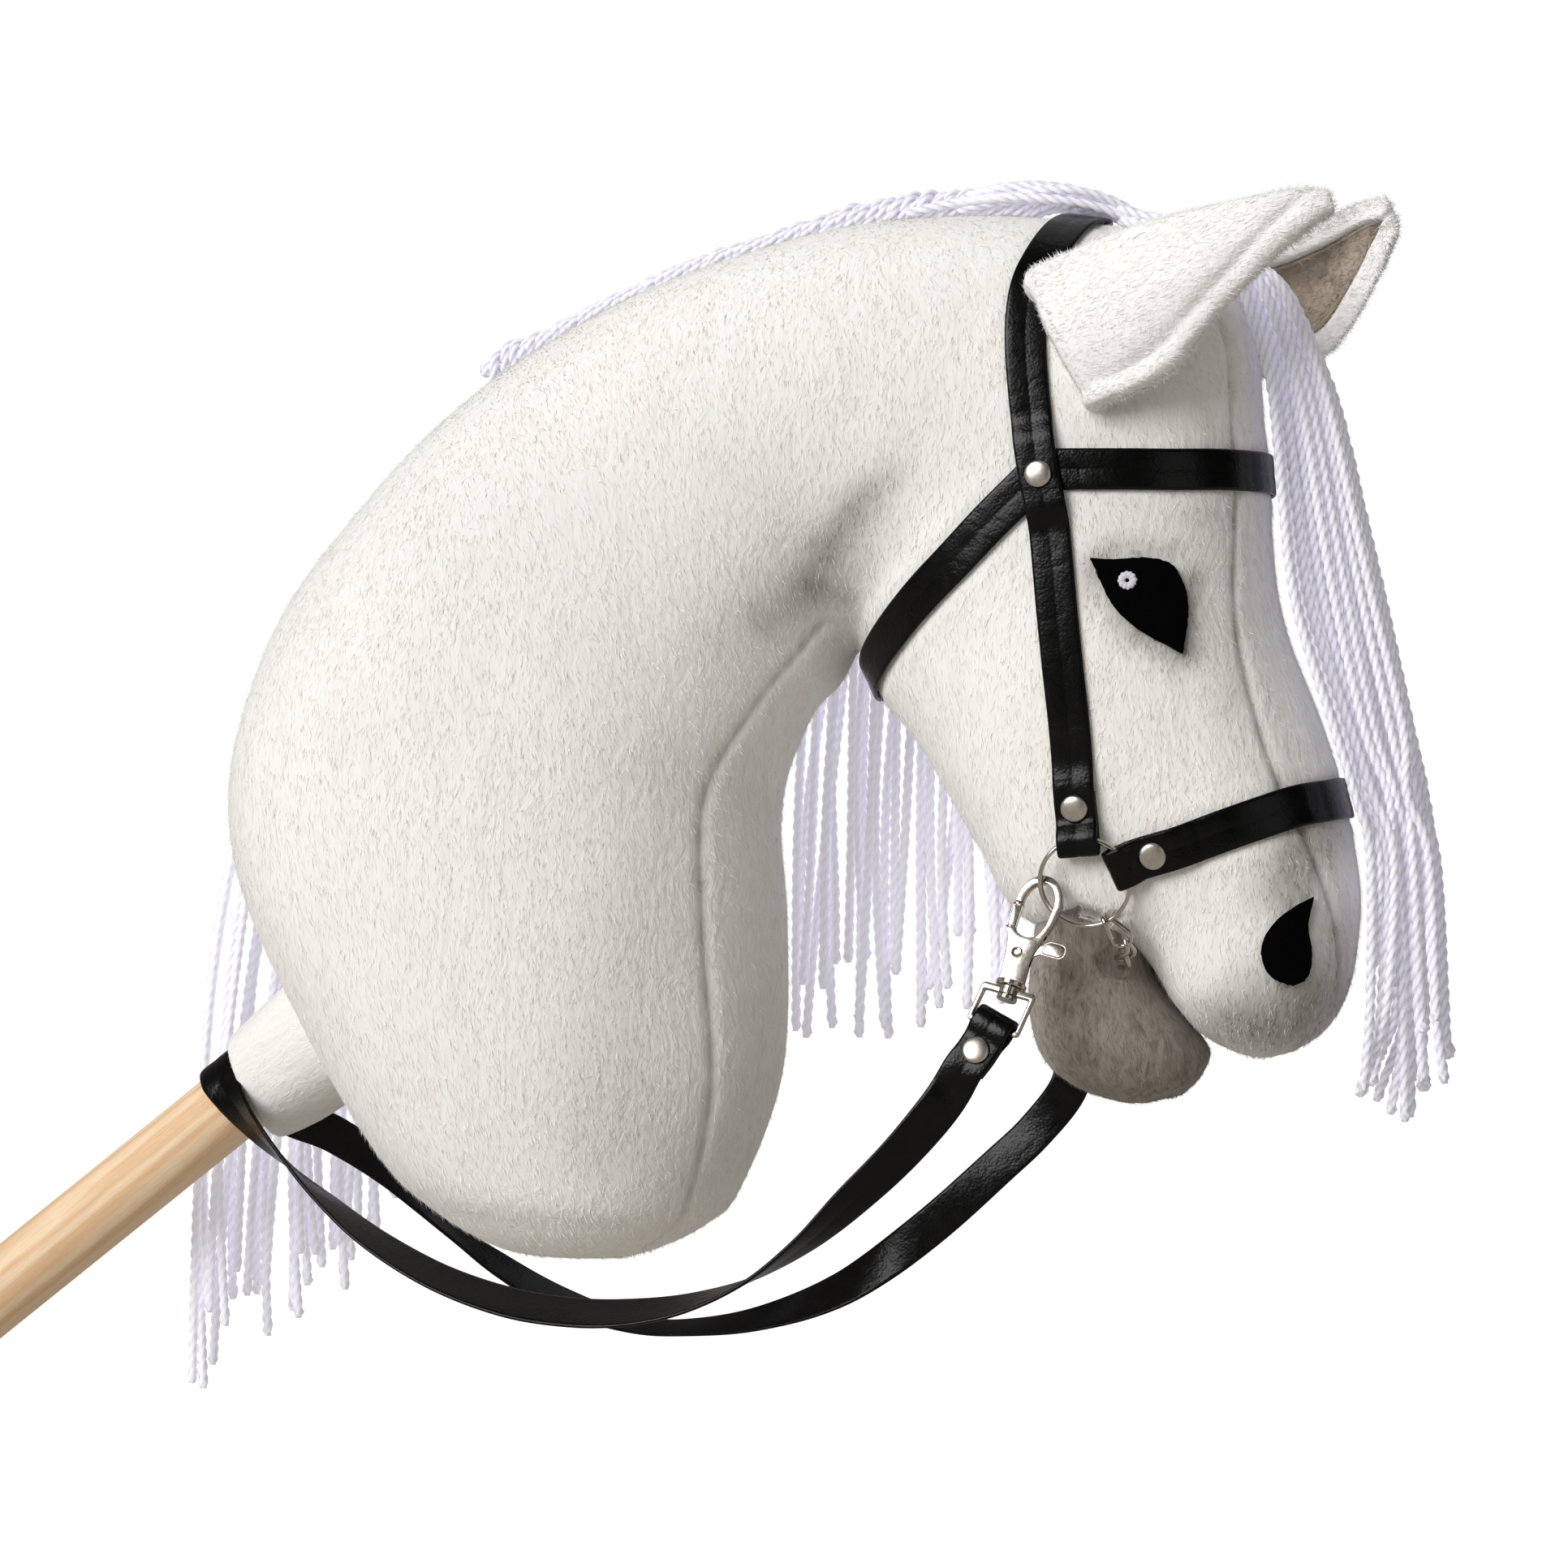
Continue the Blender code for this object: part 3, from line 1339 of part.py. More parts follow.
for side_name, side in sides:
    grid = ear_grid(side)
    half_ear = ear_thickness / 2
    ear = slab("ear_" + side_name, layer(*grid, half_ear), layer(*grid, -half_ear), white_plush)
    near_face = -half_ear - touch_gap
    far_face = near_face - ear_lining_thickness
    near_layer = layer(*grid, near_face, 1)
    lining = slab("ear_lining_" + side_name, near_layer, layer(*grid, far_face, 1), taupe_plush)
    for piece in (ear, lining):
        cut(piece, body_cutter)


# Felt eyes and nostrils
def felt(name, outline, side, lift, thickness, paint):
    """A flat piece laid on the side of the head, from its outline in x and z."""
    count = len(outline)
    middle = (sum(x for x, _ in outline) / count, sum(z for _, z in outline) / count)
    spots = []
    for share in felt_rings:
        for x, z in outline:
            spots.append((middle[0] + (x - middle[0]) * share, middle[1] + (z - middle[1]) * share))
    spots.append(middle)
    under = []
    over = []
    for x, z in spots:
        hit, normal = skin_from_side(x, z, side)
        under.append(hit + normal * lift)
        over.append(hit + normal * (lift + thickness))
    total = len(spots)
    centre = total - 1
    faces = []
    for ring in range(len(felt_rings)):
        for k in range(count):
            a = ring * count + k
            b = ring * count + (k + 1) % count
            inmost = ring == len(felt_rings) - 1
            faces.append((a, b, centre) if inmost else (a, b, b + count, a + count))
    faces += [tuple(total + k for k in reversed(face)) for face in faces]
    faces += [(k, (k + 1) % count, total + (k + 1) % count, total + k) for k in range(count)]
    return add_object(name, under + over, faces, paint)


last_turn = 360 - 360 / highlight_sides
highlight_outline = arc(eye_highlight_centre, (eye_highlight_radius,) * 2, 0, last_turn, highlight_sides - 1)
highlight_lift = felt_lift + felt_thickness + touch_gap
for side_name, side in sides:
    felt("eye_" + side_name, eye_outline, side, felt_lift, felt_thickness, black_felt)
    felt("nostril_" + side_name, nostril_outline, side, felt_lift, felt_thickness, black_felt)
    highlight = "eye_highlight_" + side_name
    felt(highlight, highlight_outline, side, highlight_lift, highlight_thickness, white_yarn)


# Yarn
def skin_from_above(x, y):
    hit, _, face, _ = skin_tree.ray_cast(place(x, y, far_away), Vector((0, 0, -1)))
    return hit, skin_normal(hit, face)


def knots():
    first, last = knot_span
    middle, normal = crown_seat(crown_length)
    top = middle + normal * strap_thickness / 2
    strap_rise = (top - skin_from_above((top.x - sleeve_mouth.x) / mm, 0)[0]).z + touch_gap
    count = round((last - first) * mm / knot_step)
    points = []
    for n in range(count + 1):
        x = first + (last - first) * n / count
        hit, normal = skin_from_above(x, 0)
        over_strap = strap_rise * blend(*knot_rise_span, x)
        points.append(hit + normal * (knot_diameter / 2 + yarn_gap + over_strap))
    curve = bpy.data.curves.new("mane_knots", "CURVE")
    curve.dimensions = "3D"
    line = curve.splines.new("POLY")
    line.points.add(count)
    for spot, point in zip(line.points, points):
        spot.co = (*point, 1)
    curve.bevel_depth = knot_diameter / 2
    curve.bevel_resolution = 2
    curve.use_fill_caps = True
    curve.materials.append(white_yarn)
    parts.objects.link(bpy.data.objects.new("mane_knots", curve))


def mane_column(share):
    """Points and outward ways of one line of the mane, from the crest to its end."""
    top_x = mane_top[0] + (mane_top[1] - mane_top[0]) * share
    points = []
    ways = []
    for y in mane_shoulder:
        hit, normal = skin_from_above(top_x, y)
        points.append(hit + normal * mane_gap)
        ways.append(normal)
    top = (points[-1] - sleeve_mouth) / mm
    end_x, end_z = mane_end(share)
    bend_x = end_x + mane_bend_x * (1 - share)
    bend_z = mane_bend_z[0] + (mane_bend_z[1] - mane_bend_z[0]) * share
    reach = points[-1].y
    for n in range(1, mane_rows + 1):
        t = n / mane_rows
        x = top.x * (1 - t) ** 2 + bend_x * 2 * t * (1 - t) + end_x * t * t
        z = top.z * (1 - t) ** 2 + bend_z * 2 * t * (1 - t) + end_z * t * t
        hit, _ = skin_from_side(x, z, 1)
        if hit:
            reach = max(reach, hit.y + mane_gap)
        points.append(Vector((*place(x, 0, z).xz, reach)).xzy)
        ways.append(ways[-1].lerp(Vector((0, 1, 0)), min(1, mane_turn * t)).normalized())
    return points, ways


def mane_end(share):
    for (low, x0, z0), (high, x1, z1) in zip(mane_ends, mane_ends[1:]):
        if share <= high:
            part = (share - low) / (high - low)
            return x0 + (x1 - x0) * part, z0 + (z1 - z0) * part
    return mane_ends[-1][1:]


def mane():
    columns = [mane_column(n / mane_columns) for n in range(mane_columns + 1)]
    inner = [points for points, _ in columns]
    outer = [[p + w * mane_thickness for p, w in zip(points, ways)] for points, ways in columns]
    slab("mane", outer, inner, white_yarn)


def forelock():
    verts = []
    for z, inner_x, outer_x, half in forelock_sections:
        if z > forelock_seated:
            hit, _, _, _ = skin_tree.ray_cast(place(far_away, 0, z), Vector((-1, 0, 0)))
            lift = strap_lift + strap_thickness + yarn_gap
            inner_x = (hit - sleeve_mouth).x / mm + lift / mm if hit else inner_x
        middle = (inner_x + outer_x) / 2
        for k in range(forelock_sides):
            turn = 2 * pi * k / forelock_sides
            x = middle + (outer_x - inner_x) / 2 * power(cos(turn), 2 / forelock_round)
            verts.append(place(x, half * power(sin(turn), 2 / forelock_round), z))
    faces = []
    rows = len(forelock_sections)
    for i in range(rows - 1):
        for k in range(forelock_sides):
            a = i * forelock_sides + k
            b = i * forelock_sides + (k + 1) % forelock_sides
            faces.append((a, b, b + forelock_sides, a + forelock_sides))
    faces.append(tuple(range(forelock_sides)))
    faces.append(tuple(reversed(range((rows - 1) * forelock_sides, rows * forelock_sides))))
    add_object("forelock", verts, faces, white_yarn)


knots()
mane()
forelock()


# Joint axes
def pin_to(name, frame, things):
    """Parents pieces to an empty on the axis they move about or along."""
    axis = bpy.data.objects.new(name, None)
    parts.objects.link(axis)
    axis.matrix_world = frame
    for thing in things:
        thing.parent = axis
        thing.matrix_parent_inverse = frame.inverted()
    return axis


carried = [thing for thing in parts.objects if thing is not stick]
pinned_axes = [pin_to(*entry) for entry in pinned]
held = {thing for _, _, things in pinned for thing in things}
pin_to("head_slide", along_stick(0), [thing for thing in carried if thing not in held] + pinned_axes)
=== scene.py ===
# Hobby horse: plush head on a pine stick, strap bridle, clip-on rein and yarn mane.
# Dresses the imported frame. Metres, +X the way the horse faces, +Y its left side, +Z up.
import math
import random

import bmesh
import bpy
import numpy as np
from mathutils import Matrix, Vector, noise
from mathutils.bvhtree import BVHTree


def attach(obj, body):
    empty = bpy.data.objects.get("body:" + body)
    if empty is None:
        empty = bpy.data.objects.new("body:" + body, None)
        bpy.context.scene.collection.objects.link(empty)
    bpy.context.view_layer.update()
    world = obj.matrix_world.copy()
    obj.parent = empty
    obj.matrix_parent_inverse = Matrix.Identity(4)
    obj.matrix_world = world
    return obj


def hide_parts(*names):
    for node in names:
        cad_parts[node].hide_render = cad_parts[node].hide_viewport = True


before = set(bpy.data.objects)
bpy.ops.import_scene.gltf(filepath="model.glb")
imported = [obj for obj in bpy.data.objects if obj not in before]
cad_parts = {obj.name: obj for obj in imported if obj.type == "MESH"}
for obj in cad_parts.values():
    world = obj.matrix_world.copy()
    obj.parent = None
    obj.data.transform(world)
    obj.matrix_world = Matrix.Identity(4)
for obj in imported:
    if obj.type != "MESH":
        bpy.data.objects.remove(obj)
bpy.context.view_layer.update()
random.seed(7)

mm = 0.001
stickSlope = math.radians(38)
stickWay = Vector((math.cos(stickSlope), 0, math.sin(stickSlope)))
sleeveMouth = stickWay * 0.380
sides = (("right", -1), ("left", 1))


def place(x, y, z):
    return sleeveMouth + Vector((x, y, z)) * mm  # millimetres from the mouth of the sleeve


def inMillimetres(points):
    return (points - np.array(sleeveMouth)) / mm  # place, turned back


def addObject(name, data):
    made = bpy.data.objects.new(name, data)
    bpy.context.scene.collection.objects.link(made)
    return made


# camera
view = {"target": (0.4773, 0, 0.3324), "azimuth": 12.5, "distance": 1.41, "lens": 100}


def addCamera():
    turn = math.radians(view["azimuth"])
    back = Vector((math.sin(turn), -math.cos(turn), 0))
    data = bpy.data.cameras.new("camera")
    data.lens = view["lens"]
    data.sensor_width = 36
    data.clip_end = 50
    cam = addObject("camera", data)
    cam.location = Vector(view["target"]) + back * view["distance"]
    cam.rotation_euler = (-back).to_track_quat("-Z", "Y").to_euler()
    bpy.context.scene.camera = cam
    print("camera set")


addCamera()


# materials
def linear(code):
    # sRGB hex to linear colour
    out = []
    for k in (1, 3, 5):
        value = int(code[k:k + 2], 16) / 255
        out.append(value / 12.92 if value <= 0.04045 else ((value + 0.055) / 1.055) ** 2.4)
    return (*out, 1)


def grey(value):
    return (value, value, value, 1)  # a share that multiplies another colour


def scaleOf(size):
    return 1000 / size  # coordinates are in metres, a pattern's size is in millimetres


def setInputs(tree, node, inputs):
    # a plain value is set on its socket, a node with the name of its output is linked to it
    for key, value in inputs.items():
        if isinstance(value, tuple) and isinstance(value[0], bpy.types.Node):
            tree.links.new(value[0].outputs[value[1]], node.inputs[key])
        else:
            node.inputs[key].default_value = value


def addNode(tree, kind, settings=None, inputs=None, stops=()):
    # stops are the places and colours of a colour ramp
    made = tree.nodes.new("ShaderNode" + kind)
    for key, value in (settings or {}).items():
        setattr(made, key, value)
    setInputs(tree, made, inputs or {})
    while stops and len(made.color_ramp.elements) < len(stops):
        made.color_ramp.elements.new(0.5)
    for n, (spot, colour) in enumerate(stops):
        made.color_ramp.elements[n].position = spot
        made.color_ramp.elements[n].color = colour
    return made


def newMaterial(name, sockets):
    made = bpy.data.materials.new(name)
    made.use_nodes = True
    shader = made.node_tree.nodes["Principled BSDF"]
    setInputs(made.node_tree, shader, sockets)
    return made, made.node_tree, shader


mixed = {"data_type": "RGBA"}
multiplied = {"data_type": "RGBA", "blend_type": "MULTIPLY"}
warped = {"data_type": "RGBA", "blend_type": "LINEAR_LIGHT"}

plush = {
    # the hollow colours, darker where the pile's height is low between tufts, are painted shade
    "white": "#FDFCF9", "hollow": "#F6F2EC",  # on the tufts and between them
    # painted light: the ears' whites are a lighter copy of the body's, so that the ears read as brightly lit
    "earWhite": "#FFFEFD", "earHollow": "#FCFAF7",
    "jaw": "#9A9187", "jawHollow": "#6B6259",
    "lining": "#BBAD9C", "liningHollow": "#85796C",
    # grey and deepGrey colour both the sprayed grey and the painted shade
    "grey": "#6E6459", "deepGrey": "#4C443C",  # airbrushed shading
    "jawPale": "#B3ABA0", "jawGrey": "#8D8478",
    "tuft": 2.4, "clump": 11.1, "sway": 26.3, "blotch": 91,  # mm, a tuft drawn three times its width
    "lean": 3.4,  # how much longer a tuft lies than it is wide
    "combed": 24,  # degrees off the upright
    "pile": 1.1,  # mm
    "fibreWidth": 0.36,  # mm, about ten times the real fibre, so that the pile shows
    "fibreRaise": (16, 7), "fibreSway": 22, "fibreTilt": 9,  # degrees, the mean and how they stray
    "fibreLength": (0.65, 1.3), "fibreTone": (0.3, 1), "fibreShade": (0.35, 1.5), "fibreSunk": 0.1,
}


def plushMaterial(name, pale, hollow, dark, darkest, deep=0.9):
    # polyester velboa: brushed short pile that lies in small combed tufts, dull with a soft sheen
    made, tree, shader = newMaterial(
        name, {"Roughness": 0.92, "Sheen Weight": 0.22, "Sheen Roughness": 0.45})
    coords = (addNode(tree, "TexCoord"), "Object")
    sway = addNode(tree, "TexNoise", None,
                   {"Vector": coords, "Scale": scaleOf(plush["sway"]), "Detail": 2})
    bent = addNode(tree, "Mix", warped, {0: 0.008, 6: coords, 7: (sway, "Color")})
    combed = addNode(tree, "Mapping", None,
                     {"Vector": (bent, 2), "Rotation": (0, math.radians(plush["combed"]), 0),
                      "Scale": (1, 1, 1 / plush["lean"])})
    tufts = addNode(tree, "TexNoise", None,
                    {"Vector": (combed, "Vector"), "Scale": scaleOf(plush["tuft"]), "Detail": 3,
                     "Roughness": 0.62, "Distortion": 0.2})
    clumps = addNode(tree, "TexNoise", None,
                     {"Vector": (combed, "Vector"), "Scale": scaleOf(plush["clump"]), "Detail": 3,
                      "Roughness": 0.55, "Distortion": 0.3})
    blotch = addNode(tree, "TexNoise", None,
                     {"Vector": coords, "Scale": scaleOf(plush["blotch"]), "Detail": 3})
    height = addNode(tree, "Math", {"operation": "MULTIPLY_ADD"},
                     {0: (clumps, "Fac"), 1: 0.6, 2: (tufts, "Fac")})
    # painted shade: the colour between the tufts is darker, in the hollows of the pile
    colour = addNode(tree, "ValToRGB", None, {"Fac": (height, 0)},
                     ((0.50, linear(hollow)), (0.86, linear(pale))))
    wash = addNode(tree, "ValToRGB", None, {"Fac": (blotch, "Fac")},
                   ((0.35, grey(0.955)), (0.62, grey(1))))
    washed = addNode(tree, "Mix", multiplied, {0: 1.0, 6: (colour, "Color"), 7: (wash, "Color")})
    # fibres differ in tone, and the cloth under them lies in their shade
    tone = addNode(tree, "Attribute", {"attribute_name": "tone"})
    tones = addNode(tree, "ValToRGB", None, {"Fac": (tone, "Fac")},
                    ((0, grey(0.5 + deep / 2)), (0.3, grey(deep)), (0.9, grey(1))))
    toned = addNode(tree, "Mix", multiplied, {0: 1.0, 6: (washed, 2), 7: (tones, "Color")})
    # the sprayed grey and the painted shade take more on some clumps than on others
    shade = addNode(tree, "Attribute", {"attribute_name": "dyeAndShade"})
    loose = addNode(tree, "Math", {"operation": "MULTIPLY_ADD"}, {0: (clumps, "Fac"), 1: 0.9, 2: 0.55})
    amount = addNode(tree, "Math", {"operation": "MULTIPLY", "use_clamp": True},
                     {0: (shade, "Fac"), 1: (loose, 0)})
    # painted shade: the grey goes darker in the hollows of the pile
    greys = addNode(tree, "ValToRGB", None, {"Fac": (height, 0)},
                    ((0.45, linear(darkest)), (0.95, linear(dark))))
    final = addNode(tree, "Mix", mixed, {0: (amount, 0), 6: (toned, 2), 7: (greys, "Color")})
    bump = addNode(tree, "Bump", None,
                   {"Height": (height, 0), "Strength": 0.55, "Distance": plush["pile"] * mm})
    setInputs(tree, shader, {"Base Color": (final, 2), "Normal": (bump, 0)})
    return made


# the grain is drawn three times its real size, so that it shows
leather = {"black": "#020202", "worn": "#070707", "grain": 0.9, "crease": 9.52, "gloss": (0.14, 0.34)}


def leatherMaterial():
    # PU faux leather: smooth coated cloth, half gloss, fine pebble grain, long creases where it bends
    made, tree, shader = newMaterial("faux leather, PU coated", {"Specular IOR Level": 0.21})
    coords = (addNode(tree, "TexCoord"), "Object")
    pebbles = addNode(tree, "TexVoronoi", {"feature": "SMOOTH_F1"},
                      {"Vector": coords, "Scale": scaleOf(leather["grain"]), "Smoothness": 0.6})
    creases = addNode(tree, "TexNoise", None,
                      {"Vector": coords, "Scale": scaleOf(leather["crease"]), "Detail": 4,
                       "Roughness": 0.55, "Distortion": 1.5})
    colour = addNode(tree, "ValToRGB", None, {"Fac": (creases, "Fac")},
                     ((0.38, linear(leather["black"])), (0.72, linear(leather["worn"]))))
    low, high = leather["gloss"]
    gloss = addNode(tree, "MapRange", None, {"Value": (creases, "Fac"), "To Min": low, "To Max": high})
    folds = addNode(tree, "Bump", None,
                    {"Height": (creases, "Fac"), "Strength": 0.22, "Distance": 0.0009})
    grain = addNode(tree, "Bump", None,
                    {"Height": (pebbles, "Distance"), "Strength": 0.16, "Distance": 0.0003,
                     "Normal": (folds, 0)})
    setInputs(tree, shader, {"Base Color": (colour, 0), "Roughness": (gloss, 0), "Normal": (grain, 0)})
    return made


metal = {"nickel": "#CFC8C0", "dull": "#B9B1A8", "polished": 0.17, "satin": 0.3, "mark": 2.38}


def nickelMaterial(name, roughness):
    # nickel plated zinc: bright, faintly warm, with soft polishing marks
    made, tree, shader = newMaterial(name, {"Metallic": 1.0})
    marks = addNode(tree, "TexNoise", None,
                    {"Vector": (addNode(tree, "TexCoord"), "Object"), "Scale": scaleOf(metal["mark"]),
                     "Detail": 4, "Roughness": 0.6})
    tint = addNode(tree, "ValToRGB", None, {"Fac": (marks, "Fac")},
                   ((0.3, linear(metal["dull"])), (0.7, linear(metal["nickel"]))))
    gloss = addNode(tree, "MapRange", None,
                    {"Value": (marks, "Fac"), "To Min": roughness - 0.05, "To Max": roughness + 0.09})
    bump = addNode(tree, "Bump", None, {"Height": (marks, "Fac"), "Strength": 0.12, "Distance": 0.0002})
    setInputs(tree, shader, {"Base Color": (tint, 0), "Roughness": (gloss, 0), "Normal": (bump, 0)})
    return made


wood = {"early": "#F5D9B6", "late": "#E8C298", "ring": 6.41, "sway": 16.7, "pore": 0.667, "length": 16}


def pineMaterial():
    # pine dowel, sanded and bare: pale honey with darker late wood drawn out along the stick
    made, tree, shader = newMaterial("pine dowel, sanded", {"Roughness": 0.52, "IOR": 1.45})
    drawn = addNode(tree, "Mapping", None,
                    {"Vector": (addNode(tree, "TexCoord"), "Object"), "Scale": (1, 1, 1 / wood["length"])})
    sway = addNode(tree, "TexNoise", None,
                   {"Vector": (drawn, "Vector"), "Scale": scaleOf(wood["sway"]), "Detail": 2})
    moved = addNode(tree, "Mix", warped, {0: 0.012, 6: (drawn, "Vector"), 7: (sway, "Color")})
    # this node's wave comes back every pi / 10 of its coordinate
    rings = addNode(tree, "TexWave", {"wave_type": "BANDS", "bands_direction": "X"},
                    {"Vector": (moved, 2), "Scale": scaleOf(wood["ring"]) * math.pi / 10, "Distortion": 2.2,
                     "Detail": 3, "Detail Scale": 1.2})
    pores = addNode(tree, "TexNoise", None,
                    {"Vector": (drawn, "Vector"), "Scale": scaleOf(wood["pore"]), "Detail": 3,
                     "Roughness": 0.7})
    colour = addNode(tree, "ValToRGB", None, {"Fac": (rings, "Fac")},
                     ((0.15, linear(wood["early"])), (0.9, linear(wood["late"]))))
    fine = addNode(tree, "ValToRGB", None, {"Fac": (pores, "Fac")}, ((0.35, grey(0.86)), (0.6, grey(1))))
    base = addNode(tree, "Mix", multiplied, {0: 0.8, 6: (colour, "Color"), 7: (fine, "Color")})
    bump = addNode(tree, "Bump", None, {"Height": (pores, "Fac"), "Strength": 0.25, "Distance": 0.0002})
    setInputs(tree, shader, {"Base Color": (base, 2), "Normal": (bump, 0)})
    return made


yarn = {
    # the valley colours are painted shade between the plies; the glow tint and strengths are painted light
    "white": "#ECEBF3", "valley": "#BBB9C9", "maneValley": "#D2D0DA", "glowTint": "#E0DEEC",
    "glow": 0.20, "maneGlow": 0.36, "fibre": 0.714,  # mm, drawn far coarser than real, so that it shows
    "radius": 1.75, "plies": 3, "pitch": 13, "step": 1.8, "around": 12, "fray": 6,  # mm
    "depth": 0.22, "frayDepth": 0.14, "frayWide": 0.25, "cutEnd": 0.55,  # shares of the radius
}


def yarnMaterial(name, valley, glow):
    # acrylic yarn: white with a violet cast, soft plies with dark lines between them as painted shade, and a
    # faint violet glow as painted light that lifts the yarn in its shade
    made, tree, shader = newMaterial(
        name, {"Roughness": 0.85, "Sheen Weight": 0.3, "Sheen Roughness": 0.4,
               "Emission Color": linear(yarn["glowTint"]), "Emission Strength": glow})
    depth = addNode(tree, "Attribute", {"attribute_name": "ply"})
    fibres = addNode(tree, "TexNoise", None,
                     {"Vector": (addNode(tree, "TexCoord"), "Object"), "Scale": scaleOf(yarn["fibre"]),
                      "Detail": 2, "Roughness": 0.7})
    # painted shade: darker where the ply attribute marks the grooves between plies
    colour = addNode(tree, "ValToRGB", None, {"Fac": (depth, "Fac")},
                     ((0.05, linear(valley)), (0.6, linear(yarn["white"]))))
    fine = addNode(tree, "ValToRGB", None, {"Fac": (fibres, "Fac")}, ((0.3, grey(0.95)), (0.6, grey(1))))
    base = addNode(tree, "Mix", multiplied, {0: 1.0, 6: (colour, "Color"), 7: (fine, "Color")})
    bump = addNode(tree, "Bump", None,
                   {"Height": (fibres, "Fac"), "Strength": 0.25, "Distance": 0.0003})
    setInputs(tree, shader, {"Base Color": (base, 2), "Normal": (bump, 0)})
    return made


felt = {"black": "#050506", "shade": "#010101", "cotton": "#EEECF6", "cottonShade": "#C9C5DA", "tangle": 1.11}


def feltMaterial(name, pale, dark):
    # needled wool felt or matted cotton: tangled fibres in small clumps, no gloss, a faint fuzz
    made, tree, shader = newMaterial(name, {"Roughness": 0.97, "Specular IOR Level": 0.04})
    tangle = addNode(tree, "TexNoise", None,
                     {"Vector": (addNode(tree, "TexCoord"), "Object"), "Scale": scaleOf(felt["tangle"]),
                      "Detail": 4, "Roughness": 0.7, "Distortion": 1.5})
    colour = addNode(tree, "ValToRGB", None, {"Fac": (tangle, "Fac")},
                     ((0.3, linear(dark)), (0.7, linear(pale))))
    bump = addNode(tree, "Bump", None, {"Height": (tangle, "Fac"), "Strength": 0.6, "Distance": 0.0005})
    setInputs(tree, shader, {"Base Color": (colour, 0), "Normal": (bump, 0)})
    return made


whitePlush = plushMaterial(
    "velboa plush, white", plush["white"], plush["hollow"], plush["grey"], plush["deepGrey"])
jawPlush = plushMaterial(
    "velboa plush, dyed grey", plush["jaw"], plush["jawHollow"], plush["jawPale"], plush["jawGrey"], 0.8)
# painted light: a lighter copy of the white plush for the ears, with less painted shade under its fibres
earPlush = plushMaterial(
    "velboa plush, white, painted lighter", plush["earWhite"], plush["earHollow"], plush["grey"],
    plush["deepGrey"], 0.97)
liningPlush = plushMaterial(
    "velboa plush, taupe lining", plush["lining"], plush["liningHollow"], plush["grey"], plush["deepGrey"])
fauxLeather = leatherMaterial()
nickelPlate = nickelMaterial("nickel plate, polished", metal["polished"])
satinNickel = nickelMaterial("nickel plate, tumbled", metal["satin"])
pineDowel = pineMaterial()
twistedYarn = yarnMaterial("acrylic yarn, twisted", yarn["valley"], yarn["glow"])
# painted light: a brighter copy of the yarn, with paler valleys and more glow, for the mane that hangs in the
# neck's shade
maneYarn = yarnMaterial("acrylic yarn, mane, painted brighter", yarn["maneValley"], yarn["maneGlow"])
blackFelt = feltMaterial("wool felt, black", felt["black"], felt["shade"])
whiteCotton = feltMaterial("embroidery cotton, white", felt["cotton"], felt["cottonShade"])
print("materials made")


# meshes, lines and frames
def addPiece(name, verts, faces, mat, body, replaced=(), marks=None, smooth=True):
    mesh = bpy.data.meshes.new(name)
    mesh.from_pydata([tuple(v) for v in verts], [], faces)
    if smooth:
        mesh.shade_smooth()
    mesh.materials.append(mat)
    for key, values in (marks or {}).items():
        layer = mesh.attributes.new(key, "FLOAT", "POINT")
        layer.data.foreach_set("value", np.asarray(values, dtype=np.float32))
    return settle(addObject(name, mesh), body, replaced)


def settle(made, body, replaced=()):
    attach(made, body)
    if replaced:
        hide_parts(*replaced)
    return made


def tidyMesh(made, distance=2e-5, sharp=None):
    # joins doubled points; faces that meet at more than sharp degrees keep a crisp edge
    bm = bmesh.new()
    bm.from_mesh(made.data)
    bmesh.ops.remove_doubles(bm, verts=bm.verts, dist=distance)
    bmesh.ops.dissolve_degenerate(bm, edges=bm.edges, dist=1e-6)
    bmesh.ops.recalc_face_normals(bm, faces=bm.faces)
    bm.to_mesh(made.data)
    bm.free()
    if sharp:
        made.data.set_sharp_from_angle(angle=math.radians(sharp))


def asMesh(made):
    # a curve or a carved piece with all that changes it, as a plain mesh
    ready = bpy.context.evaluated_depsgraph_get()
    return bpy.data.meshes.new_from_object(made.evaluated_get(ready))


def meshFromCurve(name, curve):
    drawn = addObject(name + ".drawn", curve)
    mesh = asMesh(drawn)
    bpy.data.objects.remove(drawn)
    mesh.shade_smooth()
    return addObject(name, mesh)


def frameOf(x, y, spot):
    # placement whose first two directions are x and y
    made = Matrix((x, y, x.cross(y))).transposed().to_4x4()
    made.translation = spot
    return made


def unit(rows):
    return rows / np.maximum(np.linalg.norm(rows, axis=-1, keepdims=True), 1e-12)


def walkedAlong(points):
    return np.concatenate([[0], np.cumsum(np.linalg.norm(np.diff(points, axis=0), axis=1))])


def turnsOf(steps):
    return [2 * math.pi * k / steps for k in range(steps)]


def spline(rows, spot):
    # Catmull-Rom curve through rows of numbers, read off at row number spot
    low = min(int(spot), len(rows) - 2)
    t = spot - low
    here, after = rows[low], rows[low + 1]
    before = rows[low - 1] if low else [2 * a - b for a, b in zip(here, after)]
    beyond = rows[low + 2] if low + 2 < len(rows) else [2 * b - a for a, b in zip(here, after)]
    return [b + 0.5 * t * (c - a + t * (2 * a - 5 * b + 4 * c - d + t * (3 * (b - c) + d - a)))
            for a, b, c, d in zip(before, here, after, beyond)]


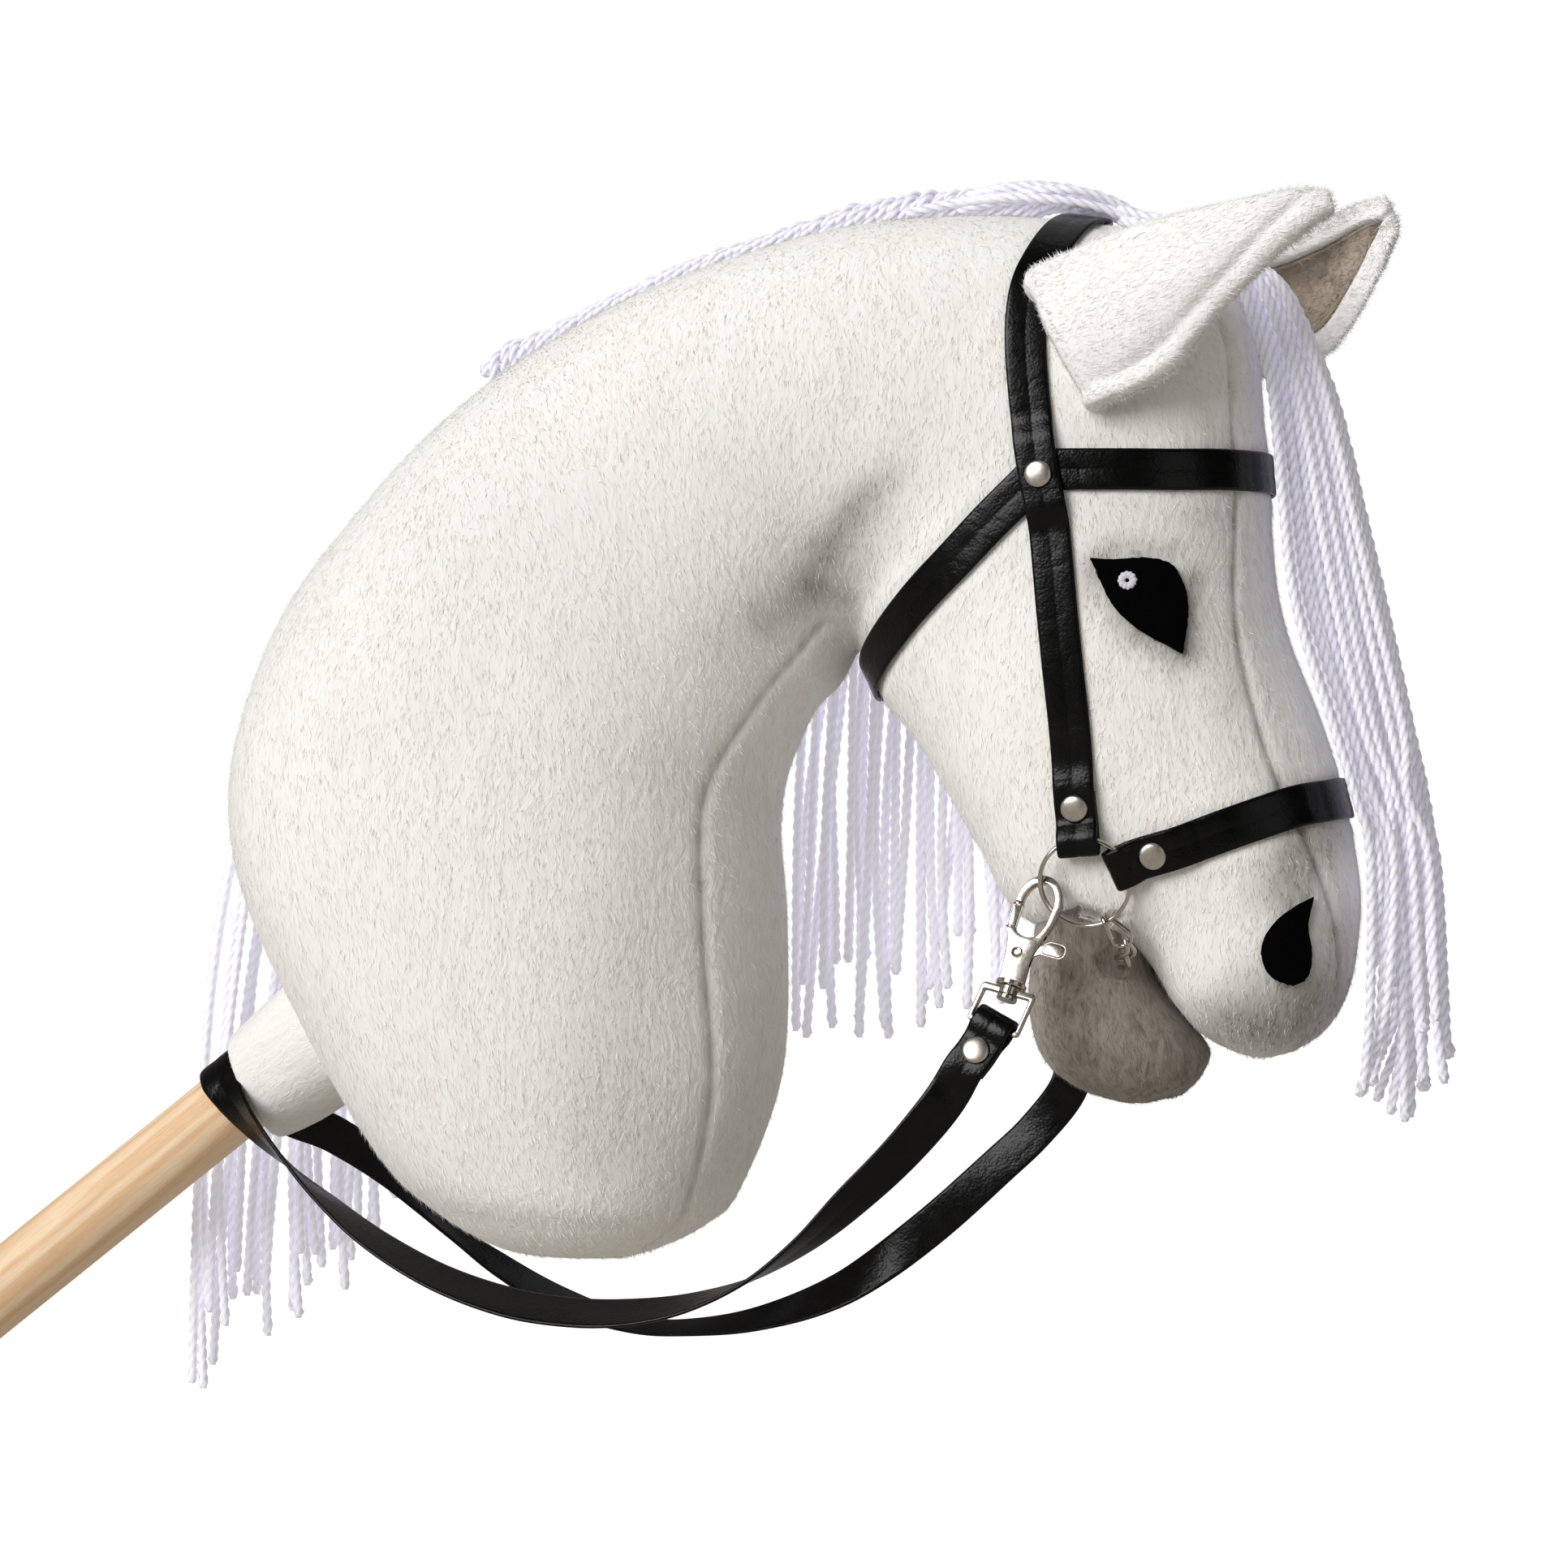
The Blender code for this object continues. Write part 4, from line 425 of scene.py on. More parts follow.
def evenPath(points, step):
    # the curve through rows that start with a point, read off at even steps
    rows = [tuple(p) for p in points]
    dense = []
    for k in range(len(rows) - 1):
        dense += [spline(rows, k + t / 12) for t in range(12)]
    dense = np.array(dense + [list(rows[-1])])
    walked = walkedAlong(dense[:, :3])
    count = max(2, round(walked[-1] / step))
    at = np.linspace(0, walked[-1], count + 1)
    return np.stack([np.interp(at, walked, dense[:, k]) for k in range(dense.shape[1])], axis=1)


def blend(low, high, value):
    share = min(1, max(0, (value - low) / (high - low)))
    return share * share * (3 - 2 * share)


def signedPower(value, exponent):
    return abs(value) ** exponent * (1 if value >= 0 else -1)


# plush skin of the head and neck
head = {
    # crest or face point x, z, chest or throat point x, z, half width, squareness, where it is
    # widest, and the two seams as shares of the half width
    "sections": (
        (94, -56, 124, -56, 0, 2.0, 1.0, 0.40, 0.45), (79, -51, 137, -52, 26, 2.0, 1.0, 0.40, 0.45),
        (62, -40.5, 151, -45, 40, 2.1, 1.0, 0.40, 0.50), (44, -23, 161.5, -34, 50, 2.2, 1.0, 0.40, 0.55),
        (16, 22, 176, 5, 61, 2.2, 1.0, 0.40, 0.60), (-6, 76, 177, 53, 65, 2.2, 1.0, 0.40, 0.62),
        (-2, 125, 176, 92, 65, 2.2, 1.0, 0.40, 0.60), (29, 178, 185, 119, 62, 2.2, 1.05, 0.40, 0.52),
        (95, 239, 196, 131, 57, 2.1, 1.1, 0.40, 0.53), (190, 275.5, 201, 139.5, 49, 2.0, 1.2, 0.36, 0.50),
        (279, 277, 204, 140.5, 45, 2.0, 1.15, 0.32, 0.25), (325, 254, 210.5, 127, 46, 2.2, 1.0, 0.46, 0.30),
        (333.5, 205, 226, 107, 48, 2.3, 0.95, 0.52, 0.35), (338, 154, 242, 80, 47, 2.4, 0.95, 0.66, 0.35),
        (353.5, 111, 258, 55, 43, 2.5, 0.95, 0.77, 0.35), (362.5, 71, 291, 48, 39, 2.5, 1.0, 0.72, 0.35),
        (362, 46, 306, 29, 37, 2.4, 1.0, 0.55, 0.35), (358.5, 31, 315, 19.5, 32, 2.3, 1.0, 0.45, 0.35),
        (352, 20.5, 327, 13.5, 23, 2.2, 1.0, 0.40, 0.35), (343, 14.3, 335.5, 12.2, 0, 2.0, 1.0, 0.40, 0.35),
    ),
    "rowSteps": 14,
    "columns": (9, 34, 9),  # crest to seam, seam to seam, seam to throat
    "seamDepth": 1.5,
    "seamWidth": 1.5,
    "chestRows": (1, 9),
    "faceRows": (10, 17),
    "crestTo": (9.6, 10), "throatFrom": (8.8, 9.2), "baseTo": (1, 1.3),
    "pucker": 0.3, "puckers": 17, "seamShade": 0.16, "lump": 0.7, "lumpScale": 22,
}
# airbrushed grey and painted shade: a line from x, z to x, z, its reach and its strength. The table holds the
# toy's own sprayed grey and painted shade alike; the lines on the lower neck, under the ear and over the face
# are painted shade
shading = (
    (222, 195, 209, 184, 6, 0.28), (212, 187, 200, 172, 5.5, 0.38), (199, 172, 194, 162, 7, 0.36),
    (195, 161, 204, 157, 3.5, 0.34), (194, 160, 181, 150, 7, 0.30), (212, 182, 205, 164, 8, 0.14),
    (188, 158, 170, 144, 12, 0.12), (181, 160, 198, 174, 16, 0.06), (176, 192, 186, 189, 9, 0.05),
    (286, 205, 302, 236, 12, 0.13), (322, 190, 338, 104, 15, 0.15), (288, 183, 316, 181, 11, 0.13),
    (298, 207, 324, 205, 7, 0.11), (154, 100, 134, -10, 22, 0.15),
    (167, 201, 169, 200, 5, 0.10), (286, 167, 314, 141, 10, 0.17), (292, 171, 309, 170, 4, 0.42),
    (286, 165, 299, 146, 5.2, 0.55), (301, 146, 312, 138, 5, 0.55), (314, 141, 315, 162, 4.5, 0.62),
    (341, 66, 350, 90, 9, 0.52), (347, 60, 355, 82, 7, 0.42), (335, 34, 352, 32, 14, 0.34),
    (322, 22, 352, 26, 12, 0.46), (326, 26, 346, 20, 8, 0.40), (343, 40, 346, 36, 8, 0.40),
    (358, 52, 360, 32, 9, 0.34),
    (340, 85, 342, 100, 5, 0.18), (327, 120, 330, 150, 3, 0.12), (270, 40, 290, 46, 12, 0.30),
    (318, 215, 327, 178, 3, 0.10), (204, 60, 176, 92, 4, 0.05),
)


def sectionAngles(first, last, columns):
    # angles from crest to throat, closer together beside the two seams at first and last
    top, side, under = columns
    quarter = math.pi / 2
    angles = [first * math.sin(quarter * k / top) for k in range(top)]
    angles += [first + (last - first) * (1 - math.cos(math.pi * k / side)) / 2 for k in range(side)]
    angles += [last + (math.pi - last) * (1 - math.cos(quarter * k / under)) for k in range(under + 1)]
    return angles


def sectionHalf(section, columns):
    crestX, crestZ, throatX, throatZ, squared, square, skew, crestSeam, throatSeam = section
    halfWidth = math.sqrt(max(squared, 0))
    first = math.asin(crestSeam ** (square / 2))
    last = math.pi - math.asin(throatSeam ** (square / 2))
    half = []
    for angle in sectionAngles(first, last, columns):
        along = max(0, (1 - signedPower(math.cos(angle), 2 / square)) / 2) ** skew
        out = halfWidth * signedPower(math.sin(angle), 2 / square) if 0 < angle < math.pi - 1e-6 else 0
        half.append((crestX + (throatX - crestX) * along, out, crestZ + (throatZ - crestZ) * along))
    return half


def skinGrid(sections, steps, columns):
    # rings of points in metres, each from the crest round the left side and back
    squared = [(*row[:4], row[4] ** 2, *row[5:]) for row in sections]
    rings = []
    for k in range((len(sections) - 1) * steps + 1):
        half = sectionHalf(spline(squared, k / steps), columns)
        whole = half + [(x, -y, z) for x, y, z in reversed(half[1:-1])]
        rings.append(np.array(whole) * mm + np.array(sleeveMouth))
    return np.array(rings)


def gridFaces(rows, columns, closed=True, first=0, looped=False):
    # closed joins the ends of each row, looped joins the last row to the first
    faces = []
    for i in range(rows if looped else rows - 1):
        here, below = first + i * columns, first + (i + 1) % rows * columns
        for j in range(columns if closed else columns - 1):
            k = (j + 1) % columns
            faces.append((here + j, below + j, below + k, here + k))
    return faces


def gridNormals(grid):
    down = np.gradient(grid, axis=0)
    across = (np.roll(grid, -1, axis=1) - np.roll(grid, 1, axis=1)) / 2
    normals = unit(np.cross(down, across))
    normals[0] = normals[1]
    normals[-1] = normals[-2]
    return normals


def seamDip(grid, columns, steps):
    # how deep the seams draw the skin in, in metres, for every point
    top, side, under = columns
    half = top + side + under
    dips = np.zeros(grid.shape[:2])

    def sewn(first, last, row):
        return blend(first, first + 0.3, row) * (1 - blend(last - 0.4, last, row))

    for i, line in enumerate(grid):
        row = i / steps
        walked = walkedAlong(line[:half + 1]) / mm
        # beside the face, beside the chest, along the crest, and under the throat and round the base
        seams = ((top, sewn(*head["faceRows"], row)), (top + side, sewn(*head["chestRows"], row)),
                 (0, 1 - blend(*head["crestTo"], row)),
                 (half, blend(*head["throatFrom"], row) + 1 - blend(*head["baseTo"], row)))
        for column, strength in seams:
            pucker = 1 + head["pucker"] * math.sin(row * head["puckers"])
            gap = (walked - walked[column]) / head["seamWidth"]
            dip = strength * head["seamDepth"] * pucker * np.exp(-gap ** 2)
            dips[i, :half + 1] = np.maximum(dips[i, :half + 1], dip)
    for j in range(1, half):
        dips[:, grid.shape[1] - j] = dips[:, j]
    return dips * mm


def dyeAndShadeAt(points):
    # strength of the sprayed grey and painted shade at points on the skin
    flat = inMillimetres(points)[:, [0, 2]]
    clear = np.ones(len(flat))
    for x0, z0, x1, z1, reach, strength in shading:
        way = np.array([x1 - x0, z1 - z0])
        rel = flat - np.array([x0, z0])
        share = np.clip(rel @ way / max(way @ way, 1e-9), 0, 1)
        gap = np.linalg.norm(rel - share[:, None] * way, axis=1) / reach
        clear *= 1 - strength * np.exp(-gap ** 2 * 1.3)
    return 1 - clear


skin = skinGrid(head["sections"], head["rowSteps"], head["columns"])
skinNormals = gridNormals(skin)
skinPoints = [Vector(p) for p in skin.reshape(-1, 3)]
skinWays = [Vector(n) for n in skinNormals.reshape(-1, 3)]
skinFaces = gridFaces(*skin.shape[:2])
skinTree = BVHTree.FromPolygons(skinPoints, skinFaces)


def skinNormal(point, face):
    total = Vector()
    for k in skinFaces[face]:
        total += skinWays[k] / ((skinPoints[k] - point).length + mm / 2)
    return total.normalized()


def nearestSkin(point):
    hit, _, face, _ = skinTree.find_nearest(point)
    return hit, skinNormal(hit, face)


def skinFromSide(x, z, side):
    hit, _, face, _ = skinTree.ray_cast(place(x, side * 200, z), Vector((0, -side, 0)))
    return (hit, skinNormal(hit, face)) if hit else (None, None)


def skinFromAbove(x, y):
    hit, _, face, _ = skinTree.ray_cast(place(x, y, 400), Vector((0, 0, -1)))
    return hit, skinNormal(hit, face)


print("skin grid", skin.shape)

# bit rings
ring = {
    "outer": 30, "wire": 2.0, "centre": (282.8, 44.2, 68.1), "tilt": 16,
    "joint": 128, "overlap": 9, "steps": 144,  # degrees; steps of one turn
    "coilRadius": 0.7, "coilApart": 0.4592,  # a coil's wire, and how far it lies from the middle
}
ringRadius = (ring["outer"] - ring["wire"]) / 2 * mm
wireRadius = ring["wire"] / 2 * mm


def ringFrame(side):
    lean = math.radians(ring["tilt"])
    x, y, z = ring["centre"]
    return frameOf(Vector((1, 0, 0)), Vector((0, side * math.sin(lean), math.cos(lean))),
                   place(x, side * y, z))


def onRing(side, degrees):
    turn = math.radians(degrees)
    return ringFrame(side) @ Vector((ringRadius * math.cos(turn), ringRadius * math.sin(turn), 0))


def wirePiece(name, points, radius, lie, node, cyclic=False):
    # round nickel wire along a line of points
    curve = bpy.data.curves.new(name, "CURVE")
    curve.dimensions = "3D"
    line = curve.splines.new("POLY")
    line.points.add(len(points) - 1)
    for spot, point in zip(line.points, points):
        spot.co = (*point, 1)
    line.use_cyclic_u = cyclic
    line.use_smooth = True
    curve.bevel_depth = radius
    curve.bevel_resolution = 3
    curve.use_fill_caps = True
    curve.materials.append(nickelPlate)
    made = meshFromCurve(name, curve)
    made.matrix_world = lie
    settle(made, "head", [node])


def bitRing(sideName, side):
    # split ring: two turns of wire pressed together, their ends meeting at the joint
    points = []
    steps = ring["steps"]
    for k in range(2 * steps + 1):
        turn = math.radians(ring["joint"]) + 2 * math.pi * k / steps
        lay = blend(steps - ring["overlap"], steps + ring["overlap"], k) * 2 - 1
        points.append(Vector((ringRadius * math.cos(turn), ringRadius * math.sin(turn),
                              lay * ring["coilApart"] * mm)))
    wirePiece("bitRing_" + sideName, points, ring["coilRadius"] * mm, ringFrame(side), "bit_ring_" + sideName)


for sideName, side in sides:
    bitRing(sideName, side)
print("bit rings made")

# straps: routes from the ring or rivet to the middle of the right half
strap = {
    "width": 13, "thickness": 1.4, "lift": 0.6, "step": 2.0, "tail": 15, "tailSteps": 8, "settle": 10,
    "gap": 0.3, "foldGap": 0.5, "foldEase": 0.7, "foldSteps": 10, "bumpRamp": 8,
    "crownAngle": 97, "noseAngle": 23,  # where they hang in the ring, in degrees
    "cheekRivet": 10, "noseRivet": 9, "junctionRivet": 113.5, "junctionSpan": (104, 124),
    "crown": ((281.1, -42, 81.5), (279.9, -45, 98), (278.6, -47, 115), (275.5, -48, 145), (272, -46, 180),
              (269, -45, 195), (266, -44, 215), (264, -42, 235), (264.5, -37, 251), (268, -31, 261.5),
              (273, -20, 271), (277, -9, 276), (278.5, 0, 278)),
    "noseband": ((295.4, -42, 73.4), (301, -42, 75.8), (313.7, -42, 79.9), (326, -41, 84.4), (338, -38, 88.7),
                 (347.7, -33, 91.9), (356.8, -23.4, 93.8), (362.5, -11, 95), (364.5, 0, 95.2)),
    "browband": ((271.5, -45, 195.4), (283, -46, 195.4), (294, -45, 195.3), (311, -40, 195.3),
                 (327, -29, 195.9), (334, -20, 196.1), (338, -9, 196.3), (338.8, 0, 196.4)),
    "throatLatch": ((266.4, -45.3, 192), (253.2, -44, 179.3), (242.6, -42, 168.7), (231.4, -37, 157.9),
                    (220, -29.4, 146.5), (212, -17, 137), (208, -6, 131.8), (207, 0, 131)),
}
rivet = {"diameter": 8.4, "dome": 1.7, "rim": 0.8, "gap": 0.3, "shank": 0.3, "steps": 48, "domeSteps": 9}
strapHalf = strap["thickness"] / 2 * mm
strapLevel = strap["lift"] * mm + strapHalf
pressedHalf = (strap["thickness"] + strap["gap"]) / 2 * mm
# outer face up: folded edges stand a little proud of the pressed middle
strapProfile = (
    (-6.5, 0), (-6.38, 0.36), (-6.05, 0.62), (-5.3, 0.72), (-3.4, 0.73), (-1.3, 0.7), (-0.35, 0.63), (0, 0.6),
    (0.35, 0.63), (1.3, 0.7), (3.4, 0.73), (5.3, 0.72), (6.05, 0.62), (6.38, 0.36), (6.5, 0),
    (6.38, -0.36), (6.05, -0.6), (5.3, -0.68), (0, -0.7), (-5.3, -0.68), (-6.05, -0.6), (-6.38, -0.36),
)
strapProud = 0.73  # height of the folded edges
strapEdge = 5  # beyond this far from the middle the outer face keeps its height


def mirrored(vector):
    return Vector((vector.x, -vector.y, vector.z))


def tangents(points):
    last = len(points) - 1
    return [(points[min(k + 1, last)] - points[max(k - 1, 0)]).normalized() for k in range(len(points))]


def strapMesh(name, centres, normals, slotNodes, body="head", wander=0.10):
    verts = []
    count = len(strapProfile)
    for k, (centre, normal, way) in enumerate(zip(centres, normals, tangents(centres))):
        flat = (normal - way * normal.dot(way)).normalized()
        across = way.cross(flat)
        wave = noise.noise(Vector((k * 0.13, len(name), 0.5))) * wander
        dent = 1 + 0.5 * noise.noise(Vector((k * 0.09, 3.7, len(name))))
        for a, b in strapProfile:
            # the middle of the outer face dips more in one place than in another
            height = b if b < 0 or abs(a) > strapEdge else strapProud - (strapProud - b) * dent
            verts.append(centre + across * ((a + wave) * mm) + flat * (height * mm))
    faces = gridFaces(len(centres), count)
    faces += [tuple(range(count)), tuple(reversed(range(len(verts) - count, len(verts))))]
    made = addPiece(name, verts, faces, fauxLeather, body, slotNodes)
    tidyMesh(made, 1e-6, 50)
    return made


def seatRoute(points, width):
    # a route laid on the plush: surface points and normals that clear it over the full width
    step = 5 * mm
    laid = [nearestSkin(Vector(p[:3]))[0] for p in evenPath([place(*p) for p in points], step)]
    out = []
    for here, way in zip(laid, tangents(laid)):
        normal = nearestSkin(here)[1]
        across = way.cross(normal).normalized()
        left = nearestSkin(here + across * width / 2)[0]
        right = nearestSkin(here - across * width / 2)[0]
        flat = way.cross(left - right).normalized()
        if flat.dot(normal) < 0:
            flat.negate()
        across = flat.cross(way)
        high = 0
        for share in (-0.5, -0.25, 0.25, 0.5):
            for reach in (-0.5, 0, 0.5):
                probe = here + across * (share * width) + way * (reach * step)
                high = max(high, (nearestSkin(probe)[0] - here).dot(flat))
        out.append((here + flat * high, flat))
    return out


def evenRows(rows, step):
    # rows of a point and a normal, read off at even steps
    return [(Vector(row[:3]), Vector(row[3:]).normalized()) for row in evenPath(rows, step)]


def seatedHalf(route):
    half = seatRoute(route, strap["width"] * mm)
    base, normal = half[-1]
    half[-1] = (Vector((base.x, 0, base.z)), Vector((normal.x, 0, normal.z)).normalized())
    return evenRows([(*b, *n) for b, n in half], strap["step"] * mm)


def foldedHalf(half, held, facing, level, rivetAt, holdRadius, slack, bumps=()):
    # a strap's end that folds round a wire or bar, then runs on along its route; free end first
    walked = [0]
    for (a, _), (b, _) in zip(half, half[1:]):
        walked.append(walked[-1] + (b - a).length)
    start = half[0][0]
    heldHeight = (held - start).dot(facing)
    sideways = held - start - facing * heldHeight
    foldHalf = holdRadius + strap["foldGap"] * mm + strapHalf
    tail = strap["tail"] * mm
    rivetRadius = rivet["diameter"] / 2 * mm
    flatFrom = rivetAt - rivetRadius
    rampLength = strap["bumpRamp"] * mm

    def heights(distance):
        # of the outer layer and of the folded tail under it
        middle = heldHeight + (level + pressedHalf - heldHeight) * blend(0, flatFrom, distance)
        pressed = blend(holdRadius + strap["gap"] * mm, flatFrom, distance)
        spread = foldHalf + (pressedHalf - foldHalf) * pressed
        single = blend(tail, tail + strap["settle"] * mm, distance)
        outer = middle + spread + (level - middle - spread) * single
        for low, high, rise in bumps:
            rising = blend(low - rampLength, low, distance)
            outer += rise * rising * (1 - blend(high, high + rampLength, distance))
        return outer, middle - spread

    def at(distance):
        k = 0
        while k < len(walked) - 2 and walked[k + 1] < distance:
            k += 1
        share = min(1, (distance - walked[k]) / (walked[k + 1] - walked[k]))
        settled = blend(0, tail, distance)
        base = half[k][0].lerp(half[k + 1][0], share) + sideways * (1 - settled)
        return base, facing.lerp(half[k][1].lerp(half[k + 1][1], share), settled).normalized()

    def outerPoint(distance):
        base, normal = at(distance)
        return base + normal * heights(distance)[0]

    def seat(distance):
        line = [outerPoint(distance + rivetRadius * shift) for shift in (-1, -0.5, 0, 0.5, 1)]
        way = (line[-1] - line[0]).normalized()
        normal = at(distance)[1]
        normal = (normal - way * normal.dot(way)).normalized()
        return line[2] + normal * max((point - line[2]).dot(normal) for point in line), normal

    centres, normals = [], []
    for n in range(strap["tailSteps"] + 1):
        distance = tail * (1 - n / strap["tailSteps"])
        base, normal = at(distance)
        centres.append(base + normal * heights(distance)[1])
        normals.append(-normal)
    base, normal = at(0)
    outward = (base - at(foldHalf)[0]).normalized()
    centre = base + normal * heldHeight + outward * slack
    for n in range(1, strap["foldSteps"]):
        turn = math.pi * n / strap["foldSteps"] - math.pi / 2
        spoke = normal * math.sin(turn) + outward * math.cos(turn)
        centres.append(centre + spoke * foldHalf)
        normals.append(spoke)
    distance = 0
    while distance < walked[-1] - strap["step"] * mm / 2:
        centres.append(outerPoint(distance))
        normals.append(at(distance)[1])
        distance += strap["step"] * mm
    centres.append(outerPoint(walked[-1]))
    normals.append(half[-1][1])
    return centres, normals, seat


ringSlack = (strap["width"] * mm) ** 2 / (8 * ringRadius) + (strap["foldGap"] + strap["foldEase"]) * mm
strapLines = {}


def wholeStrap(name, centres, normals, node):
    centres = centres + [mirrored(c) for c in reversed(centres[:-1])]
    normals = normals + [mirrored(n) for n in reversed(normals[:-1])]
    strapLines[name] = (centres, normals)
    strapMesh(name, centres, normals, [node])


def ringedStrap(name, route, angle, rivetAt, node, bumps=()):
    facing = ringFrame(-1).to_3x3() @ Vector((0, 0, 1))
    centres, normals, seat = foldedHalf(
        seatedHalf(route), onRing(-1, angle), facing, strapLevel, rivetAt * mm, wireRadius, ringSlack, bumps)
    wholeStrap(name, centres, normals, node)
    return seat


def plainStrap(name, route, node):
    half = seatedHalf(route)
    wholeStrap(name, [b + n * strapLevel for b, n in half], [n for _, n in half], node)


# the crown strap rises over browband and throat latch at their junction
overlaid = (*(s * mm for s in strap["junctionSpan"]), (strap["thickness"] + strap["lift"]) * mm)
crownSeat = ringedStrap(
    "crownStrap", strap["crown"], strap["crownAngle"], strap["cheekRivet"], "crown_strap", (overlaid,))
noseSeat = ringedStrap("noseband", strap["noseband"], strap["noseAngle"], strap["noseRivet"], "noseband")
plainStrap("browband", strap["browband"], "browband")
plainStrap("throatLatch", strap["throatLatch"], "throat_latch")


def turned(name, profile, steps, lie, mat, body, replaced=()):
    # closed solid of revolution about z, profile of radius and height from the top down
    rings = [p for p in profile if p[0] > 1e-9]
    verts = [(radius * math.cos(t), radius * math.sin(t), height)
             for radius, height in rings for t in turnsOf(steps)]
    faces = gridFaces(len(rings), steps)
    last = (len(rings) - 1) * steps
    if profile[0][0] < 1e-9:
        verts.append((0, 0, profile[0][1]))
        faces += [(len(verts) - 1, k, (k + 1) % steps) for k in range(steps)]
    else:
        faces.append(tuple(range(steps)))
    if profile[-1][0] < 1e-9:
        verts.append((0, 0, profile[-1][1]))
        faces += [(len(verts) - 1, last + (k + 1) % steps, last + k) for k in range(steps)]
    made = addPiece(name, verts, faces, mat, body, replaced)
    tidyMesh(made, 1e-7, 38)
    made.matrix_world = lie
    return made


def capRivet(name, point, normal, node):
    # nickel cap: flat rim rolled under, low dome, and its shank through the strap
    radius, dome, rim = rivet["diameter"] / 2 * mm, rivet["dome"] * mm, rivet["rim"] * mm
    shank = radius * rivet["shank"]
    profile = [(0, dome)]
    for n in range(1, rivet["domeSteps"]):
        turn = math.pi / 2 * n / rivet["domeSteps"]
        profile.append((radius * 0.97 * math.sin(turn), rim + (dome - rim) * math.cos(turn)))
    profile += [(radius, rim * 0.85), (radius, rim * 0.3), (radius * 0.96, 0), (shank, 0)]
    profile += [(shank, -strapHalf * 2), (0, -strapHalf * 2)]
    across = Vector((0, 0, 1)).cross(normal).normalized()
    lie = frameOf(across, normal.cross(across), point + normal * (strapHalf + rivet["gap"] * mm))
    return turned(name, profile, rivet["steps"], lie, satinNickel, "head", [node])


for label, seat in (("cheek", crownSeat), ("nose", noseSeat), ("junction", crownSeat)):
    point, normal = seat(strap[label + "Rivet"] * mm)
    for sideName, side in sides:
        spot = point if side < 0 else mirrored(point)
        way = normal if side < 0 else mirrored(normal)
        capRivet(label + "Rivet_" + sideName, spot, way, label + "_rivet_" + sideName)
print("bridle made")


# skin mesh, drawn in at its seams and pressed in under the straps
press = {
    "reach": 20, "along": 3, "below": 6,  # how near a skin point lies to the strap that presses it, mm
    "clear": 0.5, "ease": (0.5, 3.0),  # under the strap, and how far beside it the dent runs out
    "puff": 0.5, "puffAt": 3.5, "puffWide": 2.2,
}


def pressedIn(points, normals):
    # metres to push each skin point in, so that no strap is sunk in the pile, and how far the
    # plush swells beside a strap
    push = np.zeros(len(points))
    puff = np.zeros(len(points))
    for centres, ways in strapLines.values():
        line = np.array([tuple(c) for c in centres])
        up = np.array([tuple(n) for n in ways])
        along = np.array([tuple(t) for t in tangents(centres)])
        low, high = line.min(0) - press["reach"] * mm, line.max(0) + press["reach"] * mm
        near = np.flatnonzero(((points > low) & (points < high)).all(1))
        for k in near:
            gap = points[k] - line
            best = int(np.argmin((gap * gap).sum(1)))
            if abs(gap[best] @ along[best]) > press["along"] * mm or normals[k] @ up[best] < 0.3:
                continue
            flat = up[best] - along[best] * (up[best] @ along[best])
            height = gap[best] @ flat / max(np.linalg.norm(flat), 1e-9)
            if height < -press["below"] * mm:
                continue
            across = abs(gap[best] @ np.cross(along[best], flat))
            edge = (across - strap["width"] / 2 * mm) / mm
            sunk = height + strapHalf + press["clear"] * mm
            if sunk > 0:
                push[k] = max(push[k], sunk * (1 - blend(*press["ease"], edge)))
            swell = math.exp(-((edge - press["puffAt"]) / press["puffWide"]) ** 2)
            puff[k] = max(puff[k], press["puff"] * mm * swell)
    return push, puff


def meshArray(rows, key, wide, kind=float):
    values = np.empty(len(rows) * wide, dtype=kind)
    rows.foreach_get(key, values)
    return values.reshape(-1, wide)


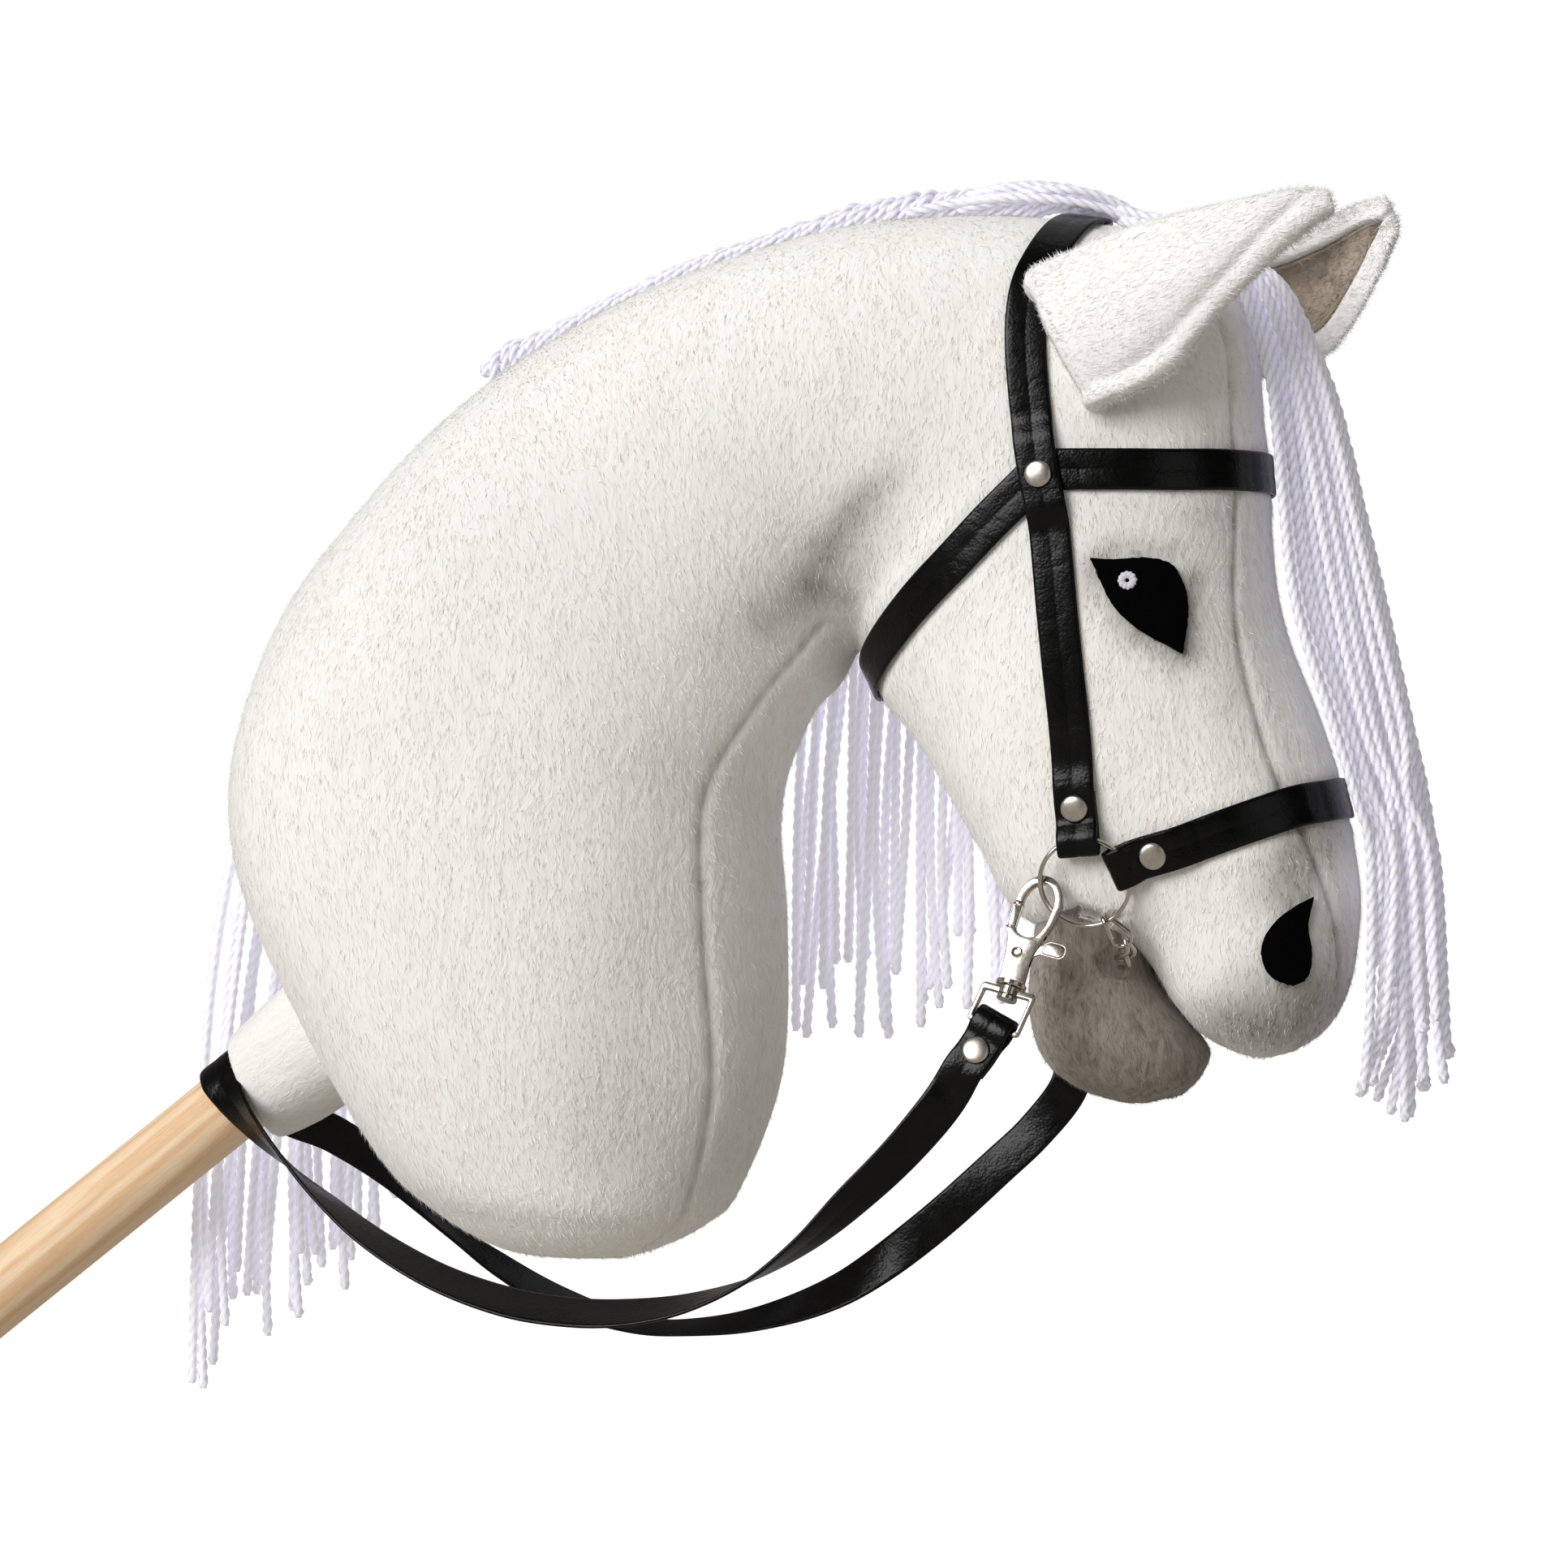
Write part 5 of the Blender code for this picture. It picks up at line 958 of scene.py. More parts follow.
def fellOn(made, name, mat, density, length, flow, where=None):
    # short fibres over a plush piece, each a fine blade leaning with the nap, set at random
    # density is fibres in a square millimetre, where makes them denser in one place than in another
    mesh = made.data
    mesh.calc_loop_triangles()
    turn = np.array(made.matrix_world.to_3x3())
    spots = meshArray(mesh.vertices, "co", 3) @ turn.T + np.array(made.matrix_world.translation)
    ways = meshArray(mesh.vertices, "normal", 3) @ turn.T
    # each fibre takes the sprayed grey and painted shade of the skin at its root
    dyedAndShaded = meshArray(mesh.attributes["dyeAndShade"].data, "value", 1, np.float32)[:, 0]
    tris = meshArray(mesh.loop_triangles, "vertices", 3, np.int32)
    a, b, c = (spots[tris[:, k]] for k in range(3))
    areas = np.linalg.norm(np.cross(b - a, c - a), axis=1) / 2
    if where:
        areas = areas * where((a + b + c) / 3)
    dice = np.random.default_rng(len(name) * 31 + len(spots))
    total = int(areas.sum() / mm ** 2 * density)
    chosen = tris[dice.choice(len(tris), total, p=areas / areas.sum())]
    # a random spot on each chosen triangle
    u, v = dice.random((2, total, 1))
    over = (u + v) > 1
    u, v = np.where(over, 1 - u, u), np.where(over, 1 - v, v)
    weights = (1 - u - v, u, v)
    root = sum(spots[chosen[:, k]] * weights[k] for k in range(3))
    normal = unit(sum(ways[chosen[:, k]] * weights[k] for k in range(3)))
    shade = sum(dyedAndShaded[chosen[:, k]] * weights[k][:, 0] for k in range(3))
    shade *= dice.uniform(*plush["fibreShade"], total)
    way = np.broadcast_to(flow(root), root.shape)
    way = unit(way - normal * (way * normal).sum(1, keepdims=True))
    across = np.cross(normal, way)
    sway = np.radians(dice.normal(0, plush["fibreSway"], (total, 1)))
    way, across = way * np.cos(sway) + across * np.sin(sway), across * np.cos(sway) - way * np.sin(sway)
    tilt = np.radians(dice.normal(0, plush["fibreTilt"], (total, 1)))
    raised = np.radians(np.clip(dice.normal(*plush["fibreRaise"], (total, 1)), 5, 60))
    reach = length * mm * dice.uniform(*plush["fibreLength"], (total, 1))
    tip = root + (way * np.cos(raised) + normal * np.sin(raised)) * reach
    flat = (across * np.cos(tilt) + normal * np.sin(tilt)) * (plush["fibreWidth"] / 2 * mm)
    root = root - normal * plush["fibreSunk"] * mm
    verts = np.stack([root - flat, root + flat, tip], axis=1).reshape(-1, 3)
    tone = np.repeat(dice.uniform(*plush["fibreTone"], total), 3)
    faces = np.arange(total * 3).reshape(-1, 3).tolist()
    addPiece(name, verts, faces, mat, "head",
             marks={"dyeAndShade": np.repeat(shade, 3), "tone": tone})
    print(name, total, "fibres")


def napDown(points):
    # the nap of the head and neck lies downward and a little forward
    flat = inMillimetres(points)
    lean = 0.15 + 0.35 * np.sin(flat[:, :1] * 0.03 + flat[:, 2:] * 0.021)
    return np.concatenate([lean, np.zeros_like(lean), -np.ones_like(lean)], axis=1)


def plushSkin():
    dips = seamDip(skin, head["columns"], head["rowSteps"]).reshape(-1)
    points = skin.reshape(-1, 3)
    push, puff = pressedIn(points, skinNormals.reshape(-1, 3))
    verts = []
    for k, (point, normal) in enumerate(zip(skinPoints, skinWays)):
        lump = noise.noise(point * head["lumpScale"]) * head["lump"] * mm
        out = lump - dips[k] - push[k] + (puff[k] if push[k] <= 0 else 0)
        verts.append(point + normal * out)
    # painted shade: the creases of the seams are darkened through the sprayed grey and shade mark
    crease = np.clip(dips / (head["seamDepth"] * mm), 0, 1) * head["seamShade"]
    made = addPiece(
        "plushSkin", verts, skinFaces, whitePlush, "head",
        ["side_panel_right", "side_panel_left", "face_gusset", "chest_gusset",
         "neck_stuffing", "head_stuffing"],
        {"dyeAndShade": np.clip(dyeAndShadeAt(points) + crease, 0, 1)})
    tidyMesh(made)
    fellOn(made, "plushFell", whitePlush, 0.42, 2.5, napDown)


plushSkin()
print("skin made")

# lower jaw
jaw = {
    "sections": (
        (296, 55, 262, 60, 30, 2.2, 1.0, 0.40, 0.40), (299, 40, 260, 42, 31, 2.2, 1.0, 0.40, 0.40),
        (305.5, 29, 259, 26, 32, 2.2, 1.0, 0.40, 0.40), (312, 20, 263, 12, 31, 2.2, 1.0, 0.40, 0.40),
        (316, 13, 273, 2.5, 27, 2.2, 1.0, 0.40, 0.40), (313, 5.5, 287, -2.5, 19, 2.1, 1.0, 0.40, 0.40),
        (307.5, -0.5, 296, -3.2, 0, 2.0, 1.0, 0.40, 0.40),
    ),
    "rowSteps": 8,
    "columns": (6, 26, 6),
    "groove": (289.5, 42.7, 5.6), "lump": 0.9, "lumpScale": 45, "paleFrom": 277,
}


def lowerJaw():
    grid = skinGrid(jaw["sections"], jaw["rowSteps"], jaw["columns"])
    rows, columns = grid.shape[:2]
    grooveX, grooveZ, reach = jaw["groove"]
    centre = np.array(place(grooveX, 0, grooveZ))
    verts = []
    for point, normal in zip(grid.reshape(-1, 3), gridNormals(grid).reshape(-1, 3)):
        point = point + normal * noise.noise(Vector(point) * jaw["lumpScale"]) * jaw["lump"] * mm
        off = point[[0, 2]] - centre[[0, 2]]
        gap = np.linalg.norm(off)
        if gap < reach * mm:  # the plush gives way round the groove
            point[[0, 2]] = centre[[0, 2]] + off / max(gap, 1e-9) * reach * mm
        verts.append(point)
    faces = gridFaces(rows, columns) + [tuple(range(columns))]
    pale = np.clip((jaw["paleFrom"] - inMillimetres(np.array(verts))[:, 0]) / 14, 0, 1) * 0.5
    made = addPiece("lowerJaw", verts, faces, jawPlush, "head",
                    ["lower_jaw_cover", "lower_jaw_stuffing"], {"dyeAndShade": pale})
    tidyMesh(made)
    fellOn(made, "jawFell", jawPlush, 0.55, 2.3, napDown)


lowerJaw()

# sleeve and stick
sleeve = {
    "mouth": 35.5, "root": 43.0, "reach": 62, "hem": 1.6, "hemRows": 6, "slant": 7.0, "sag": 4.6,
    "rows": 40, "columns": 96, "wrinkle": 0.8, "sagEnd": 44, "shade": 0.26,
}
stick = {"diameter": 25, "free": 380, "held": 155, "chamfer": 1.5, "sides": 96}


def alongStick(distance):
    turn = Matrix.Rotation(math.pi / 2 - stickSlope, 4, "Y")
    return Matrix.Translation(sleeveMouth + stickWay * (distance * mm)) @ turn


def plushSleeve():
    # tube of plush turned in at its mouth, with soft wrinkles towards the neck
    rows, hem, hemRows = sleeve["rows"], sleeve["hem"], sleeve["hemRows"]
    verts, marks = [], []
    for i in range(rows + 1):
        t = i / rows
        for turn in turnsOf(sleeve["columns"]):
            if i < hemRows:  # the hem rolls in to the stick
                roll = math.pi * i / hemRows
                radius = sleeve["mouth"] / 2 - hem * (1 + math.cos(roll))
                height = hem * (1 - math.sin(roll))
            else:
                share = (i - hemRows) / (rows - hemRows)
                radius = (sleeve["mouth"] + (sleeve["root"] - sleeve["mouth"]) * min(1, share * 1.3)) / 2
                height = hem + (sleeve["reach"] - hem) * share
            under = (1 + math.cos(turn)) / 2
            sag = math.sin(math.pi * min(1, 0.1 + height / sleeve["sagEnd"])) ** 0.8
            radius += sleeve["sag"] * under ** 2 * sag
            height -= sleeve["slant"] * under ** 1.6 * (1 - t)
            wrinkle = noise.noise(Vector((math.cos(turn) * 1.6, math.sin(turn) * 1.6, height * 0.05)))
            radius += wrinkle * sleeve["wrinkle"] * min(1, t * 3)
            verts.append((radius * mm * math.cos(turn), radius * mm * math.sin(turn), height * mm))
            # painted shade: darker on the underside of the sleeve and towards its mouth
            marks.append(0.04 + sleeve["shade"] * max(0, math.cos(turn - 0.3)) ** 2 * (1.1 - t))
    made = addPiece("plushSleeve", verts, gridFaces(rows + 1, sleeve["columns"]), whitePlush, "head",
                    ["stick_sleeve"], {"dyeAndShade": marks})
    made.matrix_world = alongStick(0)
    fellOn(made, "sleeveFell", whitePlush, 0.42, 2.3,
           lambda points: np.array([-0.8, 0, -0.6]))


def pineStick():
    radius, chamfer = stick["diameter"] / 2 * mm, stick["chamfer"] * mm
    low, high = -stick["free"] * mm, stick["held"] * mm
    profile = [(0, high), (radius - chamfer, high), (radius, high - chamfer), (radius, low + chamfer),
               (radius - chamfer * 0.4, low + chamfer * 0.35), (radius - chamfer, low), (0, low)]
    turned("pineStick", profile, stick["sides"], alongStick(0), pineDowel, "stick", ["stick"])


plushSleeve()
pineStick()
print("jaw, sleeve and stick made")

# bit chain
chain = {"links": 11, "wire": 1.6, "width": 7.8, "gap": 0.5, "angle": -63, "endSteps": 14,
         "route": ((289, -41.5, 56), (294.5, -37, 49), (293, -29, 44), (290, -20, 42.5), (288, 0, 42))}


def chainLink(name, start, end, startReach, endReach, flat, twist, node):
    # oval of wire, turned about its length so that the links lie flat and still pass through each other
    way = (end - start).normalized()
    flat = (flat - way * flat.dot(way)).normalized()
    bend = (chain["width"] - chain["wire"]) / 2 * mm
    turns = [math.pi / 2 - math.pi * m / chain["endSteps"] for m in range(chain["endSteps"] + 1)]
    far = (end - start).length + endReach - bend
    near = bend - startReach
    oval = [(far + bend * math.cos(t), bend * math.sin(t)) for t in turns]
    oval += [(near - bend * math.cos(t), -bend * math.sin(t)) for t in turns]
    whole = far + bend - (near - bend)
    shape = []
    for x, y in oval:
        turn = math.radians(twist[0] + (twist[1] - twist[0]) * blend(0.1, 0.9, (x - near + bend) / whole))
        shape.append((x, y * math.cos(turn), y * math.sin(turn)))
    wirePiece(name, shape, chain["wire"] / 2 * mm, frameOf(way, flat.cross(way), start), node, True)


def bitChain():
    near = [place(*p) for p in chain["route"]]
    near[0] = onRing(-1, chain["angle"])
    path = [Vector(p) for p in evenPath(near + [mirrored(p) for p in reversed(near[:-1])], mm / 2)]
    count = chain["links"]
    joints = [path[round((len(path) - 1) * n / count)] for n in range(count + 1)]
    first = (onRing(-1, chain["angle"] + 1) - onRing(-1, chain["angle"])).normalized()
    plain = (chain["wire"] + chain["gap"]) / 2 * mm
    ringed = wireRadius + (chain["wire"] / 2 + chain["gap"]) * mm
    for n in range(count):
        hint = first.lerp(mirrored(first), n / (count - 1))
        twist = (0, 0) if n == count // 2 else (0, 90) if n < count // 2 else (90, 0)
        chainLink("chainLink_%d" % (n + 1), joints[n], joints[n + 1], plain if n else ringed,
                  plain if n < count - 1 else ringed, hint, twist, "bit_chain_link_%d" % (n + 1))
    print("bit chain made")


bitChain()

# snap hooks, drawn flat with the collar's top at the origin
hook = {
    "collar": (261.3, 52.5, 37.0), "lean": 15, "flare": 20, "swing": {-1: 0, 1: 15}, "thickness": 3.2,
    "left": ((-3.9, -0.5), (-4.6, 8), (-5.5, 13), (-6.9, 16.9)),
    "floor": ((-4.3, 17.2), (-3.0, 15.9), (0.1, 15.1), (3.0, 16.6), (4.7, 20.5)),
    "right": ((6.8, 21), (5.2, 15.5), (3.6, 9), (3.9, -0.5)),
    "eye": (0.3, 26.4), "eyeHalf": (4.8, 7.0), "rimHalf": (7.3, 9.5), "tip": 186,
    "slot": (1.8, 30, 10.7, 11.85),  # for the gate: wide, long, high and its height on the body
    "collarRadius": 4.8, "collarTop": 0.3, "collarHeight": 1.6, "collarSoft": 0.25,
    "stem": 1.4, "button": 3.2, "buttonHeight": 1.5,
    "gateThickness": 1.2, "gateSoft": 0.2, "pivot": (-1.3, 9.7), "boss": 2.6,
    "finger": ((-7.2, 17.6), (-7.2, 24.3), (-4.6, 25.0), (-4.6, 17.6)),
    "fingerThickness": 2.6, "fingerRound": 0.5,
    "armInner": ((-4.6, 17.2), (-4.0, 15.6), (-2.0, 13.6), (1.5, 13.0)),
    "armOuter": ((-4.6, 11.5), (-6.4, 15.6), (-7.2, 17.2)),
    "tab": ((6.7, 15.7), (12.9, 15.7), (12.9, 11.4), (5.4, 11.4)), "tabRound": 2.1, "tabThickness": 2.0,
    "knurls": (("Low", 17.3), ("High", 25.0)), "knurlAt": -5.9,
    "knurl": ((0, 0.45), (1.2, 0.45), (1.75, 0.2), (1.75, -0.2), (1.2, -0.45), (0, -0.45)),
    "pin": 1.1, "pinHead": 1.8, "pinHeadHeight": 0.5, "pinHeadGap": 0.08,
    "loopHalf": (8.7, 7.2), "loopTop": 2.3, "loopHeight": 13.9, "loopBottom": 1.8, "loopTilt": 6,
    "loopDepth": 2.2, "loopRound": 1.6, "loopInnerRound": 0.5, "loopEyeGap": 0.2,
    "bevel": 0.35, "soft": 0.5,
}
loopTopLine = hook["collarTop"] - hook["collarHeight"] - strap["gap"]
loopMiddle = loopTopLine - hook["loopTop"] / 2
loopLow = loopTopLine - hook["loopHeight"]
standUp = Matrix.Rotation(-math.pi / 2, 4, "X")


def hookFrame(side):
    flare, lean = math.radians(hook["flare"]), math.radians(hook["lean"])
    forward = Vector((1, 0, 0))
    upright = Vector((0, -side * math.sin(flare), math.cos(flare)))
    right = forward * math.cos(lean) - upright * math.sin(lean)
    up = forward * math.sin(lean) + upright * math.cos(lean)
    x, y, z = hook["collar"]
    swung = ringFrame(side)
    turn = Matrix.Rotation(math.radians(hook["swing"][side]), 4, "Z")
    return swung @ turn @ swung.inverted() @ frameOf(right, up, place(x, side * y, z))


def shifted(lie, x, y):
    return lie @ Matrix.Translation((x * mm, y * mm, 0))


def ellipse(centre, half, first, last, steps):
    turns = [math.radians(first + (last - first) * n / steps) for n in range(steps + 1)]
    return [(centre[0] + half[0] * math.cos(t), centre[1] + half[1] * math.sin(t)) for t in turns]


def rounded(points, radius, steps=6):
    out = []
    for k, corner in enumerate(points):
        here = Vector(corner)
        before = (Vector(points[k - 1]) - here).normalized() * radius
        after = (Vector(points[(k + 1) % len(points)]) - here).normalized() * radius
        for n in range(steps + 1):
            share = n / steps
            out.append(tuple(here + before * (1 - share) ** 2 + after * share ** 2))
    return out


def eased(points, steps=5):
    # the same outline as a smooth line through its points
    line = [tuple(spline(points, k + t / steps)) for k in range(len(points) - 1) for t in range(steps)]
    return line + [points[-1]]


def plate(name, outlines, thickness, lie, bevel):
    # nickel plate with rounded edges from its outline and the outlines of its holes
    curve = bpy.data.curves.new(name, "CURVE")
    curve.dimensions = "2D"
    curve.fill_mode = "BOTH"
    curve.extrude = (thickness / 2 - bevel) * mm
    curve.bevel_depth = bevel * mm
    curve.bevel_resolution = 3
    curve.offset = -bevel * mm
    for outline in outlines:
        line = curve.splines.new("POLY")
        line.points.add(len(outline) - 1)
        for spot, (x, y) in zip(line.points, outline):
            spot.co = (x * mm, y * mm, 0, 1)
        line.use_cyclic_u = True
    curve.materials.append(nickelPlate)
    made = meshFromCurve(name, curve)
    tidyMesh(made, 1e-6, 35)
    made.matrix_world = lie
    return made


def carve(made, cutter):
    # cuts one solid out of another and removes it
    modifier = made.modifiers.new("carve", "BOOLEAN")
    modifier.operation = "DIFFERENCE"
    modifier.solver = "EXACT"
    modifier.object = cutter
    mesh = asMesh(made)
    made.modifiers.clear()
    made.data = mesh
    bpy.data.objects.remove(cutter)


def tiltDown(x, y):
    turn = math.radians(hook["loopTilt"])
    drop = y - loopMiddle
    return x * math.cos(turn) + drop * math.sin(turn), loopMiddle - x * math.sin(turn) + drop * math.cos(turn)


def hookTurned(name, profile, steps, lie, body, replaced=()):
    turned(name, [(r * mm, h * mm) for r, h in profile], steps, lie, nickelPlate, body, replaced)


def hookBody(sideName, lie):
    # cast body with its ring eye, slotted for the gate
    outline = eased(hook["left"]) + eased(hook["floor"])
    outline += ellipse(hook["eye"], hook["eyeHalf"], -12, hook["tip"], 40)
    outline += ellipse(hook["eye"], hook["rimHalf"], hook["tip"] - 2, 0, 44)
    outline += eased(hook["right"])
    body = plate("hookBody_" + sideName, [outline], hook["thickness"], lie, hook["bevel"])
    wide, long, high, slotAt = hook["slot"]
    bpy.ops.mesh.primitive_cube_add(size=1)
    cutter = bpy.context.object
    cutter.matrix_world = shifted(lie, 0, slotAt) @ Matrix.Diagonal((long * mm, high * mm, wide * mm, 1))
    bpy.context.view_layer.update()
    carve(body, cutter)
    settle(body, "hook_" + sideName, ["hook_body_" + sideName])


def hookCollar(sideName, lie):
    # collar under the body, with the swivel's stem and button
    top, low = hook["collarTop"], hook["collarTop"] - hook["collarHeight"]
    wide, soft, stem, button = hook["collarRadius"], hook["collarSoft"], hook["stem"], hook["button"]
    stemLow = low - 2 * strap["gap"] - hook["loopTop"]
    end = stemLow - hook["buttonHeight"]
    profile = ((0, top), (wide - soft, top), (wide, top - soft), (wide, low + soft), (wide - soft, low),
               (stem, low), (stem, stemLow), (button - soft, stemLow), (button, stemLow - soft),
               (button, end + soft), (button - soft, end), (0, end))
    hookTurned("hookCollar_" + sideName, profile, 40, lie @ standUp, "hook_" + sideName)


def hookPin(sideName, lie):
    # the gate's pin, its ends spread into low dished heads
    reach = hook["thickness"] / 2 + hook["pinHeadGap"]
    cap, high, pin = hook["pinHead"], reach + hook["pinHeadHeight"], hook["pin"]
    edge = reach + hook["pinHeadHeight"] * 0.8
    upper = [(0.75, reach - 0.1), (0.95, edge), (1.3, high), (cap, reach + 0.15), (cap, reach), (pin, reach)]
    profile = upper + [(radius, -height) for radius, height in reversed(upper)]
    hookTurned("hookPin_" + sideName, profile, 32, shifted(lie, *hook["pivot"]), "hook_" + sideName,
               ["hook_pin_" + sideName])


def hookGate(sideName, lie):
    # sheet metal gate with a thicker finger, its lever's tab and knurls where it meets the body
    boss = ellipse(hook["pivot"], (hook["boss"], hook["boss"]), 300, 165, 10)
    tab = rounded(hook["tab"], hook["tabRound"])
    outline = list(hook["finger"]) + eased(hook["armInner"]) + tab[:-7] + [hook["tab"][3]]
    outline += boss + eased(hook["armOuter"])
    finger = rounded(hook["finger"], hook["fingerRound"])
    for label, flat, thickness, soft, replaced in (
            ("hookGate_", outline, hook["gateThickness"], hook["gateSoft"], ["hook_gate_" + sideName]),
            ("gateFinger_", finger, hook["fingerThickness"], hook["soft"], ()),
            ("gateTab_", tab, hook["tabThickness"], hook["soft"], ())):
        made = plate(label + sideName, [flat], thickness, lie, soft)
        settle(made, "gate_" + sideName, replaced)
    for label, height in hook["knurls"]:
        hookTurned("gateKnurl%s_%s" % (label, sideName), hook["knurl"], 24,
                   shifted(lie, hook["knurlAt"], height) @ standUp, "gate_" + sideName)


def strapLoop(sideName, lie):
    # square loop for the strap, its lower bar tilted, with an eye round the swivel's stem
    def corners(half, top, low):
        return [(-half, top), (half, top), tiltDown(half, low), tiltDown(-half, low)]

    wideHalf, innerHalf = hook["loopHalf"]
    outer = corners(wideHalf, loopTopLine, loopLow)
    inner = corners(innerHalf, loopTopLine - hook["loopTop"], loopLow + hook["loopBottom"])
    outlines = [rounded(outer, hook["loopRound"]), rounded(inner, hook["loopInnerRound"])]
    loop = plate("strapLoop_" + sideName, outlines, hook["loopDepth"], lie, hook["soft"])
    settle(loop, "head", ["hook_strap_loop_" + sideName])
    button, hole, half = hook["button"], hook["stem"] + hook["loopEyeGap"], hook["loopTop"] / 2
    verts = [(radius * mm * math.cos(t), radius * mm * math.sin(t), height * mm)
             for radius, height in ((button, half), (button, -half), (hole, -half), (hole, half))
             for t in turnsOf(32)]
    eye = addPiece("loopEye_" + sideName, verts, gridFaces(4, 32, looped=True), nickelPlate, "head",
                   smooth=False)
    eye.matrix_world = shifted(lie, 0, loopMiddle) @ standUp


for sideName, side in sides:
    lie = hookFrame(side)
    for makePiece in (hookBody, hookCollar, hookPin, hookGate, strapLoop):
        makePiece(sideName, lie)
print("hooks made")

# rein, a flat strap: a point and the way its outer face looks, from each hook back to the stick
rein = {
    "rivet": 9.5, "bend": -8, "stickGap": 1.1, "slack": 1.0, "ease": 0.4, "leave": 30,
    "near": (
        (251.4, -59.4, 15.6, 0, -1, 0.3), (247.6, -60.6, 10.6, 0, -1, 0.2),
        (240.4, -61.5, -0.6, 0.1, -1, -0.1), (227.9, -61, -15.3, 0.3, -0.9, -0.3),
        (212.6, -60, -30.1, 0.4, -0.75, -0.5), (197.2, -59, -44, 0.5, -0.4, -0.75),
        (179.1, -59, -56, 0.5, 0, -0.85),
        (159.4, -58, -63.5, 0.3, 0.35, -0.9), (140.8, -57, -66.9, 0.1, 0.55, -0.83),
        (121.8, -55, -67.6, 0, 0.6, -0.8), (100, -53, -65.1, -0.1, 0.6, -0.8),
        (76, -49, -58.2, -0.25, 0.5, -0.8), (52.5, -43, -47.2, -0.4, 0.35, -0.8),
        (33.7, -36, -35.2, -0.6, 0.1, -0.75), (17.5, -29, -23.5, -0.7, -0.3, -0.6),
        (4, -22.5, -13, -0.6, -0.75, -0.4)),
    "far": (
        (264.6, 59.4, 9.3, -0.13, 0.95, 0.28), (261, 61.5, -3.5, -0.05, 1, 0.08),
        (250.5, 61.5, -17, 0.1, 1, -0.1), (238.2, 60.5, -28.9, 0.1, 1, -0.1),
        (213.4, 59, -51.2, 0, 1, -0.05), (185.6, 59, -71, 0.1, 0.85, -0.5),
        (157.5, 59, -81.8, 0, 0.55, -0.85), (132.3, 58, -85.7, 0, 0.3, -0.95),
        (112.6, 57, -85, -0.1, 0.3, -0.95), (87.7, 54, -77, -0.25, 0.5, -0.8),
        (68.8, 50, -65.9, -0.4, 0.4, -0.8), (52.7, 46, -53.5, -0.6, 0.2, -0.75),
        (33.5, 38, -33.8, -0.5, 0.6, -0.5), (15.8, 28.5, -20, -0.4, 0.9, -0.3),
        (1, 21, -12.8, -0.3, 0.95, -0.2)),
}


def reinHalf(side, route):
    lie = hookFrame(side)
    barX, barY = tiltDown(0, loopLow + hook["loopBottom"] / 2)
    bar = lie @ Vector((barX * mm, barY * mm, 0))
    facing = lie.to_3x3() @ Vector((0, 0, -side))
    rows = [(*(bar - facing * pressedHalf), *facing)]
    rows += [(*place(*row[:3]), *Vector(row[3:]).normalized()) for row in route]
    middle = alongStick(rein["bend"])
    reach = stick["diameter"] / 2 * mm + rein["stickGap"] * mm + strapHalf
    leave = math.radians(rein["leave"])
    for n in range(6):  # under the stick, where the two halves meet
        turn = leave + (math.pi / 2 - leave) * n / 5
        spoke = middle.to_3x3() @ Vector((-math.sin(turn), side * math.cos(turn), 0))
        rows.append((*(middle.translation + spoke * reach), *spoke))
    barReach = math.hypot(hook["loopBottom"] / 2, hook["loopDepth"] / 2) * mm + rein["ease"] * mm
    return foldedHalf(evenRows(rows, strap["step"] * mm), bar, facing, 0, rein["rivet"] * mm, barReach,
                      rein["slack"] * mm)


def addRein():
    nearCentres, nearNormals, nearSeat = reinHalf(-1, rein["near"])
    farCentres, farNormals, farSeat = reinHalf(1, rein["far"])
    centres = nearCentres + list(reversed(farCentres[:-1]))
    normals = nearNormals + list(reversed(farNormals[:-1]))
    made = strapMesh("reinStrap", centres, normals, ["rein_strap"], wander=0.05)
    for sideName, seat in (("right", nearSeat), ("left", farSeat)):
        point, normal = seat(rein["rivet"] * mm)
        capRivet("reinRivet_" + sideName, point, normal, "rein_rivet_" + sideName)


addRein()

# ears
ear = {
    "thickness": 4.2, "lining": 1.4, "inset": (4.5, 6.5), "sunk": 2.0, "bow": 1.5,
    "rows": 54, "columns": 34, "liningColumns": 20, "rimSteps": 40, "rootSteps": 6,
    "roll": 1.9, "rollAt": 3.6, "rollWide": 2.6, "tip": 3.0, "groove": (7.8, 1.2, 1.2),
    "ruffle": 0.35, "ruffleScale": 140, "fringe": 2.6, "fringeWide": 4,
    # lower edge, middle of the back and upper edge of each section, from the head to the tip
    "sections": {
        -1: ((288.5, -49.5, 214.5, 276, -52, 235, 266, -42.5, 258),
             (310, -53, 224, 294, -58.5, 243, 284, -44, 264.5),
             (325, -54, 242, 315, -61.5, 254.5, 304, -46.5, 271),
             (340, -52, 257, 334, -58.5, 265, 329, -48, 276),
             (352, -49, 267.5, 349, -53, 272.5, 347.5, -47.5, 279.5),
             (359, -47, 272.5, 359.5, -48.5, 275.5, 357, -46, 279)),
        1: ((292, 46, 229, 281, 49, 250, 280, 40, 266),
            (320.5, 52, 231, 303.5, 60, 251, 300, 45, 274),
            (339, 54, 236, 327.5, 62, 257, 324, 46.5, 273),
            (351, 54, 242.5, 345, 62, 263.5, 343.5, 48, 280),
            (363, 50, 261.5, 360, 56, 275.5, 358.5, 48, 287),
            (369.5, 47, 278, 370.5, 48.5, 283.5, 367.5, 46, 288.5)),
    },
}


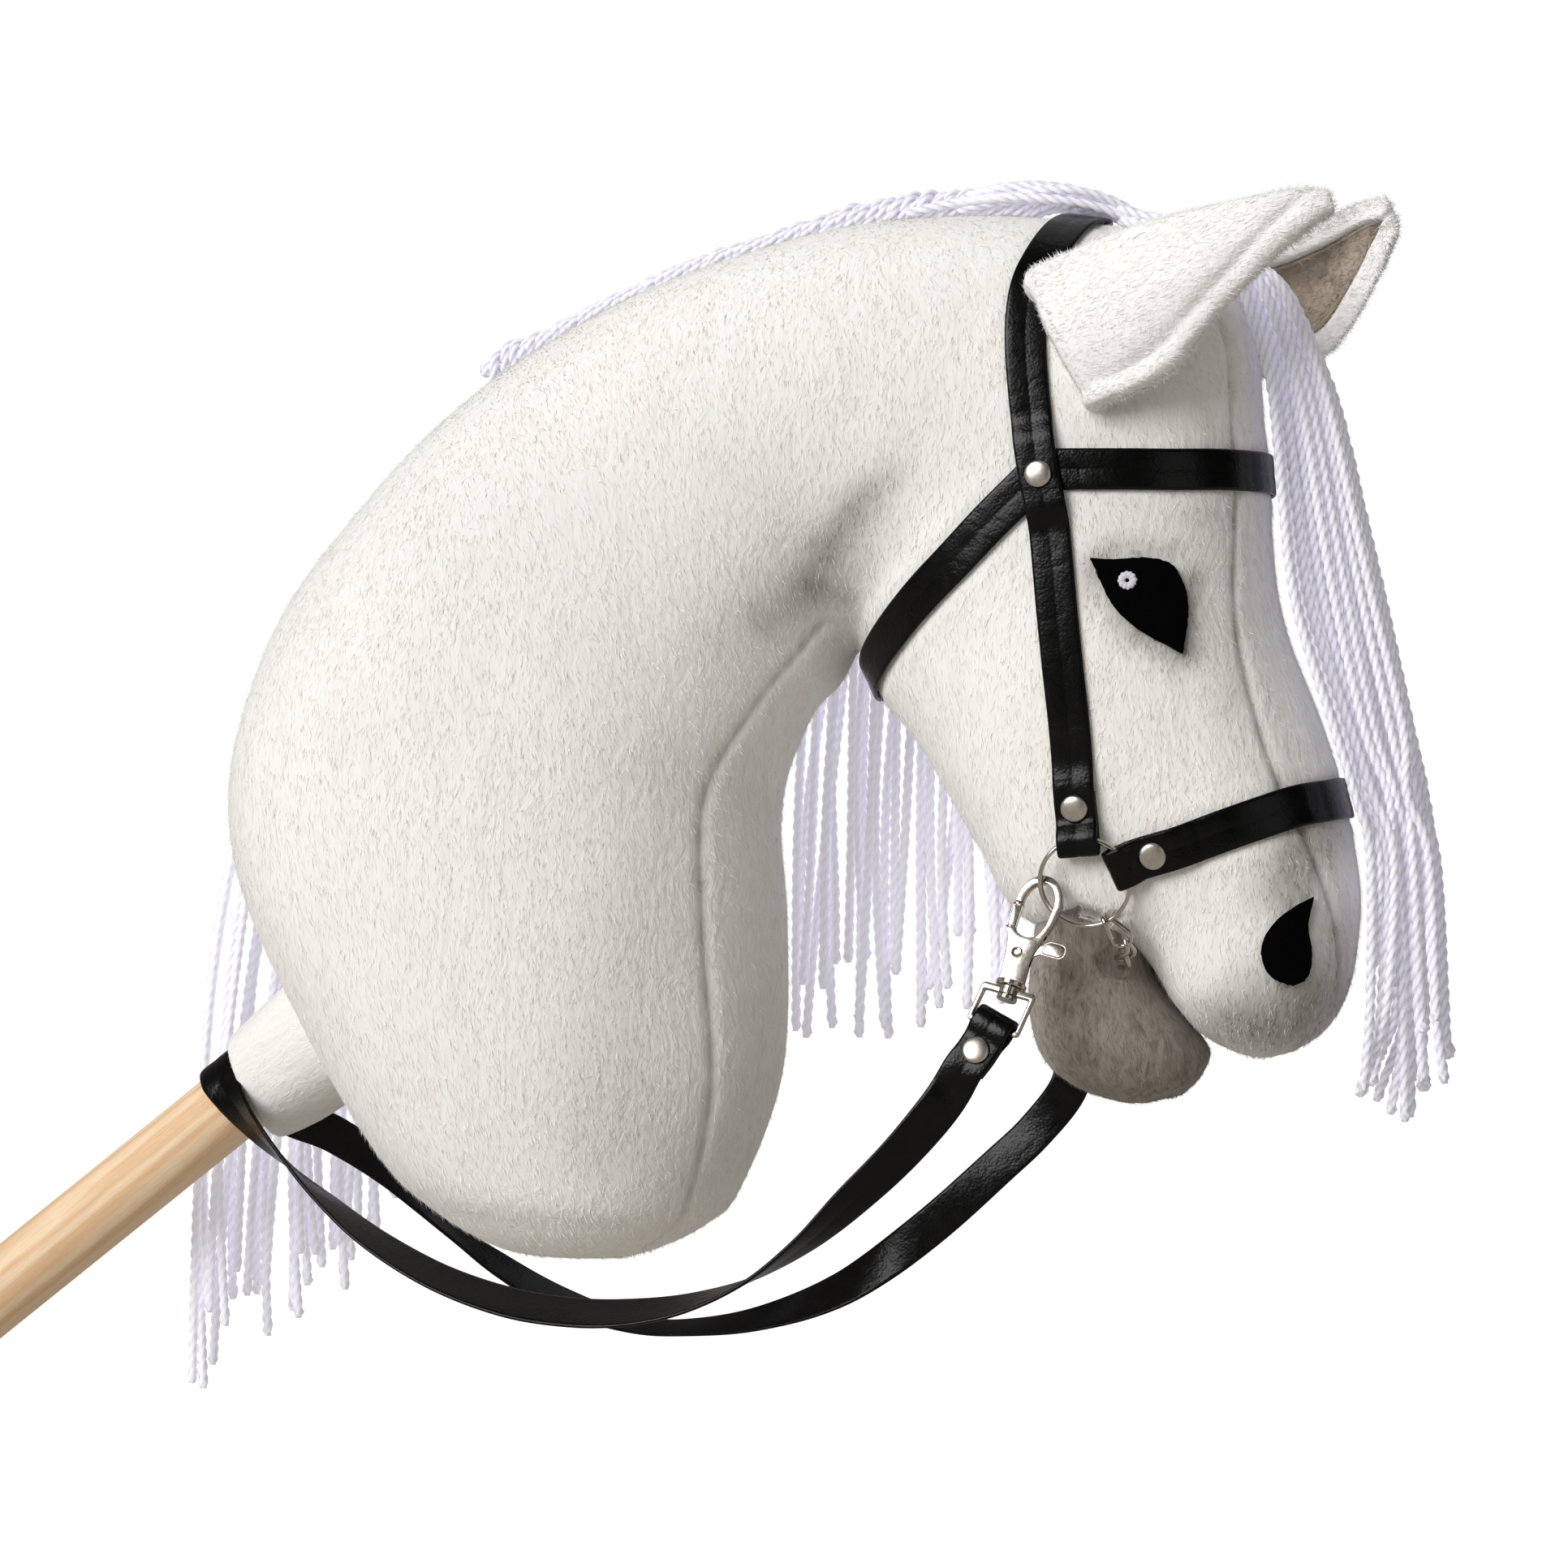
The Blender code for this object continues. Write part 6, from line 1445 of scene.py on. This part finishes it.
def earPoint(side, u, v):
    # below zero the ear turns in from its first section to its seam on the skin
    row = spline(ear["sections"][side], max(u, 0))
    low, middle, high = (place(*row[k:k + 3]) for k in (0, 3, 6))
    point = low * (1 - v) * (1 - 2 * v) + middle * 4 * v * (1 - v) + high * v * (2 * v - 1)
    if u < 0:
        hit, normal = nearestSkin(point)
        bow = Vector((-1, 0, 0)) * (ear["bow"] * mm * u * (1 + u))
        point = point.lerp(hit - normal * (ear["sunk"] * mm), -u) + bow
    return point


def earLayer(side, rows, shares, distance, swell, end=1.0, start=-1.0):
    # points of one face of the ear: thin at its rims, swollen into a roll beside them
    last = len(ear["sections"][side]) - 1
    length = (earPoint(side, last, 0.5) - earPoint(side, 0, 0.5)).length / mm
    grooveAt, grooveWide, grooveDeep = ear["groove"]
    near = 0.02  # how far off the two points lie that give a direction
    out = []
    for i in range(rows + 1):
        u = start + (last * end - start) * i / rows
        low, high = max(u - near, start), min(u + near, last)
        width = (earPoint(side, u, 1) - earPoint(side, u, 0)).length / mm
        for v in shares(width):
            point = earPoint(side, u, v)
            along = earPoint(side, high, v) - earPoint(side, low, v)
            normal = along.cross(earPoint(side, u, v + near) - earPoint(side, u, v - near)).normalized()
            if normal.y * side < 0:
                normal.negate()
            edge = min(v * width, (1 - v) * width, (last - u) / last * length)
            shrink = math.sqrt(min(1, edge / ear["tip"]))
            roll = ear["roll"] * math.exp(-((edge - ear["rollAt"]) / ear["rollWide"]) ** 2)
            ruffle = ear["ruffle"] * noise.noise(point * ear["ruffleScale"])
            groove = grooveDeep * math.exp(-((v * width - grooveAt) / grooveWide) ** 2)
            roll -= groove * blend(-6, 12, u / last * length)
            reach = distance * shrink + swell * (roll + ruffle) * shrink
            out.append(point + normal * (reach * mm))
    return out


def slabFaces(rows, columns):
    # two open grids, one over the other, closed along their four edges
    count = rows * columns
    faces = gridFaces(rows, columns, False)
    faces += [tuple(reversed(f)) for f in gridFaces(rows, columns, False, count)]
    for i in range(rows - 1):
        for a in (i * columns, (i + 1) * columns - 1):
            faces.append((a, a + columns, count + a + columns, count + a))
    for j in range(columns - 1):
        for a in (j, (rows - 1) * columns + j):
            faces.append((a, a + 1, count + a + 1, count + a))
    return faces


def towardTip(points):
    return np.array([0.9, 0, 0.35])


def earRim(side):
    # middle line of the ear past its root, and its two long edges
    last = len(ear["sections"][side]) - 1
    spots = [last * n / ear["rimSteps"] for n in range(ear["rimSteps"] + 1)]
    rim = [earPoint(side, u, v) for v in (0, 1) for u in spots]
    middle = [earPoint(side, u, 0.5) for u in spots[ear["rootSteps"]:]]
    return np.array([tuple(p) for p in middle]), np.array([tuple(p) for p in rim])


def plushEar(sideName, side):
    middle, rim = earRim(side)

    def nearRim(points):
        gap = np.sqrt(((points[:, None] - rim) ** 2).sum(2).min(1)) / mm
        return np.clip(1.25 - gap / ear["fringeWide"], 0, 1)

    def outward(points):
        nearest = middle[((points[:, None] - middle) ** 2).sum(2).argmin(1)]
        return unit(points - nearest) + np.array([0.25, 0, 0.1])

    def backShares(width):
        columns = ear["columns"]
        return [(1 - math.cos(math.pi * j / columns)) / 2 for j in range(columns + 1)]

    def insetShares(width):
        first, final = (min(0.45, inset / width) for inset in ear["inset"])
        across = ear["liningColumns"]
        return [first + (1 - final - first) * j / across for j in range(across + 1)]

    rows, half = ear["rows"], ear["thickness"] / 2
    back = earLayer(side, rows, backShares, half, 1)
    front = earLayer(side, rows, backShares, -half, -1)
    made = addPiece(
        "plushEar_" + sideName, back + front, slabFaces(rows + 1, ear["columns"] + 1), earPlush, "head",
        ["ear_" + sideName], {"dyeAndShade": [0.0] * (2 * len(back))})
    tidyMesh(made)
    fellOn(made, "earFell_" + sideName, earPlush, 0.8, 2.6, towardTip)
    fellOn(made, "earFringe_" + sideName, earPlush, 3.0, ear["fringe"], outward, nearRim)
    # taupe lining laid in the hollow side, clear of the rolled rims
    top = earLayer(side, rows, insetShares, -half - 0.1, -1, 0.94, -0.9)
    under = earLayer(side, rows, insetShares, -half - ear["lining"], -1, 0.94, -0.9)
    lining = addPiece(
        "earLining_" + sideName, top + under, slabFaces(rows + 1, ear["liningColumns"] + 1), liningPlush,
        "head", ["ear_lining_" + sideName], {"dyeAndShade": [0.12] * (2 * len(top))})
    tidyMesh(lining)
    fellOn(lining, "liningFell_" + sideName, liningPlush, 0.8, 2.4, towardTip)


for sideName, side in sides:
    plushEar(sideName, side)
print("ears made")

# felt eyes and nostrils, outlines in x and z
facePieces = {
    "eye": ((285, 168), (292, 167.5), (301.5, 168), (309, 166), (313, 158.7), (314, 150), (312.6, 138.4),
            (299.3, 146), (291.7, 153.7), (288, 161)),
    "eyeSharp": (0, 6),
    "nostril": ((351.4, 63.7), (345, 60), (339.5, 54.9), (336.4, 47.4), (338.8, 39.9), (345.5, 36.9),
                (349.8, 39.9), (350.8, 47.4), (349.9, 54.9)),
    "nostrilSharp": (0,),
    "thickness": 1.2, "lift": 0.6, "ragged": 0.03,
    # from the foot of the cut edge to near the middle: share of the outline and of the thickness
    "profile": ((0.985, 0), (1.0, 0.25), (1.0, 0.7), (0.97, 0.95), (0.9, 1.0), (0.75, 1.02), (0.5, 1.03),
                (0.25, 1.03)),
    "highlight": (296.2, 160.9, 2.75), "highlightRise": 0.9, "stitches": 40,
    "highlightProfile": ((1.0, 0), (1.0, 0.5), (0.88, 0.8), (0.65, 0.95), (0.4, 0.85), (0.24, 0.5), (0.2, 0)),
}


def closedLine(points, sharp, steps=8):
    # smooth closed outline that keeps its named corners
    count = len(points)
    out = []
    for k in range(count):
        a, b, c, d = (points[(k + n) % count] for n in (-1, 0, 1, 2))
        if k in sharp:
            a = (2 * b[0] - c[0], 2 * b[1] - c[1])
        if (k + 1) % count in sharp:
            d = (2 * c[0] - b[0], 2 * c[1] - b[1])
        for t in range(steps):
            out.append(spline([a, b, c, d], 1 + t / steps))
    return out


def onSkin(x, z, side, height):
    hit, normal = skinFromSide(x, z, side)
    return hit + normal * (height * mm)


def feltPatch(kind, sideName, side):
    outline = closedLine(facePieces[kind], facePieces[kind + "Sharp"])
    count = len(outline)
    midX, midZ = (sum(p[k] for p in outline) / count for k in (0, 1))
    verts = []
    for share, height in facePieces["profile"]:
        for x, z in outline:
            spread = share * (1 + facePieces["ragged"] * noise.noise(Vector((x * 1.9, z * 1.9, side))))
            verts.append(onSkin(midX + (x - midX) * spread, midZ + (z - midZ) * spread, side,
                                facePieces["lift"] + facePieces["thickness"] * height))
    rows = len(facePieces["profile"])
    top = facePieces["lift"] + facePieces["thickness"] * facePieces["profile"][-1][1]
    verts.append(onSkin(midX, midZ, side, top))
    faces = gridFaces(rows, count)
    last = (rows - 1) * count
    faces += [(last + k, last + (k + 1) % count, rows * count) for k in range(count)]
    faces.append(tuple(range(count)))
    made = addPiece("felt%s_%s" % (kind.capitalize(), sideName), verts, faces, blackFelt, "head",
                    [kind + "_" + sideName])
    tidyMesh(made, 1e-6)


def highlightKnot(sideName, side):
    # small white disc of satin stitches with a pricked middle
    x, z, radius = facePieces["highlight"]
    steps = facePieces["stitches"]
    verts = []
    for share, height in facePieces["highlightProfile"]:
        for k, turn in enumerate(turnsOf(steps)):
            stitch = 1 + (0.06 * math.sin(k * 1.9) + 0.05 * (k % 5 == 0)) * (share > 0.5)
            reach = radius * share * stitch
            ridge = 0.12 * math.cos(turn * steps / 4)
            rise = facePieces["lift"] + facePieces["thickness"] + 0.2
            rise += (facePieces["highlightRise"] + ridge) * height
            verts.append(onSkin(x + reach * math.cos(turn), z + reach * math.sin(turn), side, rise))
    made = addPiece("eyeHighlight_" + sideName, verts,
                    gridFaces(len(facePieces["highlightProfile"]), steps, looped=True), whiteCotton, "head",
                    ["eye_highlight_" + sideName])
    tidyMesh(made, 1e-6)


for sideName, side in sides:
    feltPatch("eye", sideName, side)
    feltPatch("nostril", sideName, side)
    highlightKnot(sideName, side)
print("felt made")


# yarn
uncut = 0.1  # mm of fray at an end that doesn't show


def yarnStrand(path, phase, radius=yarn["radius"], fray=yarn["fray"], step=yarn["step"]):
    # one strand as a tube whose section has a lobe for each ply, turned along its length
    points = evenPath(path, step * mm)
    count, around = len(points), yarn["around"]
    ways = np.gradient(points, axis=0)
    ways /= np.linalg.norm(ways, axis=1, keepdims=True)
    normal = unit(np.cross(ways[0], (0.3, 0.9, 0.1)))
    turn = np.arange(around) * 2 * math.pi / around
    verts, ply = [], []
    for k in range(count):
        normal = unit(normal - ways[k] * (normal @ ways[k]))
        sideways = np.cross(ways[k], normal)
        left = (count - 1 - k) * step
        lobes = np.cos(yarn["plies"] * (turn - 2 * math.pi * k * step / yarn["pitch"] - phase))
        frayed = max(0, 1 - left / fray)
        depth = yarn["depth"] + yarn["frayDepth"] * frayed
        size = radius * mm * (1 + yarn["frayWide"] * frayed) * (yarn["cutEnd"] if left < 0.5 else 1)
        reach = size * (1 - depth + depth * lobes)
        verts.append(points[k] + np.outer(reach * np.cos(turn), normal)
                     + np.outer(reach * np.sin(turn), sideways))
        ply.append((lobes + 1) / 2)
    faces = gridFaces(count, around)
    faces += [tuple(reversed(range(around))), tuple(range((count - 1) * around, count * around))]
    return np.concatenate(verts), faces, np.concatenate(ply)


def yarnPiece(name, strands, replaced, mat):
    verts, faces, ply, first = [], [], [], 0
    for strandVerts, strandFaces, strandPly in strands:
        verts.append(strandVerts)
        faces += [tuple(first + k for k in face) for face in strandFaces]
        ply.append(strandPly)
        first += len(strandVerts)
    made = addPiece(name, np.concatenate(verts), faces, mat, "head", replaced,
                    {"ply": np.concatenate(ply)})
    tidyMesh(made, 1e-7)
    print(name, len(strands), "strands", len(faces), "faces")


mane = {
    "top": (80, 252), "strands": 108, "clump": 5, "curl": 3.4, "gap": 3.2, "layers": 5.5, "seam": 1.5,
    "shoulder": (7, 15, 25), "bendX": -3, "bendZ": (150, 205), "rows": 16,
    # how unlike one strand is from the next
    "endZ": (-17, 14), "endX": (-4, 4), "sway": (-5, 5), "waves": (5, 9), "bunched": 0.8,
    "ends": ((0, -35, -93), (0.12, -8, -72), (0.25, 20, -44), (0.5, 90, -16), (0.75, 165, 24), (1, 242, 38)),
}


def maneEnd(share):
    for (low, x0, z0), (high, x1, z1) in zip(mane["ends"], mane["ends"][1:]):
        if share <= high:
            part = (share - low) / (high - low)
            return x0 + (x1 - x0) * part, z0 + (z1 - z0) * part
    return mane["ends"][-1][1:]


def curvedTo(start, bend, end, t):
    return start * (1 - t) ** 2 + bend * 2 * t * (1 - t) + end * t * t


def manePath(share, layer):
    # from under the knots down over the neck's left side, then hanging free
    topX = mane["top"][0] + (mane["top"][1] - mane["top"][0]) * share
    height = (mane["gap"] + mane["layers"] * layer) * mm
    hit, normal = skinFromAbove(topX, mane["seam"])
    path = [hit + normal * mm]
    for y in mane["shoulder"]:
        hit, normal = skinFromAbove(topX, y)
        path.append(hit + normal * (height * (0.4 + 0.6 * blend(4, 25, y))))
    top = (path[-1] - sleeveMouth) / mm
    endX, endZ = maneEnd(share)
    bendX = endX + mane["bendX"] * (1 - share)
    bendZ = mane["bendZ"][0] + (mane["bendZ"][1] - mane["bendZ"][0]) * share
    endZ += random.uniform(*mane["endZ"])
    endX += random.uniform(*mane["endX"])
    sway = random.uniform(*mane["sway"])
    waves, lag = random.uniform(*mane["waves"]), random.uniform(0, 6)
    # strands draw together in clumps
    clump = (math.floor(share * mane["strands"] / mane["clump"]) + 0.5) * mane["clump"] / mane["strands"]
    bunch = (clump - share) * (endX - mane["ends"][0][1] + 60) * mane["bunched"]
    reach = path[-1].y
    for n in range(1, mane["rows"] + 1):
        t = n / mane["rows"]
        x = curvedTo(top.x, bendX, endX, t) + sway * math.sin(t * 3.0)
        x += bunch * math.sin(math.pi * t) + mane["curl"] * t ** 2 * math.sin(waves * t + lag)
        z = curvedTo(top.z, bendZ, endZ, t)
        hit, _ = skinFromSide(x, z, 1)
        if hit:
            reach = max(reach, hit.y + height)
        spot = place(x, 0, z)
        spot.y = reach + noise.noise(Vector((share * 40, t * 3, layer))) * mm
        path.append(spot)
    return path


def hangingMane():
    groups = [[], [], []]
    count = mane["strands"]
    for n in range(count):
        share = min(1, max(0, (n + random.uniform(-0.4, 0.4)) / (count - 1)))
        layer = (n * 7 % 5) / 4
        groups[min(2, n * 3 // count)].append(yarnStrand(manePath(share, layer), random.uniform(0, 6)))
    for name, strands in zip(("maneBack", "maneMiddle", "maneFront"), groups):
        yarnPiece(name, strands, ["mane"], maneYarn)


crest = {
    "span": (80.5, 290), "strands": 4, "turn": 11.5, "radius": 1.7, "step": 0.9, "low": 1.2,
    "across": (0.8, 3.0), "strap": 2.4, "strapFrom": (258, 268),
    # how high the knots stand: everywhere, more at the tail end, more towards the poll, less at its end
    "rise": 2.6, "tailRise": 3.4, "tailTo": (86, 108), "pollRise": 3.6, "pollFrom": (170, 225),
    "endShare": 0.8, "endFrom": (262, 286),
}


def crestRise(x):
    high = crest["rise"] + crest["tailRise"] * (1 - blend(*crest["tailTo"], x))
    high += crest["pollRise"] * blend(*crest["pollFrom"], x)
    return high * (1 - crest["endShare"] * blend(*crest["endFrom"], x))


def crestKnots():
    # four strands looped round each other along the crest, as the knots of the mane show
    first, last = crest["span"]
    middle, swing = crest["across"]
    strands = []
    for k in range(crest["strands"]):
        path = []
        for half in range(2 * round(last - first) + 1):
            n = 0.5 * half
            x = first + n
            hit, normal = skinFromAbove(x, 0)
            base = hit + normal * (crest["strap"] * blend(*crest["strapFrom"], x) * mm)
            rough = 1 + 0.4 * noise.noise(Vector((n * 0.11, k * 5.0, 1.5)))
            loose = 1.2 * noise.noise(Vector((n * 0.05, k, 7)))
            turn = 2 * math.pi * (n / crest["turn"] + k / crest["strands"]) + loose
            high = crest["low"] + crestRise(x) * rough * (0.5 + 0.5 * math.cos(turn))
            path.append(base + Vector((0, middle + swing * math.sin(turn), 0)) * mm + normal * (high * mm))
        strands.append(yarnStrand(path, k, crest["radius"], uncut, crest["step"]))
    yarnPiece("crestKnots", strands, ["mane_knots"], twistedYarn)


poll = {
    "strands": 17, "start": (226, -8, 16), "end": (297, -7, 4),  # x, and how far it strays each way
    "spread": (-6.5, 15), "lift": (2.5, 8.5), "clear": 2.2, "steps": 9,
}


def pollBundle():
    # thick strands that rise off the crest, bow over the crown strap and drop to the forelock
    strands = []
    count = poll["strands"]
    for n in range(count):
        start = poll["start"][0] + random.uniform(*poll["start"][1:])
        end = poll["end"][0] + random.uniform(*poll["end"][1:])
        spread = poll["spread"][0] + poll["spread"][1] * ((n * 5) % count) / (count - 1)
        lift = random.uniform(*poll["lift"]) * (1 - (spread / 16) ** 2)
        path = []
        for m in range(poll["steps"] + 1):
            t = m / poll["steps"]
            y = spread * (0.5 + 0.6 * math.sin(math.pi * t)) + 1.5 * math.sin(7 * t + n)
            hit, way = skinFromAbove(start + (end - start) * t, y)
            high = poll["clear"] + lift * math.sin(math.pi * t ** 1.15) ** 0.8
            path.append(hit + way * (high * mm))
        strands.append(yarnStrand(path, random.uniform(0, 6), fray=uncut))
    yarnPiece("pollBundle", strands, [], twistedYarn)


# the forelock's sections: z, x of its inner and outer face, half width
forelock = {
    "sections": (
        (263, 321, 332, 9), (254, 326, 342, 14), (226, 335, 354, 20), (204, 338, 360, 23),
        (188, 339.5, 363.5, 24), (154, 344, 371, 26), (115, 356, 379, 28), (95, 363, 383, 28),
        (76, 367.5, 387.5, 28), (30, 368, 390.5, 26), (0, 358, 387, 22), (-14, 353, 373, 15)),
    "strands": 27, "clear": 4.2, "curl": 2.6, "inset": 1.8, "fill": 0.92, "looseFrom": (40, 200),
    "ends": (-14, 44), "outerEnds": (-10, 46), "sway": (-5, 5), "drift": (-3.5, 3.5),
    # where the strands are gathered on the poll: x and half width; height above the skin
    "gathered": ((285, 4), (298, 8.5)), "gatherRise": (2.4, 3.4), "brow": (313, 12, 274),
}


def forelockEnd(depth):
    if depth > 0.4:
        return forelock["ends"][0] + forelock["ends"][1] * depth * random.uniform(0.3, 1)
    return random.uniform(*forelock["outerEnds"])


def forelockPath(n, across, depth):
    rows = forelock["sections"]
    endZ = forelockEnd(depth)
    spots = [row for row in rows if row[0] > endZ + 8]
    end = spline(rows, min(len(rows) - 1.001, len(spots) - 0.5))
    sway, drift = random.uniform(*forelock["sway"]), random.uniform(*forelock["drift"])
    path = []
    for z, innerX, outerX, half in spots + [(endZ, *end[1:])]:
        loose = 1 - blend(*forelock["looseFrom"], z)
        curl = forelock["curl"] * loose ** 2
        x = innerX + forelock["inset"] + (outerX - innerX - 2 * forelock["inset"]) * depth
        x += drift * loose * math.sin(z * 0.035 + n) + curl * math.sin(z * 0.13 + n * 1.7)
        y = half * across * forelock["fill"] + sway * loose + curl * math.sin(z * 0.11 + n * 2.3)
        hit, _, _, _ = skinTree.ray_cast(place(500, y, z), Vector((-1, 0, 0)))
        if hit:
            x = max(x, (hit - sleeveMouth).x / mm + forelock["clear"])
        path.append(place(x, y, z))
    return path


def hangingForelock():
    strands = []
    count = forelock["strands"]
    low, high = forelock["gatherRise"]
    for n in range(count):
        across = -1 + 2 * ((n * 13) % count) / (count - 1)
        depth = ((n * 5) % 7) / 6
        path = forelockPath(n, across, depth)
        gathered = []
        for (x, wide), stray in zip(forelock["gathered"], (4 * random.random(), 0)):
            hit, normal = skinFromAbove(x + stray, wide * across)
            gathered.append(hit + normal * ((low + high * depth) * mm))
        x, wide, z = forelock["brow"]
        gathered.append(place(x + 6 * depth, wide * across, z + 2 * depth))
        strands.append(yarnStrand(gathered + path, random.uniform(0, 6)))
    yarnPiece("forelockYarn", strands, ["forelock"], twistedYarn)


hangingMane()
crestKnots()
pollBundle()
hangingForelock()

# floor, backdrop and light
studio = {
    "floor": "#E9E6E2", "bounce": "#CBC6BE", "glow": 0.64, "low": -0.02,
    "sky": (0.36, 0.13), "gloss": 0.45, "skyTint": "#FFFAF3",
    # kind, place from the camera's target, degrees or metres across, power
    "lamps": (("keyLight", "SUN", (-1.0, -1.7, 0.95), 38, 2.5),
              ("fillLight", "AREA", (1.5, -1.4, 0.4), 1.0, 1.6),
              ("topLight", "AREA", (0.3, 0.5, 1.5), 1.3, 3.4)),
}


def studioWorld():
    # white to the camera; what lights the toy is brighter from its tail side than from its nose side
    world = bpy.data.worlds.new("studio")
    bpy.context.scene.world = world
    world.use_nodes = True
    tree = world.node_tree
    rays = addNode(tree, "LightPath")
    parts = addNode(tree, "SeparateXYZ", None, {"Vector": (addNode(tree, "TexCoord"), "Generated")})
    tail, nose = studio["sky"]
    around = addNode(tree, "MapRange", None,
                     {"Value": (parts, "X"), "From Min": -1, "To Min": tail, "To Max": nose})
    dimmed = addNode(tree, "MapRange", None,
                     {"Value": (rays, "Is Glossy Ray"), "To Min": 1.0, "To Max": studio["gloss"]})
    lit = addNode(tree, "Math", {"operation": "MULTIPLY"}, {0: (around, 0), 1: (dimmed, 0)})
    strength = addNode(tree, "MapRange", None,
                       {"Value": (rays, "Is Camera Ray"), "To Min": (lit, 0), "To Max": 1.0})
    tint = addNode(tree, "Mix", mixed,
                   {0: (rays, "Is Camera Ray"), 6: linear(studio["skyTint"]), 7: grey(1)})
    setInputs(tree, tree.nodes["Background"], {"Strength": (strength, 0), "Color": (tint, 2)})


def studioFloor():
    # paper sweep that the camera sees near white; the toy is lit from it by a warmer grey
    mesh = bpy.data.meshes.new("floor")
    low = studio["low"]
    mesh.from_pydata([(-4, -4, low), (5, -4, low), (5, 6, low), (-4, 6, low)], [], [(0, 1, 2, 3)])
    addObject("floor", mesh)
    made, tree, shader = newMaterial(
        "studio floor, white paper", {"Roughness": 0.95, "Specular IOR Level": 0.1})
    rays = addNode(tree, "LightPath")
    seen = addNode(tree, "Mix", mixed, {0: (rays, "Is Camera Ray"), 6: linear(studio["bounce"]),
                                        7: linear(studio["floor"])})
    setInputs(tree, shader, {"Base Color": (seen, 2)})
    glow = addNode(tree, "Emission", None, {"Color": grey(1), "Strength": studio["glow"]})
    both = addNode(tree, "AddShader", None, {0: (shader, 0), 1: (glow, 0)})
    pick = addNode(tree, "MixShader", None, {0: (rays, "Is Camera Ray"), 1: (shader, 0), 2: (both, 0)})
    setInputs(tree, tree.nodes["Material Output"], {"Surface": (pick, 0)})
    mesh.materials.append(made)


def studioLamps():
    centre = Vector(view["target"])
    for name, kind, spot, size, power in studio["lamps"]:
        data = bpy.data.lights.new(name, kind)
        data.energy = power
        if kind == "SUN":
            data.angle = math.radians(size)
        else:
            data.size = size
        lamp = addObject(name, data)
        lamp.location = centre + Vector(spot)
        lamp.rotation_euler = (centre - lamp.location).to_track_quat("-Z", "Y").to_euler()


studioWorld()
studioFloor()
studioLamps()
bpy.context.scene.view_settings.view_transform = "Standard"
print("studio set")
